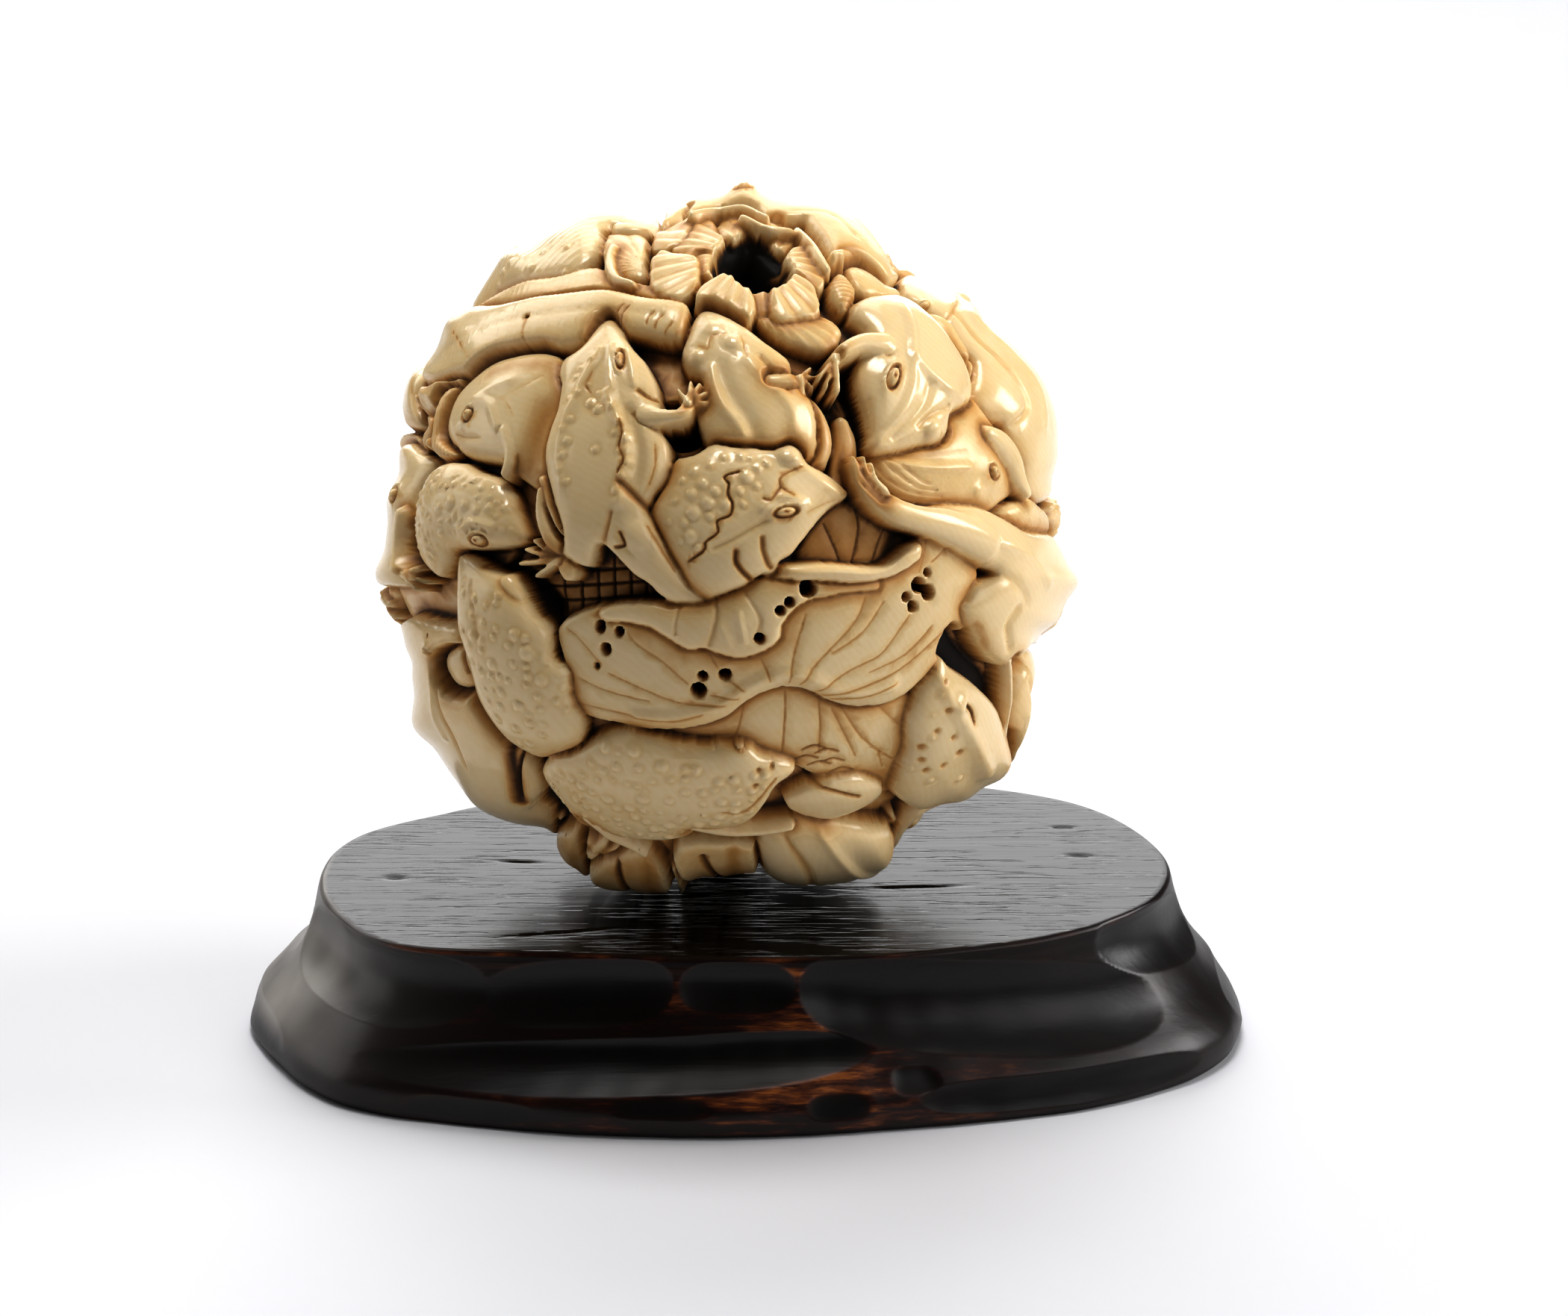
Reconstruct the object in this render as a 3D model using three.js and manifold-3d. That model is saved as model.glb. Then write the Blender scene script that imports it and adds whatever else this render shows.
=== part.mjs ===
// A carved ivory ball of frogs, toads and lotus on a gouged, dark-stained wooden stand.
// Millimetres, +Z up, the front faces -Y. The origin is under the middle of the whole piece.
//
// The ball is carved from one piece of ivory, so it is one solid: a round core whose radius is
// raised wherever a creature, leaf or petal crosses it. A creature is a set of rounded strokes,
// each carried along a path on the ball. The front is laid out as a drawing: (x, y) millimetres
// right of and above the ball's middle, seen from a station in front of it and above it.

import * as THREE from "three";
import { mergeVertices } from "three/addons/utils/BufferGeometryUtils.js";
import Module from "manifold-3d";

// Driving dimensions
const BALL_RADIUS = 30.3; // the outer round that the highest forms reach
const GROUND_DEPTH = 3.9; // how deep the gaps between the forms are cut
const BALL_BANDS = 19; // each edge of the icosahedron is cut into this many plus one
const FRONT_SHARE = 0.15; // how far the net's points are drawn to the front, of the radius
const SETTLE_PASSES = 10;
const SETTLE_PULL = 1.2; // extra pull along an edge for each millimetre that it climbs
const SETTLE_HOLD = 0.4; // how much of its old place a point keeps on each pass
const LEVEL_PASSES = 4;
const LEVEL_GAIN = 0.25; // an edge is turned where that lowers its climb by at least this
const LEVEL_STRETCH = 2; // and makes it no longer than this many times
const NO_AREA = 1e-5;
const RING_POINTS = 6; // the ring that a softened height is the mean of, with the middle taken twice
const SOFTEN = 0.45; // each point of the ball takes the mean of its neighbourhood this wide
const SEAT_DEPTH = 0.35; // the underside is rubbed flat this far in, and stands on it
const SEAT_GAP = 0.1; // clearance between the ball and the stand
const BALL_OFFSET = [-2, 1]; // the ball stands a little left of and behind the stand's middle

const STAND_HEIGHT = 14;
const STAND_SIDES = 80;

const DRAWING_TILT = 18; // degrees above the horizon
const DRAWING_DISTANCE = 480; // from the drawing's station to the middle of the ball
const DRAWING_RADIUS = 29.3; // the round that the drawing is wrapped on

const FLOWER_AT = [2.4, 24.4]; // the lotus flower's middle, in the drawing
const FLOWER_RADIUS = 7.6;
const FLOWER_DEPTH = 2.2;
const FLOWER_PETALS = 8;
const PETAL_RING = 4.6; // how far from the flower's middle its petals stand highest
const PETAL_REACH = 3.2; // from there to where they have sunk
const PETAL_RISE = 1.6;
const MOUTH_RADIUS = 2.4; // the opening in the flower
const MOUTH_DEPTH = 9;
const MOUTH_SIDES = 9;

const LEAF_RADIUS = 10.5; // the lotus leaf on the back, whose edge waves in and out
const LEAF_POINTS = 12;
const LEAF_WAVE = [-0.6, 0.9];
const LEAF_DEPTH = 1.8;

const radians = THREE.MathUtils.degToRad;

// Charts: each carries flat (x, y) millimetres to a direction on the ball, and back

function drawing() {
  const tilt = radians(DRAWING_TILT);
  const right = new THREE.Vector3(1, 0, 0);
  const toward = new THREE.Vector3(0, -Math.cos(tilt), Math.sin(tilt));
  const up = new THREE.Vector3(0, Math.sin(tilt), Math.cos(tilt));
  return {
    to(x, y) {
      const a = x * x + y * y + DRAWING_DISTANCE ** 2;
      const b = -2 * DRAWING_DISTANCE ** 2;
      const c = DRAWING_DISTANCE ** 2 - DRAWING_RADIUS ** 2;
      const inside = Math.max(0, b * b - 4 * a * c);
      const t = (-b - Math.sqrt(inside)) / (2 * a);
      return new THREE.Vector3()
        .addScaledVector(right, x * t)
        .addScaledVector(up, y * t)
        .addScaledVector(toward, DRAWING_DISTANCE * (1 - t))
        .normalize();
    },
    from(q) {
      const near = q.dot(toward);
      if (near < 0.05) return null;
      const scale = (DRAWING_RADIUS * DRAWING_DISTANCE) / (DRAWING_DISTANCE - DRAWING_RADIUS * near);
      return [q.dot(right) * scale, q.dot(up) * scale];
    },
  };
}

// A flat chart that touches the ball at a longitude (0 in front, 90 at the right) and latitude,
// turned so that its +x points along the heading (0 up, 90 to the right).
function spot(longitude, latitude, heading) {
  const [lon, lat, turn] = [longitude, latitude, heading].map(radians);
  const middle = new THREE.Vector3(
    Math.sin(lon) * Math.cos(lat),
    -Math.cos(lon) * Math.cos(lat),
    Math.sin(lat),
  );
  const east = new THREE.Vector3(Math.cos(lon), Math.sin(lon), 0);
  const north = new THREE.Vector3().crossVectors(middle, east);
  const ahead = new THREE.Vector3()
    .addScaledVector(north, Math.cos(turn))
    .addScaledVector(east, Math.sin(turn));
  const left = new THREE.Vector3().crossVectors(middle, ahead);
  return {
    to: (x, y) =>
      middle
        .clone()
        .multiplyScalar(DRAWING_RADIUS)
        .addScaledVector(ahead, x)
        .addScaledVector(left, y)
        .normalize(),
    from(q) {
      const near = q.dot(middle);
      if (near < 0.3) return null;
      return [(q.dot(ahead) * DRAWING_RADIUS) / near, (q.dot(left) * DRAWING_RADIUS) / near];
    },
  };
}

const FRONT = drawing();

// The forms: each has height(direction), which is the radius that it reaches there, or 0

const forms = [];

// A rounded stroke: stations are [x, y, half width, depth of its crest under the outer round].
// Its section is half an ellipse that falls by `fall` half widths.
function stroke(chart, stations, fall = 1) {
  const curve = new THREE.CatmullRomCurve3(
    stations.map(([x, y]) => chart.to(x, y).multiplyScalar(DRAWING_RADIUS)),
    false,
    "centripetal",
  );
  const steps = 6 * (stations.length - 1);
  const knots = [];
  for (let i = 0; i <= steps; i++) {
    const t = i / steps;
    const at = Math.min(stations.length - 2, Math.floor(t * (stations.length - 1)));
    const share = t * (stations.length - 1) - at;
    const mix = (k) => stations[at][k] + (stations[at + 1][k] - stations[at][k]) * share;
    knots.push({ p: curve.getPoint(t), width: mix(2), depth: mix(3) });
  }
  const middle = knots[Math.floor(steps / 2)].p.clone().normalize();
  const reach = Math.max(
    ...knots.map((k) => k.p.clone().normalize().angleTo(middle) + (k.width + 1) / DRAWING_RADIUS),
  );
  const point = new THREE.Vector3();
  const along = new THREE.Vector3();
  const offset = new THREE.Vector3();
  forms.push((q) => {
    if (q.dot(middle) < Math.cos(reach)) return 0;
    point.copy(q).multiplyScalar(DRAWING_RADIUS);
    let best = 0;
    for (let i = 0; i < knots.length - 1; i++) {
      const [a, b] = [knots[i], knots[i + 1]];
      along.subVectors(b.p, a.p);
      offset.subVectors(point, a.p);
      const s = THREE.MathUtils.clamp(offset.dot(along) / along.lengthSq(), 0, 1);
      offset.addScaledVector(along, -s);
      const width = a.width + (b.width - a.width) * s;
      const u = offset.length() / width;
      if (u >= 1) continue;
      const depth = a.depth + (b.depth - a.depth) * s;
      const drop = fall * width * (1 - Math.sqrt(1 - u * u));
      best = Math.max(best, BALL_RADIUS - depth - drop);
    }
    return best;
  });
}

// A leaf or petal: everything inside a closed outline, at one depth, with a rounded edge.
function sheet(chart, outline, depth, edge = 0.8) {
  const closed = new THREE.CatmullRomCurve3(
    outline.map(([x, y]) => new THREE.Vector3(x, y, 0)),
    true,
    "centripetal",
  );
  const rim = closed.getPoints(4 * outline.length);
  forms.push((q) => {
    const at = chart.from(q);
    if (!at) return 0;
    const [x, y] = at;
    let inside = false;
    let gap = Infinity;
    for (let i = 0; i < rim.length - 1; i++) {
      const [a, b] = [rim[i], rim[i + 1]];
      if (a.y > y !== b.y > y && x < a.x + ((b.x - a.x) * (y - a.y)) / (b.y - a.y)) inside = !inside;
      const [dx, dy] = [b.x - a.x, b.y - a.y];
      const length = dx * dx + dy * dy || 1;
      const s = THREE.MathUtils.clamp(((x - a.x) * dx + (y - a.y) * dy) / length, 0, 1);
      gap = Math.min(gap, Math.hypot(x - a.x - dx * s, y - a.y - dy * s));
    }
    if (!inside) return 0;
    const u = Math.max(0, 1 - gap / edge);
    return BALL_RADIUS - depth - edge * (1 - Math.sqrt(1 - u * u));
  });
}

const BODY_FALL = 0.75;
const creature = (chart, body, ...limbs) => {
  stroke(chart, body, BODY_FALL);
  for (const limb of limbs) stroke(chart, limb);
};

// The creatures of the front, from the upper left round to the bottom

function upperLeftCreatures() {
  // Toad over the upper left shoulder of the ball
  creature(
    FRONT,
    [[-21, 19.6, 1, 1.4], [-18.8, 22.4, 2.6, 0.4], [-15.2, 24.6, 3.6, 0.1], [-11, 26, 4, 0],
      [-6.5, 26.6, 3.6, 0.6]],
    [[-18.2, 24.6, 0.9, -0.1], [-17.2, 25.2, 0.9, -0.1]],
  );
  // Small frog's back on the left outline, and the one below it
  creature(
    FRONT,
    [[-21.6, 20.1, 0.7, 1.1], [-23.6, 18, 1.5, 0.8], [-25.2, 15, 2, 0.7], [-26.3, 12, 1.9, 0.7],
      [-26.6, 10.4, 1, 1.4]],
  );
  creature(FRONT, [[-27, 9.4, 1.2, 1], [-27.4, 7.4, 1.3, 1.2], [-27.2, 5.8, 1, 1.8]]);
  // Frog looking out from under the climbing toad, with one foreleg down
  creature(
    FRONT,
    [[-22.2, 9.4, 1, 2.2], [-20.6, 10.8, 2.6, 1.5], [-17.8, 10.8, 4.2, 1.2], [-15, 9.4, 4.8, 1.2],
      [-14.8, 5.6, 3.6, 2]],
    [[-18.6, 11.5, 0.9, 1], [-18.8, 8.8, 0.8, 0.9], [-18.4, 6, 0.7, 1.6]],
  );
  // Far left frog, seen from the side, its hand on its knee
  creature(
    FRONT,
    [[-25.6, 8.1, 0.9, 1.2], [-26.2, 5, 1.9, 0.6], [-27, 1, 2, 0.8], [-27.6, -2.4, 1.7, 1],
      [-27, -6.4, 0.8, 2]],
    [[-28, -0.4, 0.7, 0.9], [-27.4, -2.6, 0.7, 0.9], [-26, -3, 0.7, 1.2]],
  );
  stroke(FRONT, [[-29, -1.6, 1.1, 0.6], [-28.7, -4.4, 1.5, 0.7], [-27.4, -7, 0.8, 1.6]]);
  // Warty toad below the small frog
  creature(
    FRONT,
    [[-22.9, -4.6, 1.1, 2.2], [-22.8, -1, 2.7, 1.2], [-21.2, 2, 4.3, 0.5], [-20.6, 4.6, 2.6, 1.2]],
  );
}

function climbingToad() {
  creature(
    FRONT,
    [[-9.4, 18.9, 0.5, 1.5], [-9.4, 16.8, 2.1, 0.8], [-9.6, 14.3, 3.8, 0.3], [-9.5, 11.5, 4.2, 0.1],
      [-9.4, 8, 5, 0], [-9.7, 4.5, 4.6, 0], [-10.8, 1, 2.9, 0.5], [-11.5, -1.6, 0.9, 1.3]],
    [[-7.8, 3.8, 2, 0.6], [-6.6, 0.4, 1.8, 0.6], [-4.9, -2.4, 1.3, 0.9], [-2.2, -4.9, 0.4, 1.4]],
    [[-7, 11, 1.1, 0.4], [-5.2, 10.8, 1, 0.7], [-3.6, 10.9, 0.9, 0.8], [-2.5, 11.9, 0.7, 0.8]],
    [[-14.9, 4.2, 0.8, 1.3], [-15.5, 2.4, 0.7, 1.3], [-14.9, 0.2, 0.7, 1.3], [-13.4, -2.4, 0.8, 1.6]],
    [[-13.2, -2.2, 0.9, 1.7], [-16.4, -1.2, 0.6, 2.2]],
  );
}

function middleCreatures() {
  // Smooth frog under the flower, back to us
  creature(
    FRONT,
    [[-1.3, 19.3, 0.6, 1.6], [-0.7, 17.2, 2.2, 0.9], [0.8, 14.5, 3.5, 0.6], [2.2, 12, 4.4, 0.5],
      [3.3, 9.5, 5, 0.7], [3.7, 7, 4.6, 1.4]],
    [[-2.6, 16, 0.8, 0.7], [-2.4, 15.6, 0.8, 0.7]],
    [[0.9, 17.2, 0.7, 0.6], [1.9, 15.9, 0.6, 0.6]],
    [[5, 14, 1.1, 1], [7, 14.1, 1, 1.3], [7.9, 13.2, 0.6, 2]],
  );
  // Warty toad in the middle, its head to the right
  creature(
    FRONT,
    [[10.9, 4.2, 0.4, 1.1], [8.2, 4.2, 2.3, 0.4], [5.2, 3.9, 4.1, 0.1], [2, 3, 5.2, 0],
      [-1.2, 2, 5.8, 0.3], [-3.2, 2, 3.4, 1.2]],
    [[6.3, 7.3, 1, 0.1], [6, 7, 1, 0.1]],
    [[2.2, -0.6, 1.2, 1], [3.2, -1.8, 1, 1.2], [4.3, -2.2, 0.6, 1.6]],
  );
  // Lumps low in the gap beside it
  stroke(FRONT, [[9.7, 6.6, 1.5, 2.6], [10.4, 9.2, 1.3, 3]]);
  stroke(FRONT, [[7.6, 11.2, 1.4, 2.2], [8, 9, 1.2, 2.2]]);
}

function rightCreatures() {
  // Frog over the top, looking left, one hind leg folded below it
  creature(
    FRONT,
    [[-3.6, 28.6, 0.9, 0.9], [1, 28.7, 2.2, 0.4], [5, 28.2, 3.2, 0.2], [9, 26.9, 3.8, 0],
      [12.6, 24.6, 2.6, 0.5]],
    [[1.5, 30, 0.8, -0.2], [2.4, 30, 0.8, -0.2]],
    [[9.8, 24.2, 1, 0.9], [12.2, 24, 1, 0.6], [14.8, 22.8, 0.7, 0.9]],
  );
  // Long frog down the right outline
  creature(
    FRONT,
    [[16.1, 23.1, 0.8, 1.1], [18.2, 21.4, 2.2, 0.5], [20.7, 19.4, 2.7, 0.1], [23.2, 16.8, 3, 0],
      [25.4, 13.4, 3.3, 0], [26.8, 9.8, 3.2, 0], [27.5, 6.4, 2.4, 0.3], [27.5, 4.6, 1, 1]],
    [[20.8, 21, 1, -0.1], [21.2, 20.6, 1, -0.1]],
    [[23.5, 9.7, 0.9, 0.9], [24.9, 7.2, 1.5, 0.6], [26.6, 4.8, 0.9, 1]],
  );
  // Frog diving, its snout down and one hand on the petal
  creature(
    FRONT,
    [[13.2, 8.2, 0.9, 1], [14.6, 10.6, 3, 0.4], [15.9, 13.2, 4.8, 0], [15.4, 16.2, 4.5, 0.1],
      [14.2, 19, 3, 0.7]],
    [[13, 17.2, 1.3, 0.4], [10.6, 16.8, 1, 0.8], [9.4, 15.2, 0.8, 1.2]],
    [[14.5, 9, 1, 0.5], [18.2, 9.4, 0.9, 0.3]],
  );
  // Frog peering out under it
  creature(
    FRONT,
    [[13.6, 6.2, 0.9, 2], [16.6, 5.8, 2.2, 1.4], [20, 6.4, 3.4, 0.9], [23, 6.6, 2.9, 0.7],
      [24.8, 4.8, 1.1, 1.3]],
  );
  // Frog with its hind leg stretched out over the leaf
  creature(
    FRONT,
    [[22.3, 0.9, 2.1, 0.5], [25, -1.4, 3.6, 0], [26.4, -4.4, 4, 0], [26.4, -7.2, 2, 0.4]],
    [[11.5, 6.2, 0.5, 1.6], [12.9, 3.9, 0.9, 1.1], [14.6, 2.7, 1, 0.9], [16.6, 2.1, 1, 0.8],
      [19, 2, 1.2, 0.6], [21.4, 1.6, 1.5, 0.5]],
    [[22.2, -4.2, 1.7, 0.8], [22.6, -7, 1.8, 0.7], [23, -9.3, 0.9, 1.1]],
  );
  // Knuckles on the outline behind it
  stroke(FRONT, [[28.8, -3.2, 1.3, 0], [29, -4.6, 1.2, 0.1]]);
  stroke(FRONT, [[27.9, -7.2, 1, 0.5], [28.1, -8, 0.9, 0.6]]);
}

function lowerCreatures() {
  // Warty toad along the leaf's left edge, its snout up
  creature(
    FRONT,
    [[-22, -1.2, 0.5, 1.3], [-20.1, -3.8, 2.5, 0.5], [-18.7, -7.4, 3.3, 0.1], [-17.2, -11, 3.8, 0],
      [-15.8, -14, 3.6, 0.2], [-14.7, -16.9, 1.5, 0.9]],
  );
  // Smooth frog down the lower left outline
  creature(
    FRONT,
    [[-25.5, -6.5, 0.8, 1.1], [-24.6, -10, 1.9, 0.5], [-23.4, -14, 2.8, 0.1], [-21.4, -18, 3.4, 0],
      [-18.9, -21, 3.3, 0], [-15.8, -23.2, 1.4, 0.6]],
    [[-16.2, -20, 0.8, 1.2], [-15.2, -22, 1, 0.8], [-14.4, -23.6, 0.7, 1.2]],
  );
  stroke(FRONT, [[-26, -14.2, 1.2, 0.5], [-25.6, -16, 1.1, 0.8]]);
  stroke(FRONT, [[-22, -7.2, 0.9, 1.9], [-21, -10.8, 1.1, 1.7]]);
  // Warty toad under the leaf, its snout to the right
  creature(
    FRONT,
    [[-14.9, -18.9, 0.8, 1], [-11, -19.4, 2.8, 0.3], [-7, -20, 4.1, 0], [-3, -20.2, 4, 0],
      [1, -20, 3.2, 0.1], [4, -19.7, 1.7, 0.6], [6.4, -19.2, 0.4, 1.2]],
    [[-11, -23, 0.9, 1], [-8.6, -24.6, 0.9, 0.8], [-6.8, -25.8, 0.5, 1.3]],
    [[-4, -24, 0.9, 1], [0, -24.6, 1, 0.7], [4, -24.4, 0.7, 1.2]],
  );
  // Warty toad low on the right, its snout up
  creature(
    FRONT,
    [[18.7, -9.8, 0.5, 1.4], [19.1, -12, 2.3, 0.8], [19.2, -15, 3.6, 0.3], [18.7, -18, 3.9, 0.2],
      [17.6, -20.6, 2.6, 0.7]],
  );
  // Frog on the outline beyond it
  creature(
    FRONT,
    [[25.7, -9.6, 1.2, 0.9], [25.9, -13, 1.7, 0.4], [25.3, -17, 1.7, 0.1], [23.4, -20, 1.7, 0.1],
      [20, -22.4, 0.8, 0.6]],
  );
  // Folded thigh and rump at the bottom
  stroke(FRONT, [[6.4, -21.8, 1.2, 1.4], [10, -22, 1.8, 0.7], [13.4, -21, 0.9, 0.8]]);
  creature(FRONT, [[6.4, -25.6, 3.4, 0.7], [9.6, -26, 3.8, 0.4], [12.4, -24.4, 2.4, 0.9]]);
  creature(FRONT, [[-1, -25.4, 2.8, 1.3], [0.4, -27.8, 2.2, 1.2]]);
  stroke(FRONT, [[-9, -26.2, 2, 1.6], [-6, -27.6, 1.8, 1.4]]);
  stroke(FRONT, [[-13.3, -25.2, 1.2, 1], [-11.4, -28, 1.2, 0.8]]);
}

function lotusLeaf() {
  // The lit upper part, the hollow lower part, and the dark inside behind the rolled rim
  sheet(
    FRONT,
    [[-13.6, -7], [-9, -5.3], [-1, -5], [4.5, -2.8], [8, -2], [14, -2.6], [17, -0.2], [19, 0.4],
      [21, -2.6], [20.4, -6], [16.8, -11.2], [13, -13.4], [10.5, -13.6], [6.5, -12.1], [3.4, -12.5],
      [0.5, -14.3], [-6, -15.2], [-12, -14.4]],
    1.9, 1,
  );
  sheet(
    FRONT,
    [[-12, -14.2], [-3, -14.4], [5, -12], [12, -13], [15.4, -13.2], [15.2, -18], [14, -20.4],
      [6, -19.4], [-4, -17]],
    2.9, 0.6,
  );
  sheet(FRONT, [[5.5, -2.2], [8, 1.4], [10.8, 3.8], [14, 2.4], [17, 0.4], [14, -2]], 3.9, 0.6);
  sheet(FRONT, [[-17, -4.6], [-15, -1.2], [-9, 0.4], [-4, -3], [-4, -5.6], [-14, -7]], 4.2, 0.4);
  // The flap that the rim turns down, and the rolled rim itself
  sheet(
    FRONT,
    [[-8.5, -5.4], [-1, -5.1], [4.5, -2.9], [6.8, -3.4], [5.6, -6.4], [4.9, -8], [1.8, -9.6],
      [-1.1, -8.8], [-4, -8.3], [-7.5, -6.2]],
    1.1, 0.7,
  );
  stroke(
    FRONT,
    [[16.8, -0.3, 0.6, 1.6], [15.2, -1.6, 0.8, 1.2], [12, -3, 1.1, 0.8], [9, -2.9, 1.3, 0.7],
      [6.6, -3, 1.1, 0.9]],
  );
  // Rolled leaves and petals under the upper left toad
  stroke(
    FRONT,
    [[-20.6, 18.8, 0.8, 1.5], [-15.5, 21.2, 1, 1], [-10, 22, 1, 1], [-4.6, 20.6, 0.9, 1.7]],
  );
  stroke(
    FRONT,
    [[-23.2, 14.4, 1.4, 1], [-20.6, 16.4, 2.2, 0.5], [-14.6, 18.1, 2.2, 0.3], [-9, 18.7, 2.1, 0.4],
      [-5, 18.5, 1.8, 0.9], [-3, 18.2, 1.4, 1.3]],
    0.9,
  );
  stroke(FRONT, [[-23.9, 8.6, 1.2, 2.2], [-23.2, 12.8, 1, 2.2]]);
  stroke(FRONT, [[3, 18.2, 1.2, 1.6], [6.4, 17.5, 1.6, 1.1], [9.4, 17.2, 1, 1.8]]);
  stroke(FRONT, [[8.8, 21.4, 1.1, 1.5], [10.4, 19.4, 1.2, 1.5]]);
}

// The flower: a ring of petals round an open mouth, each petal a leaf-shaped lump
function lotusFlower() {
  const axis = FRONT.to(...FLOWER_AT);
  const side = new THREE.Vector3().crossVectors(axis, new THREE.Vector3(1, 0, 0)).normalize();
  const across = new THREE.Vector3().crossVectors(side, axis);
  forms.push((q) => {
    const near = q.dot(axis);
  if (near <= 0) return 0;
    const x = (q.dot(across) * DRAWING_RADIUS) / near;
    const y = (q.dot(side) * DRAWING_RADIUS) / near;
    const r = Math.hypot(x, y);
    if (r > FLOWER_RADIUS) return 0;
    const petal = Math.abs(Math.cos((Math.atan2(y, x) * FLOWER_PETALS) / 2));
    const rim = Math.sqrt(Math.max(0, 1 - ((r - PETAL_RING) / PETAL_REACH) ** 2));
    return BALL_RADIUS - FLOWER_DEPTH - PETAL_RISE + (PETAL_RISE * rim * (1 + petal)) / 2;
  });
  // Two standing petals at its left and back
  stroke(FRONT, [[-9.6, 24.4, 0.8, 1.2], [-8, 26, 0.9, 0.9], [-4.4, 27.6, 0.9, 0.9]]);
  stroke(FRONT, [[-8.2, 22.8, 1.2, 1.8], [-6.8, 24.6, 1, 2]]);
  stroke(FRONT, [[6.8, 26.4, 0.7, 1], [9.4, 23.6, 0.6, 1]]);
}

// A whole frog in a chart of its own: +x towards the snout, on a length from snout to rump
const FROG_LENGTH = 20;
function frog(chart, length, depth, bend = 0) {
  const k = length / FROG_LENGTH;
  const at = (x, y, width, more) => [x * k, (y + bend * (x / 10) ** 2) * k, width * k, depth + more];
  creature(
    chart,
    [at(10, 0, 0.6, 1.5), at(7.2, 0, 3, 0.7), at(3.4, 0, 3.8, 0.3), at(-1.2, 0, 4.8, 0),
      at(-6, 0, 3.9, 0.4), at(-9.6, 0, 1.3, 1.4)],
  );
  for (const side of [1, -1]) {
    stroke(
      chart, [at(4, 3 * side, 1.3, 0.7), at(1.4, 5.2 * side, 1.1, 1.1), at(4.2, 7 * side, 0.8, 1.6)],
    );
    stroke(
      chart,
      [at(-6.6, 2.2 * side, 1.8, 0.8), at(-2.2, 5.8 * side, 1.9, 1), at(0.4, 6.6 * side, 1.2, 1.3)],
    );
    stroke(
      chart, [at(0.2, 7 * side, 1.1, 1.4), at(-4.6, 7.4 * side, 1, 1.4), at(-6.4, 6.6 * side, 0.8, 1.7)],
    );
    stroke(chart, [at(7.4, 2.2 * side, 0.9, 0.5), at(6.6, 2.3 * side, 0.9, 0.5)]);
  }
}

// Sides, back, top and underside: frogs and leaves as they would go on, set closely
function hiddenSides() {
  const places = [
    [86, 38, 200, 19, 0.3, 1], [104, 4, 20, 20, 0.1, -1], [84, -34, 150, 18, 0.4, 0],
    [128, 42, 150, 20, 0.1, 1], [142, 8, 250, 20, 0.1, 0.6], [120, -30, 330, 20, 0.2, 0],
    [180, 54, 90, 19, 0.2, -1], [184, -34, 40, 20, 0.1, 1], [152, -44, 200, 18, 0.4, 0],
    [214, 22, 170, 21, 0, 0.6], [226, -16, 300, 20, 0.1, -1], [246, 48, 20, 19, 0.3, 0],
    [254, 12, 200, 19, 0.2, 1], [262, -26, 160, 20, 0.2, 0], [222, -54, 100, 19, 0.3, 1],
    [284, -46, 60, 18, 0.5, 0], [60, -62, 280, 18, 0.5, 0], [140, -76, 10, 18, 0.6, 0],
    [330, -66, 120, 17, 0.6, 0], [150, 78, 200, 17, 0.6, 0], [286, 34, 250, 15, 0.8, 0],
  ];
  for (const [longitude, latitude, heading, length, depth, bend] of places) {
    frog(spot(longitude, latitude, heading), length, depth, bend);
  }
  // The broad rump of the lowest frog, which the ball stands on
  stroke(spot(0, -90, 0), [[-2.5, 0, 5, 0], [2.5, 0.5, 5, 0]], BODY_FALL);
  // A lotus leaf on the back, with the frogs round its edge
  const ring = Array.from({ length: LEAF_POINTS }, (_, i) => {
    const turn = (i / LEAF_POINTS) * 2 * Math.PI;
    const reach = LEAF_RADIUS + LEAF_WAVE[i % 2];
    return [reach * Math.cos(turn), 0.8 * reach * Math.sin(turn)];
  });
  sheet(spot(184, 10, 0), ring, LEAF_DEPTH, 1);
}

function reliefRadius(q) {
  let radius = BALL_RADIUS - GROUND_DEPTH;
  for (const height of forms) radius = Math.max(radius, height(q));
  return radius;
}

// The mean over a small ring round q, so that coarse facets follow the forms evenly
function softened(q) {
  const reach = SOFTEN / DRAWING_RADIUS;
  const side = new THREE.Vector3().crossVectors(q, new THREE.Vector3(0.3, 0.5, 0.8)).normalize();
  const other = new THREE.Vector3().crossVectors(q, side);
  let sum = 2 * reliefRadius(q);
  for (let i = 0; i < RING_POINTS; i++) {
    const turn = (i / RING_POINTS) * 2 * Math.PI;
    const near = q
      .clone()
      .addScaledVector(side, reach * Math.cos(turn))
      .addScaledVector(other, reach * Math.sin(turn))
      .normalize();
    sum += reliefRadius(near);
  }
  return sum / (RING_POINTS + 2);
}

// An even net of triangles over the ball, a little closer in front: its directions and its faces
function ballNet() {
  const round = new THREE.IcosahedronGeometry(1, BALL_BANDS);
  round.deleteAttribute("normal");
  round.deleteAttribute("uv");
  const net = mergeVertices(round, 1e-5);
  const ahead = FRONT.to(0, 0).multiplyScalar(FRONT_SHARE);
  const place = net.attributes.position;
  const directions = Array.from({ length: place.count }, (_, i) =>
    new THREE.Vector3().fromBufferAttribute(place, i).normalize().add(ahead).normalize(),
  );
  return { directions, faces: Array.from(net.index.array) };
}

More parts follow.
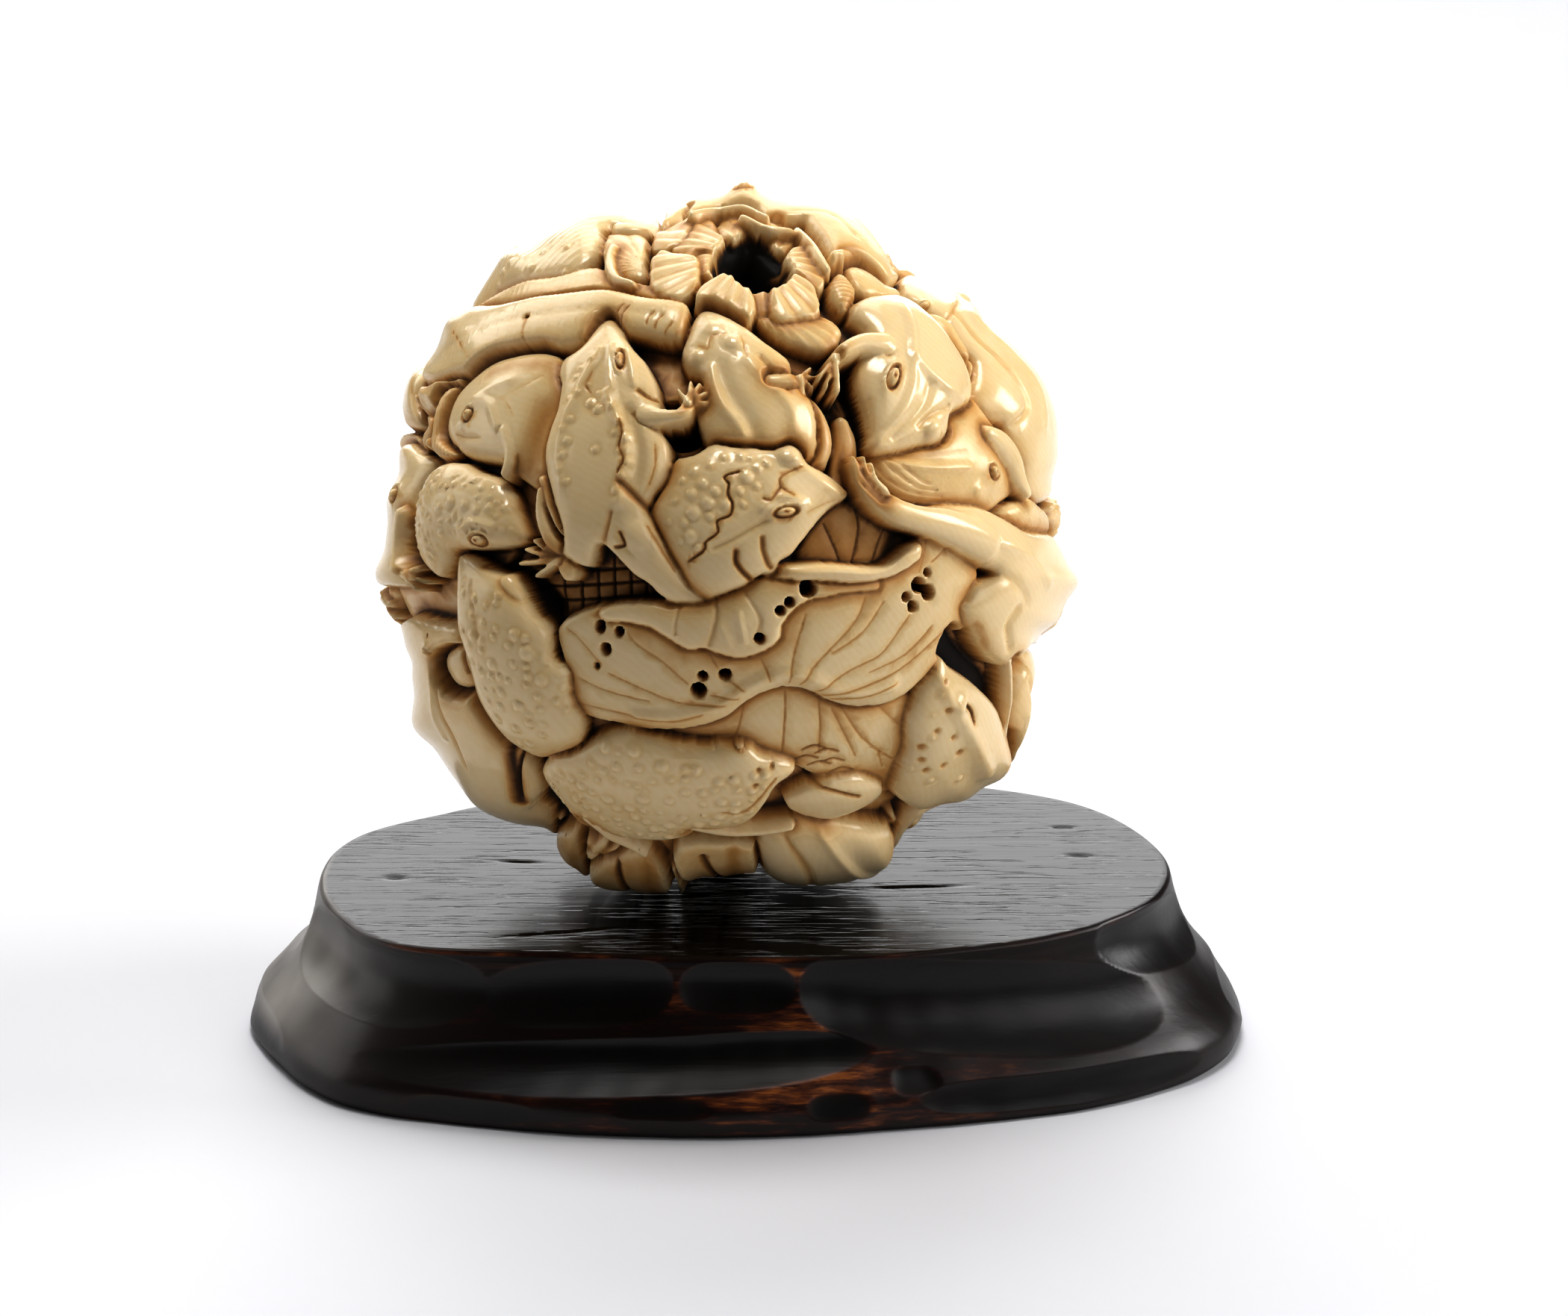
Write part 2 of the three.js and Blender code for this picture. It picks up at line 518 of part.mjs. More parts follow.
// For each point of the net, the set of those that an edge joins to it
function neighbours(directions, faces) {
  const near = directions.map(() => new Set());
  for (let i = 0; i < faces.length; i += 3) {
    for (const [a, b] of [[0, 1], [1, 2], [2, 0]]) {
      near[faces[i + a]].add(faces[i + b]);
      near[faces[i + b]].add(faces[i + a]);
    }
  }
  return near;
}

// Draws the net's points towards the steep edges of the forms, where its edges climb the most
function settle({ directions, faces }) {
  const near = neighbours(directions, faces);
  for (let pass = 0; pass < SETTLE_PASSES; pass++) {
    const heights = directions.map(softened);
    directions = directions.map((q, i) => {
      const mean = new THREE.Vector3();
      let weight = 0;
      for (const j of near[i]) {
        const share = 1 + SETTLE_PULL * Math.abs(heights[j] - heights[i]);
        mean.addScaledVector(directions[j], share);
        weight += share;
      }
      return mean.divideScalar(weight).lerp(q, SETTLE_HOLD).normalize();
    });
  }
  return { directions, faces };
}

// Turns the shared edge of two triangles wherever the other diagonal lies more level
function level({ directions, faces }) {
  const heights = directions.map(softened);
  const turnsLeft = (a, b, c) => {
    const normal = new THREE.Vector3().crossVectors(directions[a], directions[b]);
    return normal.dot(directions[c]) > NO_AREA;
  };
  for (let pass = 0; pass < LEVEL_PASSES; pass++) {
    const sides = new Map();
    for (let i = 0; i < faces.length; i++) {
      const base = 3 * Math.floor(i / 3);
      const next = base + ((i + 1) % 3);
      const last = base + ((i + 2) % 3);
      sides.set(faces[i] + "," + faces[next], { base, far: faces[last] });
    }
    const done = new Set();
    const made = new Set();
    for (const [key, { base, far: c }] of sides) {
      const [a, b] = key.split(",").map(Number);
      const other = sides.get(b + "," + a);
      if (a > b || done.has(base) || done.has(other.base)) continue;
      const d = other.far;
      if ([c + "," + d, d + "," + c].some((edge) => sides.has(edge) || made.has(edge))) continue;
      const climb = Math.abs(heights[a] - heights[b]) - Math.abs(heights[c] - heights[d]);
      const stretch = directions[c].distanceTo(directions[d]) / directions[a].distanceTo(directions[b]);
      if (climb < LEVEL_GAIN || stretch > LEVEL_STRETCH) continue;
      if (!turnsLeft(c, a, d) || !turnsLeft(d, b, c)) continue;
      faces.splice(base, 3, c, a, d);
      faces.splice(other.base, 3, d, b, c);
      made.add(c + "," + d);
      done.add(base).add(other.base);
    }
  }
  return { directions, faces };
}

// The height of each point, where none stands alone above or below all those around it
function calmed({ directions, faces }) {
  const heights = directions.map(softened);
  return neighbours(directions, faces).map((near, i) => {
    const around = [...near].map((j) => heights[j]).sort((a, b) => a - b);
    return THREE.MathUtils.clamp(heights[i], around[1], around[around.length - 2]);
  });
}

function ballGeometry() {
  const net = level(settle(ballNet()));
  const heights = calmed(net);
  const seat = BALL_RADIUS - SEAT_DEPTH;
  const place = net.directions.flatMap((q, i) => {
    const radius = -q.z * heights[i] > seat ? seat / -q.z : heights[i];
    return [q.x * radius, q.y * radius, q.z * radius];
  });
  const geometry = new THREE.BufferGeometry();
  geometry.setAttribute("position", new THREE.Float32BufferAttribute(place, 3));
  geometry.setIndex(net.faces);
  return geometry;
}

// Solids for manifold-3d, from and to three.js geometry

const wasm = await Module();
wasm.setup();

function solid(geometry) {
  const bare = new THREE.BufferGeometry();
  bare.setAttribute("position", geometry.attributes.position);
  if (geometry.index) bare.setIndex(geometry.index);
  const merged = mergeVertices(bare, 1e-4);
  return new wasm.Manifold(
    new wasm.Mesh({
      numProp: 3,
      vertProperties: new Float32Array(merged.attributes.position.array),
      triVerts: new Uint32Array(merged.index.array),
    }),
  );
}

function fromSolid(made) {
  const mesh = made.getMesh();
  const geometry = new THREE.BufferGeometry();
  geometry.setAttribute("position", new THREE.BufferAttribute(mesh.vertProperties, 3));
  geometry.setIndex(new THREE.BufferAttribute(mesh.triVerts, 1));
  geometry.computeVertexNormals();
  return geometry;
}

// The open mouth of the flower, a tapered hole towards the ball's middle
function flowerMouth() {
  const above = 2;
  const length = MOUTH_DEPTH + above;
  const mouth = new THREE.CylinderGeometry(MOUTH_RADIUS, 0.7 * MOUTH_RADIUS, length, MOUTH_SIDES);
  const axis = FRONT.to(...FLOWER_AT);
  mouth.applyQuaternion(new THREE.Quaternion().setFromUnitVectors(new THREE.Vector3(0, 1, 0), axis));
  const middle = axis.multiplyScalar(BALL_RADIUS - (MOUTH_DEPTH - above) / 2);
  return mouth.translate(middle.x, middle.y, middle.z);
}

// The stand: an uneven oval, flared to its foot, its side cut by rows of broad gouge strokes

// Radius of the top's outline and of the foot's, every 15 degrees from +x towards +y
const TOP_OUTLINE = [
  37.4, 37.1, 35.6, 32, 28.4, 25.9, 24.7, 24.9, 26.6, 28.6, 31.6, 36.2, 37.2, 36.6, 34.5, 27.2, 23,
  21.4, 20.8,
  21.5, 23.3, 26.2, 30.7, 35.3,
];
const FOOT_OUTLINE = [
  44.1, 43.5, 41.1, 37.1, 33.1, 30.4, 29.3, 30, 31.6, 34.6, 38.7, 42.2, 43.9, 42.1, 39.8, 34.2, 30.3,
  28, 27.1,
  27.3, 28.8, 32.5, 38, 42.9,
];
// Height up the side, and the share of the way from the top's outline to the foot's
const SIDE_PROFILE = [
  [0, 0.93], [1, 1], [2.6, 0.98], [3.9, 0.84], [5.1, 0.66], [6.4, 0.48], [8.2, 0.3], [10, 0.17],
  [12.2, 0.06],
  [14, 0],
];
// Each gouge stroke: its middle and half length in degrees round the stand, its lower and upper edge
// at the middle, its depth, and how much it rises over half its length
const STROKES = [
  [203.5, 19, 7, 13.8, 1.3, 0], [238, 17, 8, 13.6, 0.7, 0.5], [269, 13.5, 9.3, 13.7, 0.6, 0],
  [312, 30, 5.5, 13.2, 1.1, -2], [349, 13, 8.1, 13.8, 0.9, -1.2], [253.5, 43, 3.6, 7.7, 0.8, 1.1],
  [321, 20, 0.8, 3.8, 0.6, -0.2], [20, 17, 6.5, 13.6, 0.9, 0], [48, 16, 6.2, 13.6, 0.9, 0.4],
  [79, 17, 6.6, 13.6, 0.9, 0], [111, 17, 6.4, 13.6, 0.9, -0.3], [142, 16, 6.5, 13.6, 0.9, 0],
  [171, 13, 6.2, 13.6, 0.8, 0], [8, 15, 0.9, 5.4, 0.6, 0], [38, 18, 1, 5.6, 0.7, 0.2],
  [74, 20, 0.8, 5.4, 0.7, 0],
  [112, 20, 1, 5.8, 0.7, -0.2], [150, 18, 0.9, 5.6, 0.6, 0], [182, 15, 0.8, 4, 0.4, 0],
];

// A smooth value between evenly spaced samples round a full turn
function around(samples, turn) {
  const t = (((turn / (2 * Math.PI)) % 1) + 1) % 1;
  const at = t * samples.length;
  const i = Math.floor(at);
  const s = at - i;
  const [a, b, c, d] = [-1, 0, 1, 2].map((k) => samples[(i + k + samples.length) % samples.length]);
  return b + 0.5 * s * (c - a + s * (2 * a - 5 * b + 4 * c - d + s * (3 * (b - c) + d - a)));
}

// How deep the strokes cut at a turn and a height: the deepest of them
function gouged(turn, height) {
  const degrees = THREE.MathUtils.radToDeg(turn);
  let deepest = 0;
  for (const [middle, half, low, high, depth, rise] of STROKES) {
    const u = (((degrees - middle + 540) % 360) - 180) / half;
    const v = (2 * (height - rise * u) - low - high) / (high - low);
    const round = Math.sqrt(Math.max(0, 1 - u * u)) * Math.max(0, 1 - v * v);
    deepest = Math.max(deepest, depth * round);
  }
  return deepest;
}

function standRadius(turn, height, share) {
  const top = around(TOP_OUTLINE, turn);
  return top + share * (around(FOOT_OUTLINE, turn) - top) - gouged(turn, height);
}

function standGeometry() {
  const place = [];
  const faces = [];
  const rings = SIDE_PROFILE.length;
  for (const [height, share] of SIDE_PROFILE) {
    for (let i = 0; i < STAND_SIDES; i++) {
      const turn = (i / STAND_SIDES) * 2 * Math.PI;
      const radius = standRadius(turn, height, share);
      place.push(radius * Math.cos(turn), radius * Math.sin(turn), height);
    }
  }
  for (let ring = 0; ring < rings - 1; ring++) {
    for (let i = 0; i < STAND_SIDES; i++) {
      const a = ring * STAND_SIDES + i;
      const b = ring * STAND_SIDES + ((i + 1) % STAND_SIDES);
      faces.push(a, b, a + STAND_SIDES, b, b + STAND_SIDES, a + STAND_SIDES);
    }
  }
  const bottom = place.length / 3;
  place.push(0, 0, 0, 0, 0, STAND_HEIGHT);
  const last = (rings - 1) * STAND_SIDES;
  for (let i = 0; i < STAND_SIDES; i++) {
    const next = (i + 1) % STAND_SIDES;
    faces.push(bottom, next, i, bottom + 1, last + i, last + next);
  }
  const geometry = new THREE.BufferGeometry();
  geometry.setAttribute("position", new THREE.Float32BufferAttribute(place, 3));
  geometry.setIndex(faces);
  geometry.computeVertexNormals();
  return geometry;
}

// Materials

const ivory = new THREE.MeshStandardMaterial({ name: "ivory", color: 0xe3cfa6, roughness: 0.35 });
const stainedWood = new THREE.MeshStandardMaterial({ name: "stained wood", color: 0x1c1210,
  roughness: 0.35 });

// Assembly

upperLeftCreatures();
climbingToad();
middleCreatures();
rightCreatures();
lowerCreatures();
lotusLeaf();
lotusFlower();
hiddenSides();

const ball = new THREE.Mesh(fromSolid(solid(ballGeometry()).subtract(solid(flowerMouth()))), ivory);
ball.name = "frog_ball";
ball.position.set(...BALL_OFFSET, STAND_HEIGHT + SEAT_GAP + BALL_RADIUS - SEAT_DEPTH);

const stand = new THREE.Mesh(standGeometry(), stainedWood);
stand.name = "wooden_stand";

const piece = new THREE.Group();
piece.add(stand, ball);

// The whole is set so that the middle of its footprint is over the origin
const span = new THREE.Box3().setFromObject(piece, true);
piece.position.set(-(span.min.x + span.max.x) / 2, -(span.min.y + span.max.y) / 2, 0);

export default piece;
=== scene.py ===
"""A carved ivory ball of frogs, toads and lotus on a gouged, dark-stained wooden stand.

The ball is one height field over the round: each carved form is laid over those below it, from
the ground up, and its marks are cut last. Millimetres are used here and metres in the meshes.
"""

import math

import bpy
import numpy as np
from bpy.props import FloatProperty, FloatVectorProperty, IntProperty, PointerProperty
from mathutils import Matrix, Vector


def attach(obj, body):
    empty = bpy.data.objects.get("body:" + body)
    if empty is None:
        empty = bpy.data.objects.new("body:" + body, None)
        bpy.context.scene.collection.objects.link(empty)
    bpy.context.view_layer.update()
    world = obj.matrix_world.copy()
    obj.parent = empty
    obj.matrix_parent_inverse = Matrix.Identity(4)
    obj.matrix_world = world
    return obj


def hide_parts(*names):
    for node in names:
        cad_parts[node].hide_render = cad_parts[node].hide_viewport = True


bl_info = {
    "name": "Carved Frog Ball",
    "version": (1, 0, 0),
    "blender": (4, 5, 0),
    "location": "View3D > Sidebar > Frog Ball",
    "description": "An ivory ball carved with frogs, toads and lotus, on a gouged wooden stand",
    "category": "Object",
}

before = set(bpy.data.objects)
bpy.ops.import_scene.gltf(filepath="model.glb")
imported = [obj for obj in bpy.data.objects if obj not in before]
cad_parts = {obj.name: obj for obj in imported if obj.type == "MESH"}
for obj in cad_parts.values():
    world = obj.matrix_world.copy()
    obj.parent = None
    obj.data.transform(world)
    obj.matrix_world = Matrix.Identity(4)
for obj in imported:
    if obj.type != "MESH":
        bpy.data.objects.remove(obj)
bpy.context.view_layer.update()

MM = 0.001

# The ball, in millimetres, as in the part
BALL_MIDDLE = np.array([-2.124, 0.331, 44.05])
ROUND = 29.3  # the round that the charts are true on
OUTER = 30.3  # the highest forms reach this round
SEAT = 29.95  # the underside is rubbed flat at this depth
GROUND = 26.6  # the floor of the gaps

# The station that the front was drawn from
VIEW_TILT = math.radians(18)
VIEW_DISTANCE = 480.0
PICTURE = (2100, 1763)  # the picture's size, the ball's middle in it and the focal length, in pixels
BALL_PIXEL = (965, 727)
FOCAL_PIXELS = 7440.0
VIEW_SHIFT = (
    (BALL_PIXEL[0] - PICTURE[0] / 2) / FOCAL_PIXELS,
    (PICTURE[1] / 2 - BALL_PIXEL[1]) / FOCAL_PIXELS,
)
LIMB = 0.97  # past this share of the round, a drawn outline is carried on round the limb
LIMB_TURN = math.radians(10)  # by this angle for each millimetre

MOAT = 4.0  # how steeply a neighbour falls to the edge of a form that lies over it
MOAT_REACH = 3.0  # no neighbour falls farther from the edge than this
MOAT_SOFT = 0.3  # how much the neighbour is rounded where it begins to fall
HALO = 0.55  # the stain and painted shade beside a form's edge
HALO_REACH = 0.75  # how far out that stain and shade has faded to a third
CELL = 0.22  # cell of the small grids that the forms are worked out on
GRID_CELLS = 170  # a larger form has larger cells, so that it has no more than this along a side
PAD = 3.2  # those grids go this far past the outline

FRONT_BIAS = 0.28  # how much the ball's net is drawn together towards the front
WORN = 2  # rounds of spreading that wear the edges of the forms
FINE, BROAD, WIDE = 10, 100, 300  # rounds of spreading between the surfaces that hollows are told from
GUARD_STEPS = 8  # steps of the group that guards fine stain from the thinning


def unit(v):
    """Each row divided by its length."""
    return v / np.linalg.norm(v, axis=-1, keepdims=True)


def pairs(*values):
    """A flat run of numbers as rows of x, y."""
    return np.array(values, float).reshape(-1, 2)


def bell(t):
    """exp of minus t squared: one at the middle, near nothing at two."""
    return np.exp(-t * t)


def smooth_step(low, high, t):
    """Nought at low, one at high, and 3 s squared less 2 s cubed between, either way round."""
    s = np.clip((t - low) / (high - low), 0, 1)
    return s * s * (3 - 2 * s)


def curve(points, closed=False, steps=4):
    """A Catmull-Rom curve through the points, where each stretch takes the root of its length as
    its time, so that it makes no loops. It is worked out as three rounds of straight blends."""
    if len(points) < 3:
        return points
    if closed:
        p = np.vstack([points[-1:], points, points[:2]])
    else:
        p = np.vstack([2 * points[:1] - points[1:2], points, 2 * points[-1:] - points[-2:-1]])
    time = np.concatenate([[0], np.cumsum(np.sqrt(np.linalg.norm(np.diff(p, axis=0), axis=1) + 1e-6))])
    a, b, c, d = p[:-3], p[1:-2], p[2:-1], p[3:]
    ta, tb, tc, td = (time[k:len(p) - 3 + k, None, None] for k in range(4))
    a, b, c, d = (v[:, None, :] for v in (a, b, c, d))
    t = tb + (tc - tb) * np.linspace(0, 1, steps, endpoint=False)[None, :, None]
    ab = a + (b - a) * (t - ta) / (tb - ta)
    bc = b + (c - b) * (t - tb) / (tc - tb)
    cd = c + (d - c) * (t - tc) / (td - tc)
    low = ab + (bc - ab) * (t - ta) / (tc - ta)
    high = bc + (cd - bc) * (t - tb) / (td - tb)
    made = (low + (high - low) * (t - tb) / (tc - tb)).reshape(-1, p.shape[1])
    return made if closed else np.vstack([made, points[-1:]])


def away(at, path, closed=False):
    """For each point, its distance to the nearest place on a path, and how far along the path that
    is, counted in stretches: the foot of the perpendicular, kept between the stretch's ends."""
    start = path if closed else path[:-1]
    step = (np.roll(path, -1, axis=0) if closed else path[1:]) - start
    rise = at[:, None, :2] - start[None, :, :2]
    share = np.clip((rise * step[:, :2]).sum(-1) / ((step[:, :2] ** 2).sum(-1) + 1e-9), 0, 1)
    gap = np.linalg.norm(rise - share[..., None] * step[None, :, :2], axis=-1)
    best = gap.argmin(1)
    row = np.arange(len(at))
    return gap[row, best], best + share[row, best]


def within(at, ring):
    """Which points a closed ring holds: a line to the right from the point crosses it an odd number
    of times."""
    a = ring
    b = np.roll(ring, -1, axis=0)
    x, y = at[:, :1], at[:, 1:2]
    spans = (a[:, 1] > y) != (b[:, 1] > y)
    slope = (b[:, 0] - a[:, 0]) / np.where(a[:, 1] == b[:, 1], 1, b[:, 1] - a[:, 1])
    return (spans & (x < a[:, 0] + slope * (y - a[:, 1]))).sum(1) % 2 == 1


def film_over(inside, cell):
    """How high a film blown up over a flat region stands: minus the sum of its second slopes is one
    inside and it is nought outside, and the root of twice that gives a strip a round section. It is
    relaxed on four grids, the coarsest first."""
    film = None
    for step, passes in ((8, 160), (4, 90), (2, 60), (1, 40)):
        held = inside[::step, ::step]
        if film is None:
            film = np.zeros(held.shape)
        else:
            film = np.repeat(np.repeat(film, 2, axis=0), 2, axis=1)[:held.shape[0], :held.shape[1]]
        load = (cell * step) ** 2 / 4
        for _ in range(passes):
            wide = np.pad(film, 1)
            film = held * ((wide[2:, 1:-1] + wide[:-2, 1:-1] + wide[1:-1, 2:] + wide[1:-1, :-2]) / 4 + load)
    return np.sqrt(2 * film)


def sample(grid, corner, cell, at):
    """The grid's value at each point, blended from the four cells around it."""
    t = np.clip((at - corner) / cell, 0, np.array(grid.shape) - 1.001)
    i = t.astype(int)
    f = t - i
    x, y = i[:, 0], i[:, 1]
    low = grid[x, y] * (1 - f[:, 1]) + grid[x, y + 1] * f[:, 1]
    high = grid[x + 1, y] * (1 - f[:, 1]) + grid[x + 1, y + 1] * f[:, 1]
    return low * (1 - f[:, 0]) + high * f[:, 0]


class Drawing:
    """The front as a picture: x and y are millimetres right of and above the ball's middle, in the
    plane through it, seen from the station, which stands a little off the line through the middle."""

    across = np.array([1.0, 0, 0])
    up = np.array([0, math.sin(VIEW_TILT), math.cos(VIEW_TILT)])
    ahead = np.array([0, -math.cos(VIEW_TILT), math.sin(VIEW_TILT)])
    station = VIEW_DISTANCE * (ahead - VIEW_SHIFT[0] * across - VIEW_SHIFT[1] * up)
    distance = math.hypot(*station)
    toward = station / distance

    def to(self, points, radius):
        """Where the sight line through each point meets a round of that radius. With b the line's
        angle at the station, the angle at the middle is arcsin(distance sin b / radius) less b."""
        points = np.atleast_2d(points)
        sight = unit(points[:, :1] * self.across + points[:, 1:2] * self.up - self.station)
        near = -(sight @ self.toward)
        side = sight + near[:, None] * self.toward
        sine = np.linalg.norm(side, axis=1)
        far = self.distance * sine / near
        met = np.minimum(far, LIMB * radius)
        b = np.arctan(met / self.distance)
        angle = np.arcsin(np.clip(self.distance * np.sin(b) / radius, 0, 1)) - b
        angle = (angle + LIMB_TURN * (far - met))[:, None]
        return np.cos(angle) * self.toward + np.sin(angle) * side / np.maximum(sine, 1e-9)[:, None]

    def seen(self, points):
        """Where the sight lines to points cross the drawing's plane: each is drawn back from the
        station by the distance to the plane over the distance to the point."""
        sides = np.stack([self.across, self.up], 1)
        reach = VIEW_DISTANCE / (VIEW_DISTANCE - points @ self.ahead)
        return self.station @ sides + (points - self.station) @ sides * reach[:, None]


class Spot:
    """A flat chart that touches the ball at a longitude (0 in front, 90 at the right) and latitude,
    with x along the heading (0 up, 90 to the right) and y to its left."""

    def __init__(self, longitude, latitude, heading, scale=1.0, bend=0.0):
        """What is drawn is enlarged by scale, and its x axis bows by bend millimetres 10 from the middle."""
        lon, lat, turn = (math.radians(v) for v in (longitude, latitude, heading))
        self.middle = np.array([
            math.sin(lon) * math.cos(lat), -math.cos(lon) * math.cos(lat), math.sin(lat)
        ])
        east = np.array([math.cos(lon), math.sin(lon), 0])
        north = np.cross(self.middle, east)
        self.across = math.cos(turn) * north + math.sin(turn) * east
        self.left = np.cross(self.middle, self.across)
        self.scale = scale
        self.bend = bend

    def to(self, points, radius):
        """The chart's point, bent sideways by the square of x, carried straight to the middle, so
        that it is the same for every radius."""
        points = np.atleast_2d(points)
        x = points[:, 0] * self.scale
        y = (points[:, 1] + self.bend * (points[:, 0] / 10) ** 2) * self.scale
        return unit(self.middle * ROUND + x[:, None] * self.across + y[:, None] * self.left)


FRONT = Drawing()
# The flower's opening as it is seen from the front: below the petals all of it is painted dark, as shade
OPENING = pairs(
    -0.1, 25, -0.1, 23.5, 1, 23.2, 1.9, 22.4, 2.4, 22, 4.1, 22.2, 5.3, 23, 5.5, 23.8, 4.2, 25.4, 3.3, 26.1,
    2.7, 26.2, 2, 25.9, 0.3, 25.6
)


class Form:
    """One carved form: the points of the ball near it, in a flat chart of its own that touches the
    ball at its middle, and the marks that are cut into it once all forms are laid."""

    def __init__(self, ball, chart, directions, level, reach):
        """The form covers the directions, its lines are drawn on a round of radius level, and it
        gathers the ball's points up to reach past them."""
        self.ball = ball
        self.chart = chart
        self.level = level
        self.middle = unit(directions.mean(0))
        self.x_axis = unit(chart.across - self.middle * (chart.across @ self.middle))
        self.y_axis = np.cross(self.middle, self.x_axis)
        widest = np.arccos(np.clip(directions @ self.middle, -1, 1)).max() + reach / ROUND
        self.at = np.flatnonzero(ball.directions @ self.middle > math.cos(min(widest, 1.3)))
        self.xy = self.flat(ball.directions[self.at])
        self.marks = []
        ball.forms.append(self)
        self.number = len(ball.forms)

    def flat(self, directions):
        """Directions in the form's flat chart: carried out from the ball's middle to the plane that
        touches the round at the form's middle."""
        near = directions @ self.middle
        return np.stack([directions @ self.x_axis, directions @ self.y_axis], 1) * (ROUND / near)[:, None]

    def local(self, points):
        """Points of the form's drawing in its flat chart, with any third number kept."""
        points = np.atleast_2d(points)
        placed = self.flat(self.chart.to(points, self.level))
        return np.hstack([placed, points[:, 2:]])

    def lay(self, inward, height, edge, wall=MOAT, dark=HALO):
        """Where inward, the distance inside the outline, is above nought, the form takes the ball's
        surface. Outside, the surface falls to the form's edge along a slope, the wall, and stain with
        painted shade lies there, darkest at the form's foot: HALO times exp of minus the distance over
        its reach, or dark where it falls far."""
        ball = self.ball
        inside = inward > 0
        ball.height[self.at[inside]] = height[inside]
        ball.owner[self.at[inside]] = self.number
        ball.stain_and_shade[self.at[inside]] = 0
        beside = ~inside & (inward > -MOAT_REACH)
        at = self.at[beside]
        out = -inward[beside]
        over = ball.height[at] - (edge[beside] if np.ndim(edge) else edge) - wall * out
        fall = 0.5 * (over + np.sqrt(over * over + MOAT_SOFT ** 2)) * (over > -1.5)
        ball.height[at] -= fall
        # The halo is stain with painted shade at the form's foot, and dark paints the shade of a deep fall
        halo = np.maximum(HALO * np.exp(-out / HALO_REACH), dark * smooth_step(0.1, 1.4, fall))
        ball.stain_and_shade[at] = np.maximum(ball.stain_and_shade[at], halo)

    def groove(self, *values, width=0.2, depth=0.25, stain_and_shade=0.55):
        """A cut along a line: its depth times a bell of the distance to it."""
        path = curve(self.local(pairs(*values)))

        def mark(at):
            gap, _ = away(at, path)
            return -depth * bell(gap / width), stain_and_shade * bell(gap / (1.3 * width))

        self.marks.append(mark)
        return self

    def ridge(self, *values, width=0.5, height=0.3):
        """A raised line: its height times a bell of the distance to it."""
        return self.groove(*values, width=width, depth=-height, stain_and_shade=0)

    def eye(self, x, y, long=0.8, tall=0.5, turn=0.0, swell=0.0, pupil=0.3):
        """An eye: an oval in its own scale, e, with a lid raised over its upper half round e = 1.35, a
        stained groove at 1, darkest below, and a domed ball with a dark pupil inside it."""
        here = self.local((x, y))[0]
        cos, sin = math.cos(math.radians(turn)), math.sin(math.radians(turn))

        def mark(at):
            dx, dy = (at - here).T
            across = (dy * cos - dx * sin) / tall
            e = np.hypot((dx * cos + dy * sin) / long, across)
            above = 0.5 + 0.5 * np.clip(across, -1, 1)
            height = swell * bell(e / 2.2) + 0.25 * above * bell((e - 1.35) / 0.3)
            height -= 0.25 * bell((e - 1) / 0.2)
            height += 0.34 * np.sqrt(np.clip(1 - (e / 0.85) ** 2, 0, 1)) - 0.1 * bell(e / 0.25)
            ring = (0.7 - 0.3 * above) * bell((e - 1.05) / (0.34 - 0.16 * above))
            return height, np.maximum(ring, bell(e / pupil))

        self.marks.append(mark)
        return self

    def bump(self, x, y, size, height=None):
        """A low dome: its height times one less r squared to the power 0.8, with r the distance over
        the size. The height is half the size if none is given."""
        here = self.local((x, y))[0]
        rise = 0.5 * size if height is None else height

        def mark(at):
            r = np.linalg.norm(at - here, axis=1) / size
            return rise * np.clip(1 - r * r, 0, 1) ** 0.8, 0 * r

        self.marks.append(mark)
        return self

    def hole(self, x, y, size, depth=2.5, stain_and_shade=1.0):
        """A drilled hole: its depth inside the radius, with a wall as steep as the net allows, and a
        shallow stained bell of the distance to the rim round it. Inside, the stain is also painted shade
        for the dark of the hole."""
        here = self.local((x, y))[0]

        def mark(at):
            r = np.linalg.norm(at - here, axis=1)
            inside = smooth_step(size + 0.06, size - 0.1, r)
            rim = bell((r - size) / 0.2)
            return -depth * inside - 0.05 * rim, stain_and_shade * np.maximum(inside, 0.4 * rim)

        self.marks.append(mark)
        return self

    def warts(self, *values, fill=0.0, size=0.42, seed=1, clear=0.9):
        """Warts: low domes, 0.3 of the radius times one less r squared, with r the distance over the
        radius, each in a ring cut round it as a bell of the distance to r = 1.15. The given ones are
        x, y, radius, and fill adds others between them, on a jittered grid of that spacing, where they
        are farther than clear inside the outline."""
        rows = np.array(values, float).reshape(-1, 3)
        placed = self.local(rows) if len(rows) else np.zeros((0, 3))
        if fill:
            rng = np.random.default_rng(seed)
            low, high = self.ring.min(0), self.ring.max(0)
            spans = [np.arange(low[k], high[k], fill) for k in (0, 1)]
            grid = np.stack(np.meshgrid(*spans, indexing="ij"), -1).reshape(-1, 2)
            grid = grid + rng.uniform(-0.33, 0.33, grid.shape) * fill
            radius = size * rng.uniform(0.65, 1.25, len(grid))
            deep = within(grid, self.ring) & (away(grid, self.ring, True)[0] > clear)
            if len(placed):
                gap = np.linalg.norm(grid[:, None] - placed[None, :, :2], axis=-1) - placed[:, 2]
                deep &= gap.min(1) > radius
            placed = np.vstack([placed, np.column_stack([grid, radius])[deep]])

        def mark(at):
            height = np.zeros(len(at))
            stain_and_shade = np.zeros(len(at))
            for x, y, radius in placed:
                near = np.flatnonzero(np.abs(at - (x, y)).max(1) < radius + 0.6)
                r = np.hypot(at[near, 0] - x, at[near, 1] - y) / radius
                dome = 0.3 * radius * np.clip(1 - r * r, 0, 1)
                ring = bell((r - 1.15) * radius / 0.2)
                height[near] += dome - 0.05 * ring
                stain_and_shade[near] = np.maximum(stain_and_shade[near], 0.1 * ring)
            return height, stain_and_shade

        self.marks.append(mark)
        return self

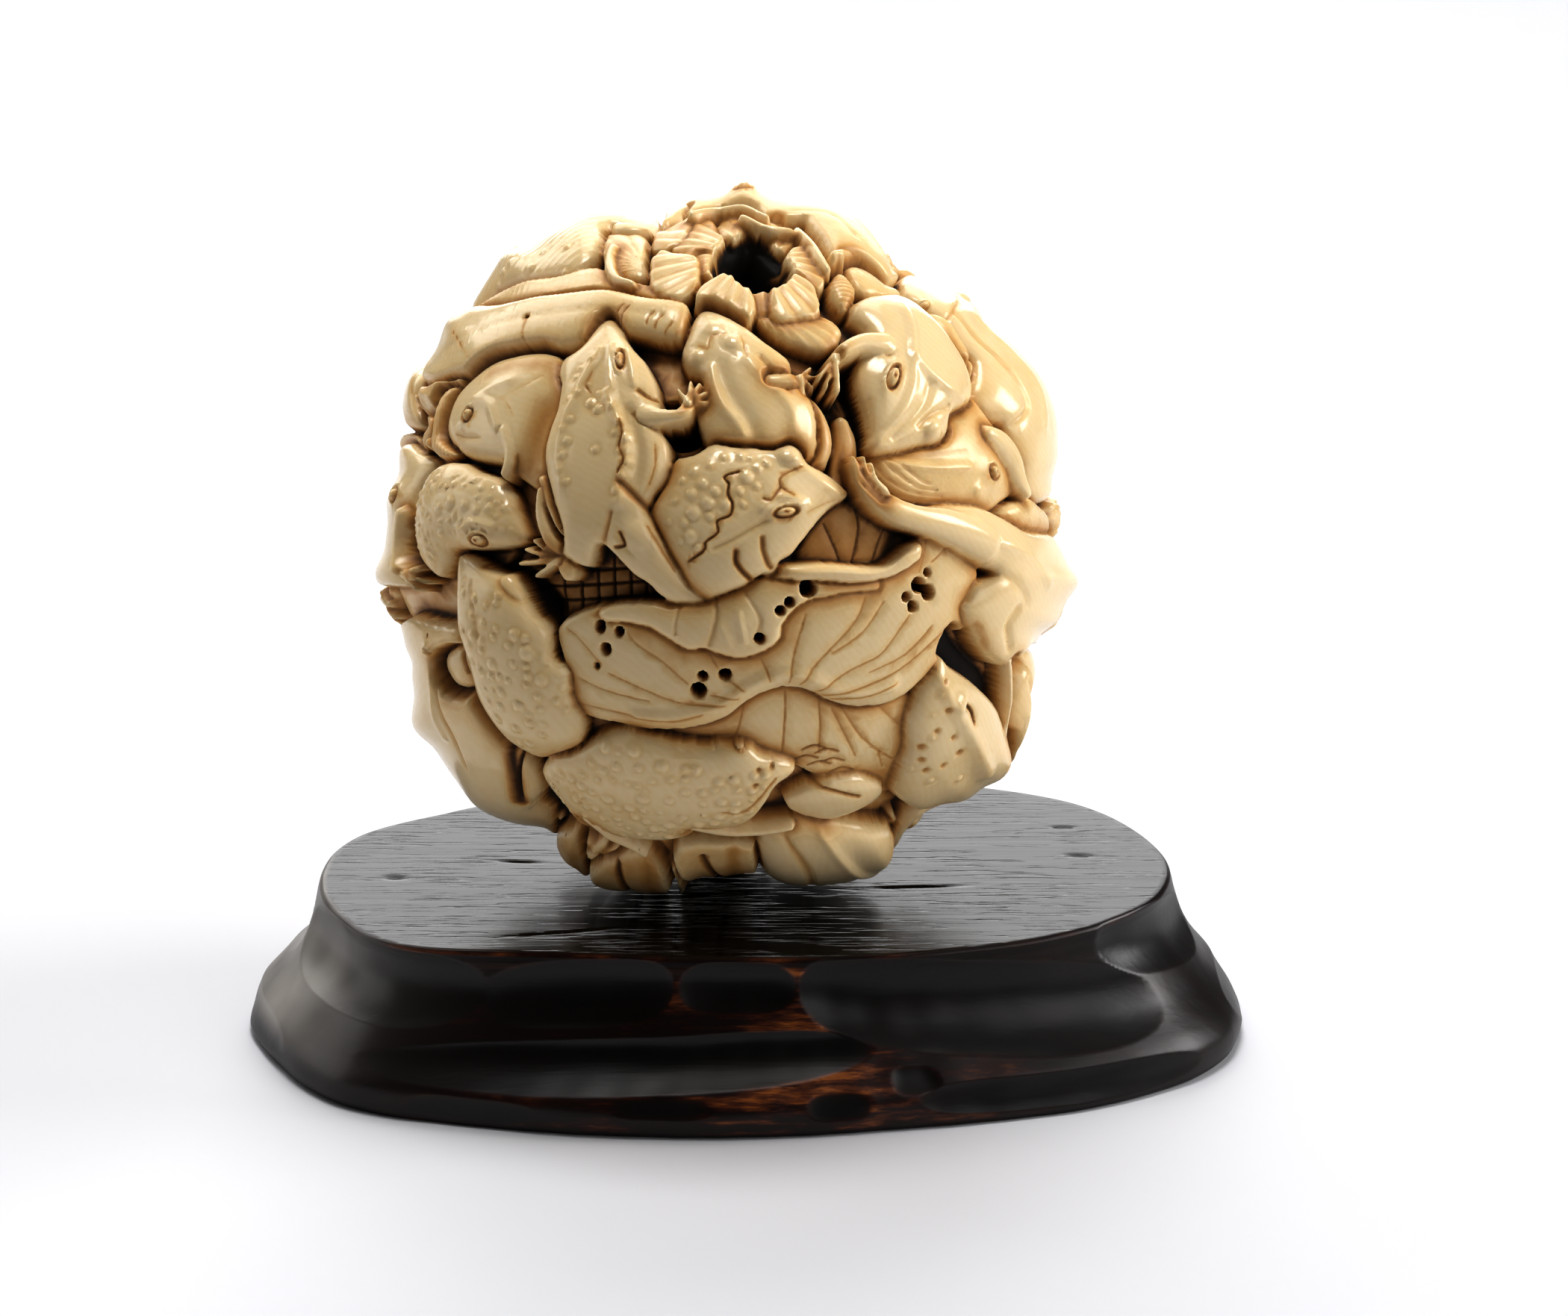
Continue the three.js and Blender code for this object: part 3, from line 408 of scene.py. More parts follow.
    def ribs(self, x, y, spacing, depth=0.12, stain_and_shade=0.3, reach=4.0, turn=None):
        """Fine ribs: waves across a fan that opens from (x, y), spaced so at the distance reach from
        it, or straight ones along the direction turn. Across a wave the height follows half of one
        less its cosine to the power 0.7, so that the ribs are broad and the cuts between them narrow."""
        here = self.local((x, y))[0]

        def mark(at):
            dx, dy = (at - here).T
            if turn is None:
                wave = np.arctan2(dy, dx) * reach / spacing
                fade = smooth_step(0.1, 0.5, np.hypot(dx, dy) / reach)
            else:
                wave = (dy * math.cos(math.radians(turn)) - dx * math.sin(math.radians(turn))) / spacing
                fade = 1.0
            low = (0.5 - 0.5 * np.cos(2 * np.pi * wave)) ** 0.7
            return fade * depth * (low - 0.6), fade * stain_and_shade * (1 - low) ** 3

        self.marks.append(mark)
        return self

    def shade(self, amount):
        """That much stain all over the form: on the dark pockets, gaps and openings it is painted shade."""
        self.marks.append(lambda at: (np.zeros(len(at)), np.full(len(at), amount)))
        return self


class Ball:
    """The ball's surface: a net of directions and the radius, the owner, and the stain with painted
    shade at each.
    """

    def __init__(self, directions):
        """A smooth round, GROUND in radius, in those directions."""
        self.directions = directions
        self.height = np.full(len(directions), GROUND)
        self.owner = np.zeros(len(directions), int)
        self.stain_and_shade = np.zeros(len(directions))
        self.forms = []

    def form(self, outline, edge, top, soft=1.8, chart=FRONT, at=None, wall=MOAT, dark=HALO):
        """A form inside a closed outline. Its height goes from edge to top by 1 - exp(-s / soft), with
        s the swell of the outline. at is the radius that the outline is drawn at, if not the edge."""
        outline = np.asarray(outline, float)
        made = Form(self, chart, chart.to(outline, at or edge), at or edge, PAD)
        ring = curve(made.local(outline), closed=True, steps=3)
        made.ring = ring
        low = ring.min(0) - PAD
        span = ring.max(0) + PAD - low
        cell = max(CELL, span.max() / GRID_CELLS)
        shape = np.ceil(span / cell).astype(int) + 1
        grid = np.stack(np.meshgrid(*(np.arange(n) * cell for n in shape), indexing="ij"), -1) + low
        cells = grid.reshape(-1, 2)
        inside = within(cells, ring)
        gap = away(cells, ring, True)[0]
        signed = np.where(inside, gap, -gap).reshape(shape)
        film = film_over(inside.reshape(shape), cell)
        inward = sample(signed, low, cell, made.xy)
        rise = sample(film, low, cell, made.xy)
        share = (1 - np.exp(-rise / soft)) / (1 - math.exp(-film.max() / soft))
        made.lay(inward, edge + (top - edge) * share, edge, wall, dark)
        made.level = 0.4 * edge + 0.6 * top
        return made

    def limb(self, stations, crest, fall=1.0, chart=FRONT, drop=0.0, join=0.0):
        """A rounded stroke along x, y, half width. Its section is half an ellipse that falls by `fall`
        half widths, and its crest sinks by drop from its first station to its last. Over the first
        share, join, it grows out of what lies there: the higher of the two is kept."""
        stations = np.array(stations, float).reshape(-1, 3)
        made = Form(
            self, chart, chart.to(stations, crest - 0.5), crest - 0.5, stations[:, 2].max() + MOAT_REACH
        )
        path = curve(made.local(stations), steps=4)
        gap, along = away(made.xy, path)
        width = np.interp(along, np.arange(len(path)), path[:, 2])
        share = along / (len(path) - 1)
        u = np.clip(gap / width, 0, 1)
        height = crest - drop * share - fall * width * (1 - np.sqrt(1 - u * u))
        now = self.height[made.at]
        inward = width - gap
        if join:
            kept = (share < join) & ((height < now) | (inward < 0))
            inward = np.where(kept, -MOAT_REACH - 1, inward)
        made.lay(inward, height, crest - drop * share - fall * width)
        made.level = crest - 0.3
        return made

    def cut_marks(self):
        """Cuts each form's marks where that form is still on top."""
        for made in self.forms:
            keep = self.owner[made.at] == made.number
            at = made.at[keep]
            here = made.xy[keep]
            if not len(at):
                continue
            for mark in made.marks:
                rise, stain_and_shade = mark(here)
                self.height[at] += rise
                self.stain_and_shade[at] = np.maximum(self.stain_and_shade[at], stain_and_shade)


def toes(ball, root, tips, width, crest, chart=FRONT):
    """Thin fingers from a root to each tip."""
    for x, y in tips:
        ball.limb([*root, width, x, y, 0.75 * width], crest, chart=chart, drop=0.4)


def rolled_leaves(ball):
    """The two rolled leaves under the upper left toad."""
    upper = ball.form(pairs(-21.1, 18.5, -19, 20, -17.5, 20.5, -15, 21.3, -13, 21.8, -11, 22.3, -9.6, 22.5,
                            -8.5, 21.8, -6, 21.3, -4.8, 20.9, -2.6, 20.1, -4, 19, -9, 19.6, -14, 19.2,
                            -19, 17.6, -21.4, 17.4), 26.8, 28.9, 1.2)
    upper.ridge(-20, 18.9, -15.2, 20.7, -10.3, 21.6, width=0.25, height=0.15)
    upper.ribs(-12, 20, 0.7, 0.05, 0.06, turn=75)
    upper.groove(-13, 20.6, -9, 20.9, -5, 20.4, width=0.6, depth=0.05, stain_and_shade=0.3)
    lower = ball.form(pairs(
        -24.1, 13.1, -24.2, 14, -23.8, 15.2, -23, 16.4, -21.9, 18, -21.2, 18.2, -19.5, 19, -17.2, 19.45, -14,
        20.1, -12, 20.4, -9.1, 20.7, -6, 20.1, -2.7, 19.8, -2.5, 19.2, -3, 17, -4, 16.7, -7.6, 17.2, -12.5,
        16.1, -15, 16, -16.5, 15.9, -18, 15.3, -19.3, 14.2, -21.8, 13.7, -23.4, 12.9
    ), 27.3, 29.5, 1.1)
    lower.hole(-16.3, 19, 0.16, 0.8)
    lower.groove(-22, 17.4, -21.6, 16.4, -21.3, 15.6, width=0.05, depth=0.06, stain_and_shade=0.7)
    lower.groove(-16.3, 18.8, -16.7, 17.6, -16.5, 16.3, width=0.05, depth=0.06, stain_and_shade=0.6)
    for x, y in ((-5.6, 19.6), (-4.9, 19.3), (-4.1, 18.7), (-3.5, 18.2), (-8.2, 20.1), (-7.7, 20)):
        lower.groove(x, y, x - 0.5, y - 0.5, x - 0.7, y - 1, width=0.12, depth=0.12, stain_and_shade=0.5)
    lower.groove(-23, 16, -20, 18, -16, 19, -10, 19.7, -5, 19.2, width=0.3, depth=0.08, stain_and_shade=0.05)
    lower.ribs(-14, 18, 0.55, 0.05, 0.05, turn=72)
    # A band with no cut: painted shade along the underside of the lower roll
    lower.groove(-23.4, 13.7, -20, 14.6, -17, 15.9, -12, 16.6, width=0.5, depth=0, stain_and_shade=0.35)


def upper_left_creatures(ball):
    """Small frogs on the left limb, the ribbed petal, the hiding frog and the top left toad."""
    back = ball.form(pairs(
        -21.8, 20.1, -22.8, 19.7, -23.6, 19, -24.7, 18.2, -25.8, 17, -27, 15.6, -28, 14, -28.6, 12.6, -28.9,
        11.2, -28.4, 10, -26.9, 9.6, -25.4, 9.9, -25.2, 11, -24.8, 12.4, -24.2, 13.6, -24.3, 15, -24, 16,
        -23.3, 16.9, -22, 18, -21, 19
    ), 27.6, 29.9, 1.6)
    back.eye(-22.4, 19.5, 0.35, 0.25).groove(
        -25.4, 15.6, -26.2, 13, -26.3, 10.6, width=0.25, depth=0.1, stain_and_shade=0.3
    )
    back.groove(-26.2, 10.6, -25.6, 12, -25, 13.2, width=0.5, depth=0, stain_and_shade=0.5)
    ball.form(pairs(
        -29, 8.8, -28.2, 9.7, -26.5, 9.5, -25.5, 9, -25.3, 8.2, -26.6, 7.7, -28, 6.6, -29.2, 7.2
    ), 27.4, 29.2, 1.4).groove(-26.4, 9, -25.8, 8.4, -26.6, 8, width=0.5, depth=0.1, stain_and_shade=0.6)
    petal = ball.form(pairs(
        -23.6, 13.2, -22.7, 13.6, -22.3, 12.3, -22.2, 11.2, -22.7, 9.8, -22.7, 8.4, -23.3, 7.3, -24.3, 7.3,
        -25.1, 8.2, -24.9, 10, -24.4, 11.8
    ), 27.4, 28.7, 1, at=28.4)
    petal.ribs(-23.4, 10, 0.5, 0.16, 0.35, turn=80)
    face = ball.form(pairs(
        -22.7, 9, -22.1, 11.1, -21.6, 12.2, -20.6, 13.4, -18.5, 14.9, -17, 15.4, -13.2, 15.5, -12.4, 13,
        -12.6, 10, -13, 7, -13.6, 4, -15.6, 4.5, -17, 5.5, -18, 6.4, -19, 6.6, -20.9, 6.9, -21.8, 7.7, -22.5,
        8.4
    ), 26.8, 28.9, 2.2)
    # A band with no cut: painted shade on the face under the rolled leaf
    face.groove(-19.5, 14.2, -17, 15, -14, 15, width=0.8, depth=0, stain_and_shade=0.25)
    face.eye(-21.1, 10.7, 0.62, 0.5, 35, 0.25)
    face.ridge(-21, 11.8, -19.6, 12.8, -17.6, 13.6, width=0.6, height=0.2)
    face.ridge(-20.4, 12, -19.4, 11.6, -18.7, 9.6, width=0.5, height=0.25)
    face.groove(-22.4, 9.2, -21.4, 8.9, -20.4, 8.9, width=0.09, depth=0.1, stain_and_shade=0.35)
    face.groove(-18.5, 12.2, -17.8, 11.6, -17.4, 10.6, width=0.04, depth=0.03, stain_and_shade=0.5)
    face.groove(-18.4, 12.1, -16.4, 13.2, -14.8, 14.2, width=0.04, depth=0.03, stain_and_shade=0.4)
    face.groove(-16.4, 6.4, -15.6, 8.6, -14.8, 11, width=1.4, depth=0.3, stain_and_shade=0.3)
    ball.limb([-18.6, 9.6, 0.9, -18.2, 8.2, 0.66, -18.3, 6.8, 0.55, -18.7, 5.8, 0.5], 29.1, join=0.5)
    toad = ball.form(pairs(
        -21.5, 20.4, -20.2, 22.3, -19.4, 24.2, -18.9, 25.4, -18, 26.3, -16.5, 26.9, -14.5, 28, -12, 29.3,
        -10, 29.8, -8, 29.6, -5.6, 28.6, -5.4, 26.2, -8.9, 25.8, -10, 24, -12, 22.4, -14, 21.9, -16, 21.3,
        -18, 20.5, -19.5, 19.6, -20.5, 19, -21.2, 19.7
    ), 27.4, 30.2, 5)
    toad.bump(-17.9, 25.1, 1.3, 0.5).eye(-18.6, 24.2, 0.4, 0.3)
    toad.warts(
        -19, 22, 0.5, -18.2, 22.7, 0.5, -17.4, 23.2, 0.55, -16.2, 23.3, 0.6, -15, 22.9, 0.5, -13.8, 23.6,
        0.6, -12.5, 23.9, 0.55, -11.6, 24.3, 0.5, -14.8, 24.4, 0.5, -13, 25, 0.5, -17, 24.6, 0.45
    )
    toad.ribs(-14, 26.5, 0.9, 0.07, 0.06, turn=14)
    # Painted shade along the toad's belly over the rolled leaf, with a shallow cut
    toad.groove(-20.4, 20.2, -17, 21.6, -13.4, 22.7, -11, 23.6, -9.6, 25, width=0.75, depth=0.1, stain_and_shade=0.42)
    toad.groove(-12, 23.1, -10.8, 23.8, -9.6, 24.8, width=0.5, depth=0.2, stain_and_shade=0.65)


def left_creatures(ball):
    """The frog in profile on the left limb and the toad beside it."""
    ball.form(pairs(
        -29.4, -0.8, -30.4, -2.6, -30, -4.4, -29, -7, -27.5, -8.2, -26.2, -7.5, -26.9, -6, -27.6, -4.5, -28,
        -2
    ), 26.2, 29.4, 1.4)
    petal = ball.form(pairs(-28, -7.8, -26.3, -7.6, -26.1, -10.9, -27.6, -11), 26, 28.2, 1)
    petal.ribs(-26.9, -9, 0.4, 0.14, 0.4, turn=88)
    frog = ball.form(pairs(
        -25.6, 8.45, -26.8, 7.9, -28.2, 6.2, -29.6, 4.6, -30, 2, -30.1, -0.2, -30, -2, -28.8, -3.2, -26.4,
        -3.6, -25.6, -3.4, -26, -1, -25.1, 1.5, -25, 3, -24.8, 4.4, -23.9, 6.5, -24.9, 7.7
    ), 26.8, 29.8, 5)
    frog.eye(-27.6, 4.1, 0.65, 0.6, 0, 0.3)
    frog.groove(-25.6, 3.5, -26.2, 1.2, -27, -1, width=0.28, depth=0.4, stain_and_shade=0.8)
    ball.limb([-28, 2.4, 0.8, -28.2, 0, 0.75, -27.8, -2.2, 0.6, -26.9, -3, 0.5], 29.9)
    toes(ball, (-27, -2.6), ((-25.4, -1.3), (-25.3, -2), (-25.6, -3.6), (-26.2, -4.2)), 0.28, 29.4)
    toad = ball.form(pairs(
        -23.9, 5.9, -23.4, 6.3, -21.3, 6.75, -20, 6, -18.3, 5.4, -17.7, 4.6, -17.2, 3.6, -16.9, 2.4, -16.3,
        0.8, -16.3, 0, -17.8, -0.5, -20.2, -0.7, -22, -0.9, -22.4, -1.7, -23.5, -3.1, -24, -2.4, -24.8, -1.3,
        -25.1, 0.5, -25.1, 2, -24.8, 3.3, -24.2, 5.2
    ), 27.1, 29.9, 5)
    toad.eye(-20.6, 0.2, 0.85, 0.5, 0, 0.35)
    toad.ridge(-22, 1, -20.8, 1.75, -19.5, 1.3, width=0.3, height=0.3)
    toad.warts(-21, 5.5, 0.45, -20.4, 4.7, 0.35, -22.6, 5.6, 0.3, -22.6, 3.4, 0.6, -23.5, 2.9, 0.55,
               -24.3, 2, 0.35, -22.8, 1.8, 0.35, -21.5, 3.2, 0.5, -20.6, 2.8, 0.4, -18.6, 3.1, 0.5,
               -24.3, 0.8, 0.3, -24.6, -0.2, 0.3, fill=0.95, size=0.33, seed=5)


def lotus_leaf(ball):
    """The worm-holed leaf over the lower front, its turned-down rim and its inside, painted dark as shade.
    """
    # Under the leaf: the broad band and the stain all over are painted shade
    cavity = ball.form(pairs(-18, -5, -16.5, -0.6, -9, 1, -3, -2, -2.4, -6, -10, -8, -15, -7), 25.4, 26.2, 1)
    for x in (-13.4, -11.9, -10.5, -9.1, -7.7, -6.4):
        cavity.groove(x, -0.6, x + 0.2, -6, width=0.13, depth=0.25, stain_and_shade=0.9)
    for y in (-2.2, -3.4, -4.6):
        cavity.groove(-16, y - 0.4, -4, y + 0.3, width=0.13, depth=0.25, stain_and_shade=0.9)
    cavity.groove(-17, -2.6, -15.4, -3.8, -14, -5.4, width=1.1, depth=0.8, stain_and_shade=1).shade(0.42)
    # The inner leaf takes stain all over, and its right end is painted dark as shade
    inner = ball.form(pairs(
        6, -2.6, 8.2, 2.4, 12.4, 4.4, 14.7, 3, 17, 1, 15, -1.8, 13.5, -2.6
    ), 26, 27.2, 1.2)
    inner.shade(0.26).groove(14.6, 2.4, 15, 1, 14.4, -1, width=0.9, depth=0.4, stain_and_shade=0.8)
    for line in (
        (8.8, 1.6, 9.5, 0, 10.2, -1.8), (11.3, 3.2, 11.7, 1.4, 11.1, -1.8), (14.2, 2, 13.4, 0, 12.9, -1.7)
    ):
        inner.groove(*line, width=0.11, depth=0.12, stain_and_shade=0.75)
    lower = ball.form(pairs(
        -12.6, -13.6, -8, -14.2, 0, -13.8, 5, -11.2, 12, -12.6, 16, -12.4, 15.8, -16, 15.2, -19, 13.6, -20.6,
        10, -20.3, 7, -19, 5, -18, 0, -17.2, -6, -16.8, -11, -16
    ), 26, 27.6, 1.6)
    for line in ((5.5, -12.6, 5.4, -15, 5.2, -17.8), (8.3, -13.4, 8.4, -15.5, 8.3, -17.5),
                 (10, -13.6, 12, -16.5, 14.5, -18.3), (13, -13.5, 15, -15.3), (2, -13.6, 1.6, -15.5, 1, -17),
                 (13.3, -17.6, 13.7, -19), (9.4, -14, 10.4, -16, 11.4, -18), (-5, -15.6, -3.4, -16.4)):
        lower.groove(*line, width=0.09, depth=0.07, stain_and_shade=0.5)
    for x, y in ((7.2, -18.2), (8.3, -18.7), (9.4, -18.4), (10.2, -19.2), (8.9, -17.6), (7.8, -17.3)):
        lower.groove(x - 0.9, y - 0.2, x, y + 0.2, x + 1, y, width=0.11, depth=0.15, stain_and_shade=0.6)
    leaf = ball.form(pairs(
        -13.6, -7, -12.8, -10, -12.6, -13.4, -8, -15.1, -4, -15.5, 0, -14.8, 2.5, -13, 5, -12, 7, -12.2, 9,
        -13.2, 11, -13.7, 13, -13.5, 15, -12.8, 17, -11, 18.6, -9.4, 20, -7.4, 21, -4.6, 21.2, -2, 20, 0.4,
        17.5, 1.2, 15.8, 0.2, 13, -1.8, 8, -1.6, 4, -2.6, 0, -4, -5, -4.8, -10, -5.2
    ), 26.7, 28.3, 1.3)
    for line in (
        (4.2, -11.7, 3.9, -10.8, 3.4, -9.8), (5.8, -11.8, 6.3, -9, 7.2, -6),
        (6.7, -12, 8.5, -9.8, 11.5, -6.5, 12.3, -4.5), (8, -12.7, 11, -10.8, 13.5, -9.5, 15, -7.5, 16, -6),
        (8.5, -13, 12, -12.2, 15, -10.8, 18, -8.2, 19.3, -7), (9.3, -13.3, 12.5, -12.9, 14.8, -11.8),
        (2, -12.5, 0.3, -11.3, -1.2, -9), (1.5, -13.2, -0.9, -12.9),
        (0.5, -13.7, -3.5, -13.5, -6.5, -12.4, -9.5, -11),
        (-2.7, -12, -5, -10, -7.2, -8.5, -8.4, -6.8, -9, -6), (-1.5, -14.4, -4, -15, -9, -14.3, -12, -13.6),
        (-10, -10.3, -12, -8, -13, -7.2), (17.5, 0.6, 17.2, -1, 16.8, -2.5), (19.2, -0.3, 17.8, -1.7),
        (12.6, -11, 15.6, -9.4, 17.8, -7), (9.4, -9.4, 12, -7.6, 13.8, -5),
        (-6, -13.4, -9.4, -12.6, -12, -11.4)
    ):
        leaf.groove(*line, width=0.09, depth=0.07, stain_and_shade=0.46)
    leaf.ridge(
        -7, -14.6, -4, -14.7, -0.4, -13.9, 2.4, -12.2, 5, -11.2, 7.4, -11.5, 9.4, -12.4, 12, -12.7, 14.4,
        -12, width=0.7, height=0.35
    )
    for x, y, size in ((-10.2, -7.15, 0.72), (-8.6, -7.55, 0.56), (-9.7, -9, 0.68), (-1.85, -12.5, 0.74),
                       (-1.5, -11.3, 0.46), (0.4, -11.2, 0.56), (17.45, -2.5, 0.42), (16.7, -3.6, 0.76),
                       (17.5, -4.2, 0.76), (15.7, -4.6, 0.46), (16.2, -5.4, 0.52)):
        leaf.hole(x, y, size)
    leaf.hole(-10.4, -10.4, 0.35, 0.3)
    flap = ball.form(pairs(
        -10.4, -6, -9.4, -5.3, -5.5, -5.1, -4.4, -5.4, -1.3, -5.05, 2.1, -3.8, 3.5, -2.9, 4.6, -2.7, 5.8,
        -2.6, 9, -2.9, 11, -3, 13.5, -3.2, 13.5, -4, 11, -4.2, 8.9, -4.6, 7.7, -4.8, 6.6, -5.3, 5.9, -6, 5.1,
        -7.1, 5.1, -8, 4.3, -8.8, 3.2, -9.4, 2.1, -9.7, 0.9, -9.7, -0.4, -9.3, -1.2, -9, -2.95, -9, -4, -8.4,
        -5, -7.8, -6, -7.2, -8, -6.8, -10, -6.6
    ), 27.8, 29.1, 0.9)
    flap.groove(-0.4, -5, -0.3, -6, -0.5, -7.2, -1, -8.8, width=0.22, depth=0.25, stain_and_shade=0.16)
    flap.groove(-3.5, -5.6, -3.8, -6.6, -3.9, -7.8, width=0.18, depth=0.2, stain_and_shade=0.12)
    flap.groove(2.2, -4.4, 3, -5.6, 3.4, -6.6, 3, -8.2, width=0.2, depth=0.2, stain_and_shade=0.14)
    flap.ridge(0, -7, 0.8, -8.7, width=0.3, height=0.2).ridge(1.5, -6, 2, -8.4, width=0.3, height=0.2)
    for x, y, size in (
        (7.5, -3.95, 0.74), (5.9, -5.1, 0.44), (5.1, -5.8, 0.42), (3.35, -8.2, 0.45), (5.8, -7.1, 0.2)
    ):
        flap.hole(x, y, size)
    rim = ball.form(pairs(
        3.6, -2.7, 5.1, -1.85, 7.5, -1.65, 10.1, -1.8, 13.1, -2, 14.1, -1.8, 14.8, -1.2, 15.4, -0.7, 16,
        -0.2, 16.9, 0, 16.9, -1.2, 16.1, -2, 14.2, -3, 11, -3.4, 8.4, -3.2, 6.4, -3.2
    ), 28, 29.3, 0.8)
    rim.ridge(6, -2.6, 10, -2.5, 13.6, -2.5, 16, -1, width=0.3, height=0.15)


def middle_creatures(ball):
    """The smooth frog under the flower and the big warty toad in the middle."""
    # The gap is painted dark as shade, and the three limbs in it take light stain and painted shade
    gap = ball.form(pairs(7.4, 13, 9, 13.4, 11, 13, 12.4, 12, 12.4, 9, 11.4, 7, 10, 8, 8, 11), 25, 25.6, 1)
    gap.shade(0.7)
    for stations, crest in (([10.1, 4.6, 1.1, 10.6, 6.6, 1.4, 10.8, 8.6, 1.2, 10.4, 10.2, 0.8], 27.6),
                            ([6.8, 12.2, 1.3, 8, 10.6, 1.4, 8.6, 8.6, 1.3, 8.4, 7, 1], 28.3),
                            ([9, 12.6, 0.8, 9.9, 11.6, 0.9, 10.4, 10.8, 0.7], 26)):
        ball.limb(stations, crest, 0.9).shade(0.16)
    # A hollow painted dark as shade
    hollow = ball.form(pairs(
        -4.4, 10.4, -3.6, 10.8, -2, 10.4, -1.4, 8.8, -1.8, 8, -3, 7.6, -4.6, 8.2
    ), 24.4, 24.8, 0.6)
    hollow.shade(0.9)
    frog = ball.form(pairs(
        -1.35, 19.7, -2, 19.2, -2.5, 18.4, -2.7, 17.6, -3.3, 16.2, -3.3, 15.5, -2.65, 14.2, -1.9, 13.9, -1.5,
        13.2, -2.1, 11.1, -2, 10.2, -1.4, 8.5, 0, 6, 4, 6, 7, 6.4, 8, 7.4, 8.1, 9.6, 7.9, 11, 7.3, 12.4, 6.2,
        13, 5.9, 15.1, 4, 16.5, 3, 17.2, 2, 18, 0, 19.2
    ), 27.3, 29.7, 4.5)
    frog.ridge(
        -0.9, 14.8, -0.7, 13.5, -0.3, 12.4, 0.3, 11.3, 1.2, 10.2, 1.8, 9.2, 2.1, 8.3, width=0.5, height=0.3
    )
    frog.groove(0, 15, 0.6, 13.2, 1.4, 11.8, 2.4, 10.4, 3, 8.6, width=0.6, depth=0.18, stain_and_shade=0.02)
    frog.ridge(2.4, 15.3, 3.2, 14.2, 4.4, 13.1, 5.4, 12.1, 6, 11.2, 6.3, 9.5, width=0.5, height=0.2)
    frog.groove(3.4, 15.6, 4.8, 13.9, 6, 12.8, width=0.3, depth=0.25, stain_and_shade=0.2)
    frog.bump(-2.3, 15.9, 0.8, 0.3).bump(1.1, 16.9, 0.9, 0.3).bump(-0.8, 18.4, 1.1, 0.2)
    frog.groove(1.7, 17.4, 2, 16.4, 2.2, 15.6, width=0.09, depth=0.1, stain_and_shade=0.3)
    frog.groove(-1.9, 16.9, -1.1, 16.4, -0.8, 17.5, 0.4, 17.7, width=0.05, depth=0.06, stain_and_shade=0.6)
    ball.limb([4.4, 13.9, 0.7, 5.8, 13.9, 0.75, 6.9, 14.1, 0.6], 29.1)
    toes(ball, (6.8, 14.2), ((7.8, 15.1), (8.2, 14.3), (8, 13.4), (7.2, 12.9)), 0.34, 28.9)
    toad = ball.form(pairs(
        -3.9, 7.1, -2.4, 7.4, -1.5, 7.9, -0.6, 8.4, 0.15, 8.3, 1, 8.1, 3.5, 7.9, 4.4, 7.85, 5.2, 8.1, 5.8,
        8.35, 6.5, 8, 7, 7.45, 7.2, 6.8, 8.1, 6.3, 9.15, 5.75, 10, 5.1, 11, 4.15, 10.7, 3.7, 9.7, 3.1, 8.9,
        2.4, 8.1, 1.5, 7.4, 0.6, 6.6, -0.4, 5.9, -1.2, 4.9, -1.8, 4.6, -2.6, 3.5, -2.8, 2.7, -3.25, 2.1,
        -3.7, 1, -4.1, 0, -4.5, -1.3, -4.95, -2.1, -4.4, -2.8, -3.7, -3.4, -2.5, -4.1, -1.3, -4.7, -0.15,
        -5.3, 0.9, -5.9, 2.1, -5.9, 3, -5.3, 4, -4.6, 5.1, -4.2, 6.2
    ), 27.7, 30.1, 4.5)
    toad.eye(5.5, 2.6, 0.95, 0.42, 12, 0.3)
    toad.groove(3.6, 3.7, 4.1, 3.5, 5, 4.6, width=0.1, depth=0.14, stain_and_shade=0.6)
    toad.ridge(3.6, 2.9, 4.6, 3.8, 5.8, 3.9, 7, 3.3, width=0.4, height=0.3)
    toad.ridge(6.4, 7, 8.4, 5.5, 10.4, 4.2, width=0.5, height=0.2)
    toad.bump(5.9, 7.6, 1.2, 0.6)
    toad.groove(
        1.6, 6, 0.3, 5.5, 0.7, 4.9, 0.6, 4.1, 1, 3.2, 0.8, 2.3, -0.3, 1.8, -0.2, 0.9, -1.3, 0, -1.3, -0.5,
        -2.7, -1.6, width=0.08, depth=0.22, stain_and_shade=0.9
    )
    toad.groove(7, 6.5, 6, 6.1, 5, 5.4, 5.1, 4.7, 6.2, 4, width=0.07, depth=0.1, stain_and_shade=0.7)
    toad.groove(10.4, 3.9, 8.6, 3.2, 7.4, 2.6, width=0.12, depth=0.1, stain_and_shade=0.2)
    toad.groove(3.8, 1.9, 2.2, 1, 1, 0.3, -0.5, -0.4, width=0.3, depth=0.2, stain_and_shade=0.12)
    toad.groove(1.3, -0.75, 1.3, -1.6, 1.8, -2.4, 2.6, -3.2, width=0.22, depth=0.45, stain_and_shade=0.6)
    toad.groove(3.5, 0.4, 3.6, -0.6, 4.1, -1.85, 4.4, -2.2, width=0.2, depth=0.3, stain_and_shade=0.5)
    toad.warts(
        -2.3, 6.1, 0.5, -0.9, 6.6, 0.4, -1.5, 5, 0.5, -0.5, 4.3, 0.5, -1.1, 3.4, 0.6, -2.5, 4.1, 0.5, -3.3,
        5.3, 0.4, -2.3, 2.5, 0.6, -2.5, 0.5, 0.6, -3.1, 1.7, 0.4, 0.4, 3.2, 0.5, 2.2, 5.5, 0.6, 1.8, 7.4,
        0.5, 3.2, 6.3, 0.4, 3, 4.8, 0.4, 0.3, 7.3, 0.4, 4, 6.7, 0.4, -1.9, -0.4, 0.4, 1.6, 4.3, 0.4, -3.9,
        3.6, 0.4, -4.4, 1.8, 0.35, -3.4, 0.2, 0.35, -0.9, 2.2, 0.4, 1.9, 3.2, 0.35, 2.6, 7.2, 0.35
    )


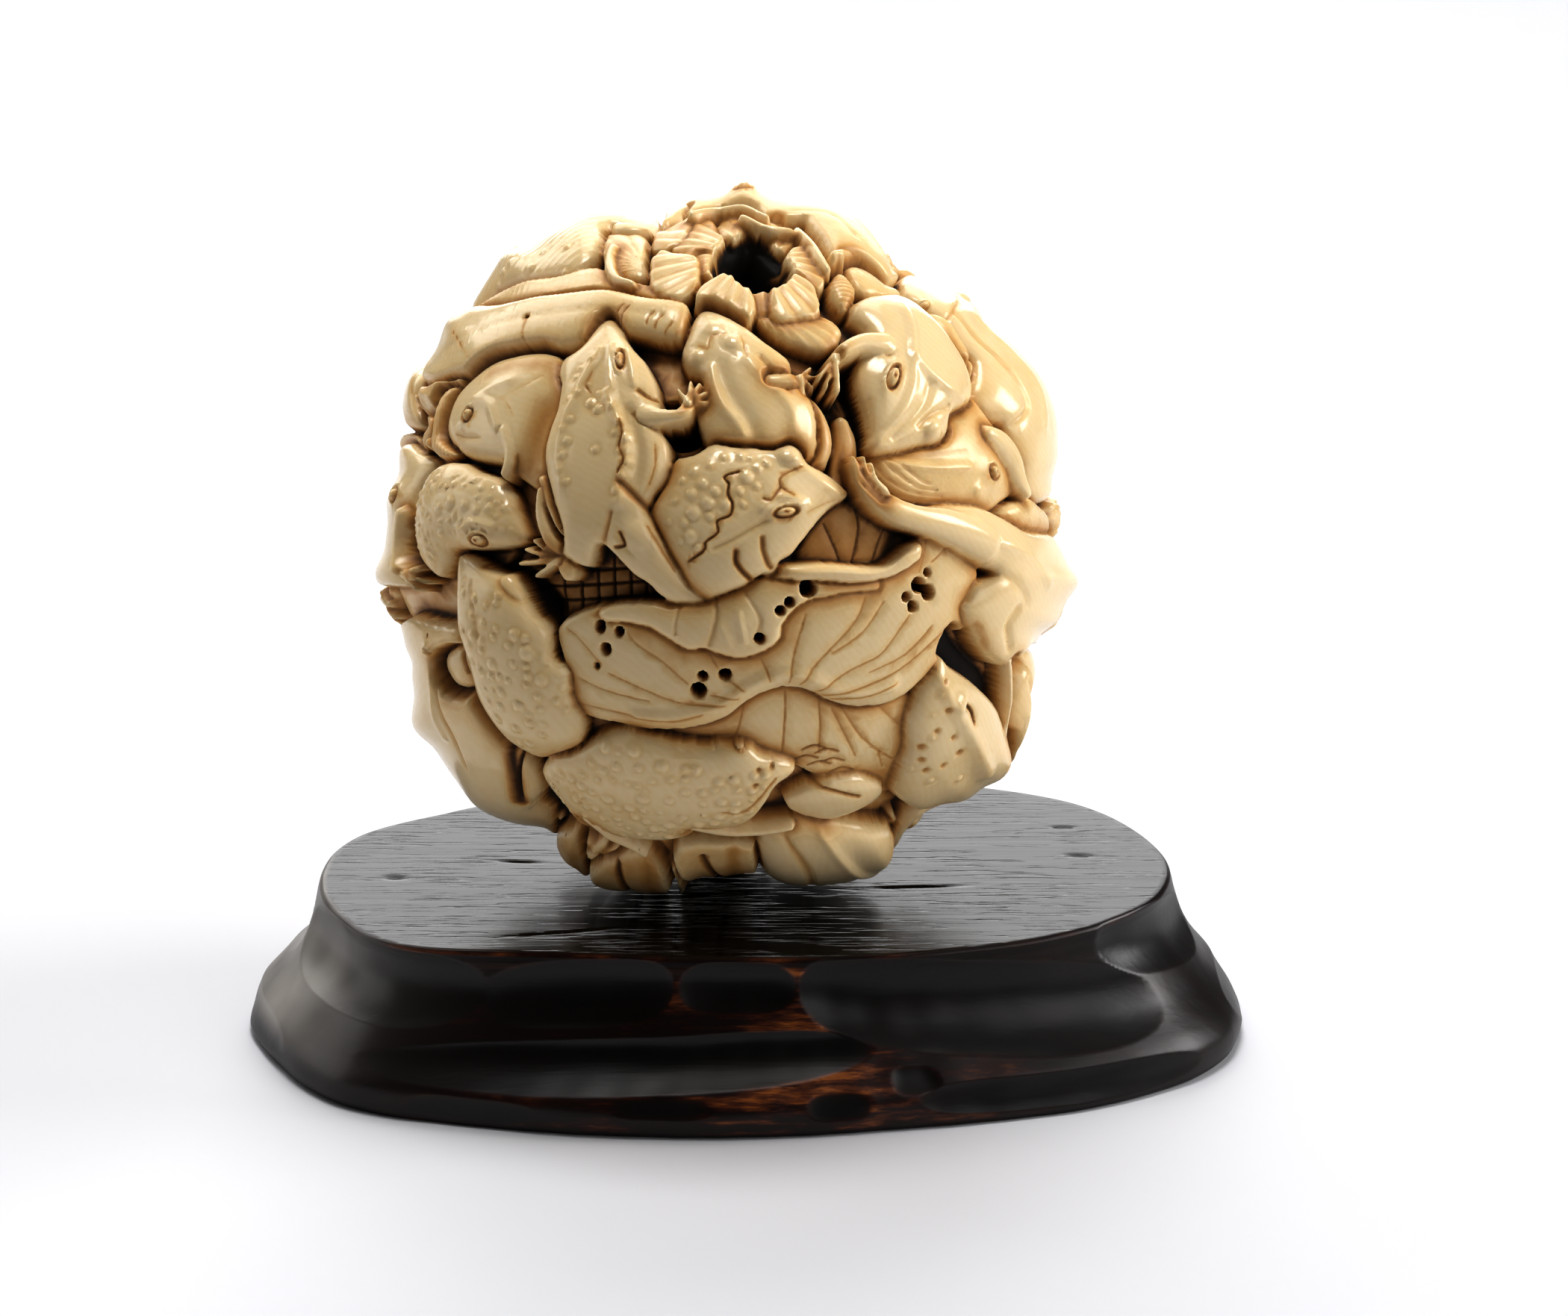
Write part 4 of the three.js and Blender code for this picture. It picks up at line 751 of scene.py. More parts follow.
def climbing_toad(ball):
    """The warty toad that climbs in the middle left, back to us, its head at the rolled leaf."""
    ball.limb([-15.3, 5.4, 0.4, -14.8, 4, 0.6, -13.9, 2, 0.7, -13.2, 0.4, 0.5], 28.9)
    ball.limb([-15.5, 4.4, 0.4, -15.5, 2.4, 0.6, -14.9, 0.6, 0.7, -13.9, -1.1, 0.9, -13.1, -2.6, 0.9], 28.8)
    toes(ball, (-13.9, -1.5), ((-16.2, 0.2), (-16.9, -0.6), (-17.4, -1.8), (-16, -2.9)), 0.36, 28.6)
    toad = ball.form(pairs(
        -9.4, 19.05, -10.1, 18.6, -10.7, 17.8, -11.2, 17, -11.9, 16.1, -12.7, 15.8, -13.4, 15.5, -13.6, 14.6,
        -13.6, 13.85, -13.3, 12.9, -13.7, 10.8, -14, 10.2, -14.4, 9, -14.7, 7.9, -14.6, 5.9, -14.2, 4.4,
        -13.9, 3.2, -13.5, 2, -13.3, 0.5, -13.4, -1, -12.7, -1.5, -12, -2, -11.05, -2.15, -10.5, -0.9, -10.1,
        -0.15, -9.4, -0.6, -8.6, -1.5, -7.8, -2.4, -7.1, -3, -6.2, -3.55, -5.5, -4.3, -4.6, -4.95, -3.4,
        -5.2, -1.3, -5, -2.1, -4.3, -2.8, -3.5, -3.5, -2.2, -4.3, -0.9, -4.9, 0.3, -5.6, 1.6, -6.05, 2.65,
        -5.2, 4.3, -4.6, 5.1, -4.1, 7.2, -4.3, 8.5, -4.8, 9.3, -5.3, 10, -5, 10.9, -4.8, 11.7, -5.1, 12.4,
        -5.3, 13.35, -5.8, 14.5, -6.25, 15.3, -7.05, 16.1, -7.7, 17, -8.2, 17.8, -8.8, 18.7
    ), 27.9, 30.2, 4)
    toad.eye(-8.5, 15.5, 1.0, 0.34, 96, 0.25)
    toad.ridge(-9.3, 17, -9.4, 15, -9.1, 13, width=0.3, height=0.3)
    toad.ridge(-7.9, 16.6, -7.5, 15, -7.3, 13.4, width=0.3, height=0.25)
    toad.ridge(
        -10.2, 16.4, -11.2, 14.6, -12.1, 12.6, -12.9, 11.2, -13.6, 9, -13.8, 7, -13.5, 5, width=0.55,
        height=0.28
    )
    toad.ridge(-9.4, 12.4, -8.6, 10.4, -8, 8.6, -8.1, 7, -8.4, 5.2, -8.6, 3.4, width=0.5, height=0.35)
    toad.groove(-7.9, 11.2, -7.2, 9.4, -6.9, 7, -7.3, 5, width=0.5, depth=0.3, stain_and_shade=0.05)
    toad.groove(-8.5, 5.2, -7.6, 4.2, -6.1, 2.8, width=0.3, depth=0.4, stain_and_shade=0.45)
    toad.groove(-10.1, 0, -9.6, 1.4, -9.3, 2.6, width=0.22, depth=0.25, stain_and_shade=0.3)
    toad.groove(-6.4, 1.5, -5.2, -0.6, -4, -2.6, width=0.07, depth=0.07, stain_and_shade=0.6)
    toad.groove(-8.6, 0.9, -8.2, -0.2, -9.1, -0.4, width=0.12, depth=0.2, stain_and_shade=0.8)
    toad.bump(-7, 0.6, 1.4, 0.3)
    toad.groove(-7, 12.9, -6.2, 12.4, -5, 12.3, width=0.16, depth=0.2, stain_and_shade=0.5)
    toad.groove(-5.6, 9.8, -6.6, 10.2, -7.4, 10.9, width=0.2, depth=0.2, stain_and_shade=0.3)
    toad.groove(-8.4, 10.2, -8.2, 9, -8.5, 8.2, -8.1, 7, -8.6, 5.9, width=0.08, depth=0.15, stain_and_shade=0.7)
    toad.groove(-10.8, 14.4, -11.3, 13.2, -10.9, 12.6, width=0.08, depth=0.12, stain_and_shade=0.4)
    toad.groove(-5.6, 8.4, -5.6, 6.6, -6.2, 4.8, width=0.06, depth=0.06, stain_and_shade=0.5)
    toad.warts(
        -11.1, 13.3, 0.3, -12.6, 10.4, 0.4, -10.9, 11.7, 0.5, -10.2, 12.5, 0.35, -9.6, 12.8, 0.35, -10.3,
        11.2, 0.5, -8.4, 10.2, 0.45, -7.8, 8.8, 0.5, -7.6, 6.8, 0.45, -8.3, 5.6, 0.35, -10.5, 7.8, 0.4,
        -12.9, 8.6, 0.45, -13.3, 7.4, 0.4, -13.6, 6.2, 0.35, -13, 5.2, 0.35, -12.9, 12.2, 0.35, -12.3, 14,
        0.35, -12, 12.6, 0.35, -11.8, 14.8, 0.35, -10.9, 15.6, 0.35, -9.2, 11.4, 0.4, -8.9, 9.2, 0.35, -8.4,
        7.7, 0.35, -8.9, 4.4, 0.35, -13.4, 9.6, 0.35, -10.4, 16.6, 0.3
    )
    ball.limb([-6.6, 11, 1.1, -4.8, 10.9, 0.8, -3.3, 11.1, 0.7, -2.8, 12, 0.65], 30.1, 0.9, join=0.3)
    toes(ball, (-2.8, 12), ((-1.35, 12.2), (-1.4, 13), (-1.85, 13.8), (-2.6, 14), (-3.7, 13.3)), 0.33, 29.9)


def right_creatures(ball):
    """The peeking frog, the long frog on the right limb, the diving frog and the sprawling one."""
    peek = ball.form(pairs(
        12.4, 8.4, 12.8, 6, 13.8, 4.6, 14.7, 3.6, 15.7, 3, 21, 2.6, 22.3, 2.4, 24, 3.4, 25, 3.8, 25.4, 5.2,
        24.6, 7.2, 24, 8.6, 23.4, 9.4, 22.1, 9.9, 21.6, 11.4, 20.9, 12.8, 19, 11.4, 17, 9.6, 14, 8.8
    ), 26.8, 29, 5)
    peek.eye(22.8, 5.9, 0.65, 0.5, -40, 0.35)
    for k in range(4):
        peek.groove(12.9 + 0.5 * k, 7 + 0.1 * k, 13.8 + 0.6 * k, 5.3 + 0.4 * k, 16 + 0.4 * k, 4 + 0.4 * k,
                    19.4 - 0.5 * k, 3.5 + 0.5 * k, width=0.12, depth=0.12, stain_and_shade=0.22)
    peek.ridge(14, 6.9, 18, 6.3, 21, 6.3, width=0.35, height=0.2)
    peek.groove(13.8, 7.6, 17.6, 7.2, 20.6, 7.4, width=0.4, depth=0.15, stain_and_shade=0.1)
    peek.bump(21.9, 4.3, 0.7, 0.25).shade(0.1)
    # A pocket painted dark as shade, beside the limb at the right
    pocket = ball.form(pairs(25, 4.6, 26.4, 3.2, 28, 3.4, 28.6, 5, 27.6, 5.6, 26, 5.6), 27, 27.6, 1)
    pocket.shade(0.8)
    ball.limb([28.2, 6, 0.6, 29, 4.6, 0.7, 29.2, 3, 0.7, 28.6, 1.2, 0.6], 29.2, 0.8)
    facet = ball.form(pairs(
        22.6, 2.4, 24.8, 3.9, 25.8, 3.3, 27, 2.4, 28, 1.4, 28.4, 0.6, 25, 0.6
    ), 26.8, 29, 1)
    facet.ribs(25, 2.2, 0.6, 0.06, 0.12, turn=-20)
    long = ball.form(pairs(
        15.5, 23.1, 16.3, 23.8, 17.3, 23.4, 18.3, 23, 20, 22, 20.8, 22.2, 21.9, 21.5, 23, 20.5, 23.2, 19.6,
        24.2, 18.8, 25.6, 17.9, 26.8, 16.8, 28, 15.4, 28.9, 14, 29.7, 12.3, 30.2, 10.6, 30.3, 8.9, 30.1, 7,
        29.6, 5.6, 28.6, 4.6, 27.5, 3.8, 26.2, 3.2, 25.1, 4.4, 24.7, 6.2, 24, 7.4, 23.5, 8.6, 23, 9.7, 22.4,
        10, 21.5, 11.2, 21, 12.5, 20.6, 15, 19.6, 16.3, 18.7, 17.6, 17.5, 18.9, 16.3, 20.1, 15.4, 21.1
    ), 27.1, 30.2, 5)
    long.eye(18, 21, 0.5, 0.4, 60, 0.35)
    long.groove(18.1, 20.9, 18.5, 20, 18.7, 19.3, width=0.12, depth=0.2, stain_and_shade=0.8)
    long.ridge(15.8, 22.6, 17, 20.4, 18, 19, width=0.4, height=0.2)
    long.bump(20.6, 21.3, 1.2, 0.4)
    long.groove(19.4, 22, 20.2, 21, 19.9, 19.8, 18.9, 18.7, width=0.3, depth=0.25, stain_and_shade=0.25)
    long.groove(20.2, 19.4, 22.2, 16.9, 24.4, 13.6, 25.4, 11.4, 25, 10.2, width=0.35, depth=0.3, stain_and_shade=0.15)
    long.ridge(21.6, 18.9, 24, 15.6, 25.8, 12.4, 26.6, 9.6, width=0.6, height=0.25)
    ball.limb([23.2, 9.4, 0.8, 24.4, 8.6, 1.4, 25.4, 7.2, 1.5, 25.9, 5.6, 1.1, 26.4, 4.4, 0.7], 29.6, 0.8)
    sprawl = ball.form(pairs(
        18, 3.2, 21.3, 3.15, 22.7, 2.8, 23.8, 2.1, 25.4, 1.1, 27.3, 0.8, 28.8, 0.6, 29.8, 0, 30.4, -0.9,
        30.8, -3.2, 30.4, -5.5, 29.8, -6.7, 29, -8, 27.6, -8.9, 25.6, -8.8, 24.9, -9.5, 24, -10.2, 23.2,
        -10.5, 22.4, -9.9, 21.7, -8.8, 21.2, -7.6, 20.6, -6.4, 20.5, -5.4, 21, -4.8, 21.45, -3.8, 22.2, -3.2,
        23, -2.6, 22.2, -2.2, 21.45, -1.7, 20.5, -0.8, 19.6, 0.2, 18.4, 0.85, 17, 1, 16.6, 2.4
    ), 27.9, 30.1, 5)
    sprawl.ridge(24, 0, 26, -1, 27.4, -3.2, width=0.6, height=0.2)
    sprawl.groove(23.4, -2.4, 25, -3.4, 25.8, -5, width=0.5, depth=0.2, stain_and_shade=0.08)
    sprawl.groove(25.2, -5.6, 24.5, -7, 24.8, -9, width=0.45, depth=0.35, stain_and_shade=0.12)
    sprawl.groove(22.4, -7.2, 22.9, -8.6, 23.2, -9.8, width=0.4, depth=0.05, stain_and_shade=0.35)
    ball.limb([23.4, 0, 2, 21.6, 0.9, 1.8, 19.6, 1.6, 1.5, 17.4, 2.1, 1.2, 15.2, 2.8, 1.15, 13.4, 4.1, 1.05,
               12.2, 5.6, 0.8, 11.6, 6.8, 0.45], 30.1, 0.85, join=0.35)
    for x, y in ((11.4, 7.4), (12.2, 7.4), (12.9, 6.9)):
        knuckle = (13.9 + 0.3 * (x - 12), 3.9 + 0.3 * (x - 11.4), 0.4)
        ball.limb([x, y, 0.2, x + 0.4, y - 1.6, 0.32, *knuckle], 29.8)
    for stations in ([30.4, -2.2, 0.8, 31, -3.2, 0.8, 30.6, -4.4, 0.7], [29, -7.2, 0.7, 29.6, -8.2, 0.6]):
        ball.limb(stations, 30, 0.9)
    dive = ball.form(pairs(
        11, 19.9, 11.9, 20.5, 13.3, 20.8, 14.4, 20.85, 15.6, 20.4, 16.1, 20.2, 17.1, 19, 18, 18, 18.9, 16.8,
        19.7, 15.6, 20.4, 14.9, 20.5, 14.2, 20.9, 13.1, 21, 12.3, 20.9, 11.75, 19.9, 11.1, 18.95, 10.4, 19,
        9.3, 18.7, 8.6, 17.8, 8.1, 16.8, 8, 15.4, 7.7, 14, 7.5, 12.8, 7.5, 12.45, 8.1, 12.45, 9.1, 12.1,
        11.1, 11.6, 12.6, 11.3, 13.8, 11.4, 15.4, 12, 16.2, 12, 17.6, 11.4, 18.4, 11, 19
    ), 27.6, 30.1, 5)
    dive.eye(14.5, 13.9, 1.1, 0.5, 80, 0.3)
    dive.hole(14.9, 14.8, 0.14, 0.4)
    dive.ridge(15.2, 20, 16, 18, 16.2, 15.8, 17.4, 14.2, 19.4, 12.8, 20.8, 12.2, width=0.5, height=0.35)
    dive.ridge(16, 15.6, 16.2, 13.4, 15.4, 11, 13.6, 8.6, width=0.45, height=0.25)
    dive.groove(12.6, 18.2, 13.6, 17.4, 14.2, 16, width=0.5, depth=0.3, stain_and_shade=0.1)
    dive.groove(17.6, 13.2, 17.2, 11.6, 15.8, 10, 14.4, 9, width=0.45, depth=0.25, stain_and_shade=0.06)
    dive.groove(19.4, 11.6, 18, 11, 17, 10, width=0.3, depth=0.25, stain_and_shade=0.15)
    dive.bump(18.3, 9.5, 1.1, 0.5).bump(14.2, 8.6, 1.2, 0.25)
    for x in (12.1, 12.5, 12.9):
        dive.groove(x, 12.6, x + 0.4, 10.8, x + 0.5, 9.2, width=0.1, depth=0.1, stain_and_shade=0.3)
    ball.limb([14.2, 17.2, 1.3, 12.4, 17.3, 0.95, 10.8, 16.7, 0.75, 9.9, 15.9, 0.65], 30.2, 0.85, join=0.45)
    toes(ball, (9.8, 16), ((8.5, 14.2), (9.1, 13.4), (9.9, 13.1), (10.3, 13.2)), 0.34, 29.7)


def lower_creatures(ball):
    """The toads and frogs round the leaf's lower edge."""
    far = ball.form(pairs(
        25.4, -9.3, 27.4, -9, 28.2, -10, 28.6, -11.4, 28.2, -13.2, 27.8, -15, 27, -16.8, 26.2, -18.6, 26,
        -19.6, 25.2, -20.8, 24, -21.6, 22.8, -21.4, 22.2, -18.6, 23.1, -16.3, 24, -14.9, 24.1, -13.3, 24.7,
        -11.8, 25.2, -10.4
    ), 26.8, 29.9, 5)
    far.groove(
        23.1, -16, 24, -15.2, 25.2, -15.2, width=0.2, depth=0.25
    ).groove(23.6, -17.2, 25.2, -17.2, width=0.2)
    far.eye(23.8, -20, 0.5, 0.35, 40, 0.2).eye(24.7, -19.1, 0.4, 0.35, 40, 0.1)
    crescent = ball.form(pairs(
        18.6, -22.4, 20.05, -23, 21.6, -23, 23, -22.2, 23.6, -21, 22.4, -19.4, 21.3, -20.8, 20, -21.7
    ), 26.6, 29.2, 1.4)
    crescent.ribs(21, -22, 0.5, 0.1, 0.3, turn=30)
    # A pocket painted dark as shade, right of the leaf's edge and above the toad
    pocket = ball.form(pairs(
        20.2, -7.4, 21.4, -8.8, 22.6, -10.4, 24.2, -12.4, 23.6, -14.4, 21.8, -12.4, 20.4, -10.8, 19.2, -9.4
    ), 26, 26.5, 1, at=28.4)
    pocket.shade(0.95)
    toad = ball.form(pairs(
        18.7, -9.65, 17.9, -10.7, 17, -11.9, 16.5, -13.1, 15.7, -15.1, 15.6, -17.6, 15.1, -18.6, 14.5, -20.1,
        14.3, -20.7, 14.8, -21.4, 16.7, -21.8, 19.2, -21.6, 20.2, -20.8, 21.2, -20, 21.9, -19.2, 22.2, -18.4,
        22.9, -16.3, 23.1, -15.3, 22.7, -14.7, 22.6, -13.5, 22, -12.5, 20.8, -11.4, 19.3, -10.4
    ), 27.4, 30, 5)
    toad.groove(16.6, -14.8, 16.3, -15.6, 16, -16.4, width=0.17, depth=0.35, stain_and_shade=1)
    toad.groove(20.7, -13.7, 21.1, -14.2, 21.1, -15, width=0.14, depth=0.3, stain_and_shade=0.8)
    toad.bump(17, -14.2, 0.9, 0.3).bump(20.4, -13.6, 0.9, 0.3)
    toad.ridge(18.7, -10.6, 19.6, -13.4, 21, -16.4, 21.4, -18.6, width=0.7, height=0.4)
    for x, y, size in (
        (18, -11.8, 0.25), (19.4, -12, 0.25), (19.3, -14.2, 0.3), (19.5, -16.3, 0.25), (17.3, -17.6, 0.35),
        (19.8, -17.4, 0.3), (17.2, -18.6, 0.3), (17.4, -19.3, 0.3), (18.4, -16, 0.25), (18.6, -18.6, 0.25)
    ):
        toad.hole(x, y, size, 0.16, 0.4)
    toad.warts(
        18, -16.6, 0.4, 18.9, -13, 0.35, 17.6, -20, 0.4, 19.6, -19.4, 0.4, 16.4, -19.6, 0.4, 18.2, -14.8, 0.3
    )
    ball.limb([24.5, -9.8, 0.45, 24.4, -12.6, 0.45, 23.5, -15.6, 0.4, 22.6, -18.4, 0.35], 28.8)

    lumps = (
        (pairs(
            -3.4, -24, -2.6, -26.6, -1.6, -28.4, -0.4, -29.4, 1.8, -29.2, 3.5, -28.4, 3.4, -24.4
        ), 26.6, 29.2),
        (pairs(-10, -24.4, -9, -27, -7.9, -28.6, -5, -29.2, -4, -28, -4, -25.4, -6, -24), 26.2, 28.7),
        (pairs(-6.6, -29.2, -2.8, -29, -2, -29.9, -3.2, -31, -6, -31.4), 26, 28.8),
        (pairs(-10.4, -29.4, -8.9, -28.6, -7, -29.2, -8, -31, -10, -30.8), 26, 28.6),
        (pairs(-12.4, -28.4, -11, -27.2, -9.5, -27.5, -8.8, -28.6, -9.8, -30.6, -12.4, -30), 26, 29),
        (pairs(
            -14.6, -24, -14.6, -26.4, -14, -28.2, -12.4, -29.2, -10.6, -27.6, -10, -25.4, -11.6, -23
        ), 26.4, 29.2)
    )
    for outline, edge, top in lumps:
        lump = ball.form(outline, edge, top, 0.9)
        x, y = outline.mean(0)
        lump.groove(x - 1.6, y + 1, x - 0.4, y - 1, x + 0.2, y - 2.6, width=0.3, depth=0.3, stain_and_shade=0.7)
        lump.groove(x + 1, y + 2, x + 1, y, x + 1.6, y - 1.6, width=0.9, depth=0.2, stain_and_shade=0.35).shade(0.2)
    haunch = ball.form(pairs(
        3.3, -24.4, 3.3, -26.3, 3.6, -28.4, 4.5, -30, 7.2, -30.8, 9.9, -30.6, 12, -30, 13.6, -28.6, 14.6,
        -26.8, 14.4, -24.5, 13.7, -23, 10, -23, 6.2, -22.6
    ), 27.2, 29.9, 5)
    haunch.ridge(8.5, -24.6, 11, -26.6, 13, -27, width=0.5, height=0.35)
    haunch.groove(5.4, -25, 7.2, -27, 7.6, -29.4, width=0.35, depth=0.25, stain_and_shade=0.25)
    thigh = ball.form(pairs(
        5.4, -21.8, 7, -20.8, 9.5, -20.1, 12, -19.9, 13.8, -20.6, 13.5, -21.4, 12, -22.1, 10.4, -22.8, 9,
        -23.2, 7.2, -23, 5.8, -22.6
    ), 27.6, 28.8, 1.6)
    thigh.groove(7, -21.1, 9, -21.1, 11.8, -21.6, width=0.14, depth=0.2, stain_and_shade=0.6)
    ball.limb([19.2, -22.2, 0.7, 17, -22.4, 0.7, 15.4, -24, 0.8, 14.6, -26, 0.8, 14.2, -28, 0.7], 29, 0.9)

    side = ball.form(pairs(
        -25.5, -14, -27.4, -14.8, -27.8, -16.2, -26.8, -17.6, -24.5, -18.4
    ), 26.4, 29.4, 1.4)
    side.groove(-26.6, -15, -26, -17, width=0.2)
    frog = ball.form(pairs(
        -25.5, -6.1, -26.6, -6.9, -27, -8, -27.4, -10, -27.6, -11.8, -27.2, -13.2, -26.6, -14.4, -26.2,
        -16.2, -25.6, -18, -24.8, -20.2, -23.6, -21.8, -22.4, -23.4, -20.8, -24.4, -19.4, -25, -17.6, -25.4,
        -14.8, -25.6, -13.7, -24.6, -14.2, -22.9, -15.1, -21.8, -14.6, -20, -15.4, -18.4, -17, -16, -18.4,
        -13, -20, -9, -22, -7, -24, -6.6
    ), 27.2, 30.1, 5)
    frog.groove(-24.2, -11.5, -23.2, -14, -22, -16.5, -21, -18.5, width=0.3, depth=0.2, stain_and_shade=0.2)
    frog.ridge(-24.6, -10.6, -23.8, -13.6, -22.8, -16, width=0.35, height=0.2)
    frog.groove(-18.2, -16.6, -17.8, -18.4, -17.3, -20, -16.9, -22, width=0.65, depth=0.3, stain_and_shade=0.75)
    frog.groove(-17.4, -17.6, -17.2, -19.6, -16.9, -21.6, width=0.2, depth=0.5, stain_and_shade=0.9)
    frog.groove(-16, -20.2, -15.6, -21.6, -15.6, -23.2, width=0.2, depth=0.3, stain_and_shade=0.5)
    frog.hole(-25.25, -8, 0.14, 0.4)
    frog.eye(-24.9, -9.2, 0.5, 0.35, 80, 0.25)
    lump = ball.form(pairs(-23, -9.6, -21.2, -8.6, -20.2, -10.4, -20.2, -12, -22, -11.6), 27.2, 28.9, 1.2)
    lump.groove(-22, -9.4, -21.4, -11, width=0.16)
    toad = ball.form(pairs(
        -22.3, -1, -21.6, -0.95, -20.8, -1.3, -19.9, -1.9, -18.7, -2.55, -17.7, -2.7, -16.9, -3.7, -15.8,
        -5.9, -14.4, -7.5, -14, -9.8, -13.2, -10.4, -12.7, -11.2, -12.6, -12.8, -12.2, -13.8, -11.6, -14.9,
        -11.4, -15.8, -11.6, -17, -13, -17.6, -14.8, -18.2, -16.4, -17.3, -17.5, -16.7, -18.3, -15.7, -19.4,
        -14.2, -20.2, -12.8, -20.5, -11.7, -20.7, -10.4, -21.1, -9.3, -21.7, -7.9, -22, -6.6, -22, -5.2,
        -22.2, -2.7
    ), 27.8, 30.2, 5)
    toad.eye(-20.7, -1.9, 0.5, 0.4, 0, 0.3)
    toad.groove(-19.1, -2.6, -19.3, -3.2, -18.5, -4.4, -17.5, -5.2, width=0.25, depth=0.2, stain_and_shade=0.25)
    toad.groove(-21.4, -3.4, -21, -5.6, -20.4, -8, width=0.25, depth=0.15, stain_and_shade=0.15)
    toad.warts(
        -15, -10, 0.6, -15.2, -11.6, 0.6, -16.4, -9.3, 0.7, -18.4, -12.5, 0.5, -16.9, -13.7, 0.6, -14, -13.6,
        0.4, -13.6, -12.6, 0.4, -17.8, -11.6, 0.4, -13.3, -14.5, 0.3, -18.6, -11.2, 0.4, -16, -15.2, 0.5,
        -16.2, -11.2, 0.45, -15.4, -13, 0.4, -17.4, -10.2, 0.4, fill=1.5, size=0.45, seed=13, clear=1.5
    )
    low = ball.form(pairs(
        -15.15, -18.9, -14, -17.9, -12, -17.3, -10.2, -16.3, -9, -15.9, -7.9, -15.8, -6, -16.3, -3.9, -16.85,
        -1, -17.2, 0.2, -17, 2.4, -17.2, 3.3, -17.9, 5.3, -18.5, 6.5, -19.15, 5.8, -19.9, 4.8, -20.3, 4.2,
        -21.2, 3.6, -22.15, 2.8, -23, 2, -23.5, 0, -23.8, -2.2, -24.1, -3.2, -24.5, -4.85, -24.6, -7.3,
        -24.2, -8.4, -24.2, -10, -23.6, -11.8, -23.2, -12.9, -21.9, -14, -20.8, -15, -19.5
    ), 27.8, 30.2, 5)
    low.eye(1.5, -17.8, 0.9, 0.42, -25, 0.3)
    low.groove(0.2, -22.85, 1.8, -23, 3, -22.3, 3.8, -21.5, 4.8, -20.5, width=0.12, depth=0.15, stain_and_shade=0.4)
    for x, y in ((3.3, -19.7), (4.4, -18.7), (4.5, -19.6), (3, -20.8)):
        low.hole(x, y, 0.24, 0.2, 0.5)
    low.warts(
        -10, -17.6, 0.6, -7.4, -17.8, 0.6, -5, -19, 0.6, -3.4, -17.8, 0.6, -11, -18.8, 0.4, -8.8, -19, 0.5,
        -9.5, -21.5, 0.6, -6.5, -21.5, 0.6, -7, -20.4, 0.4, -4.3, -21.7, 0.5, -10.8, -21, 0.4, -8.7, -22.3,
        0.4, -6.9, -19, 0.4, -3, -20, 0.4, fill=1.4, size=0.45, seed=14, clear=1.3
    )
    ball.limb([-11.4, -23.4, 0.6, -9.4, -24.6, 0.75, -7.6, -25.4, 0.6, -6.3, -26.1, 0.4], 29.2)
    ball.limb([-2.2, -24.4, 0.6, 1, -24.9, 0.6, 4, -24.7, 0.5, 6, -24.3, 0.4], 29.2)


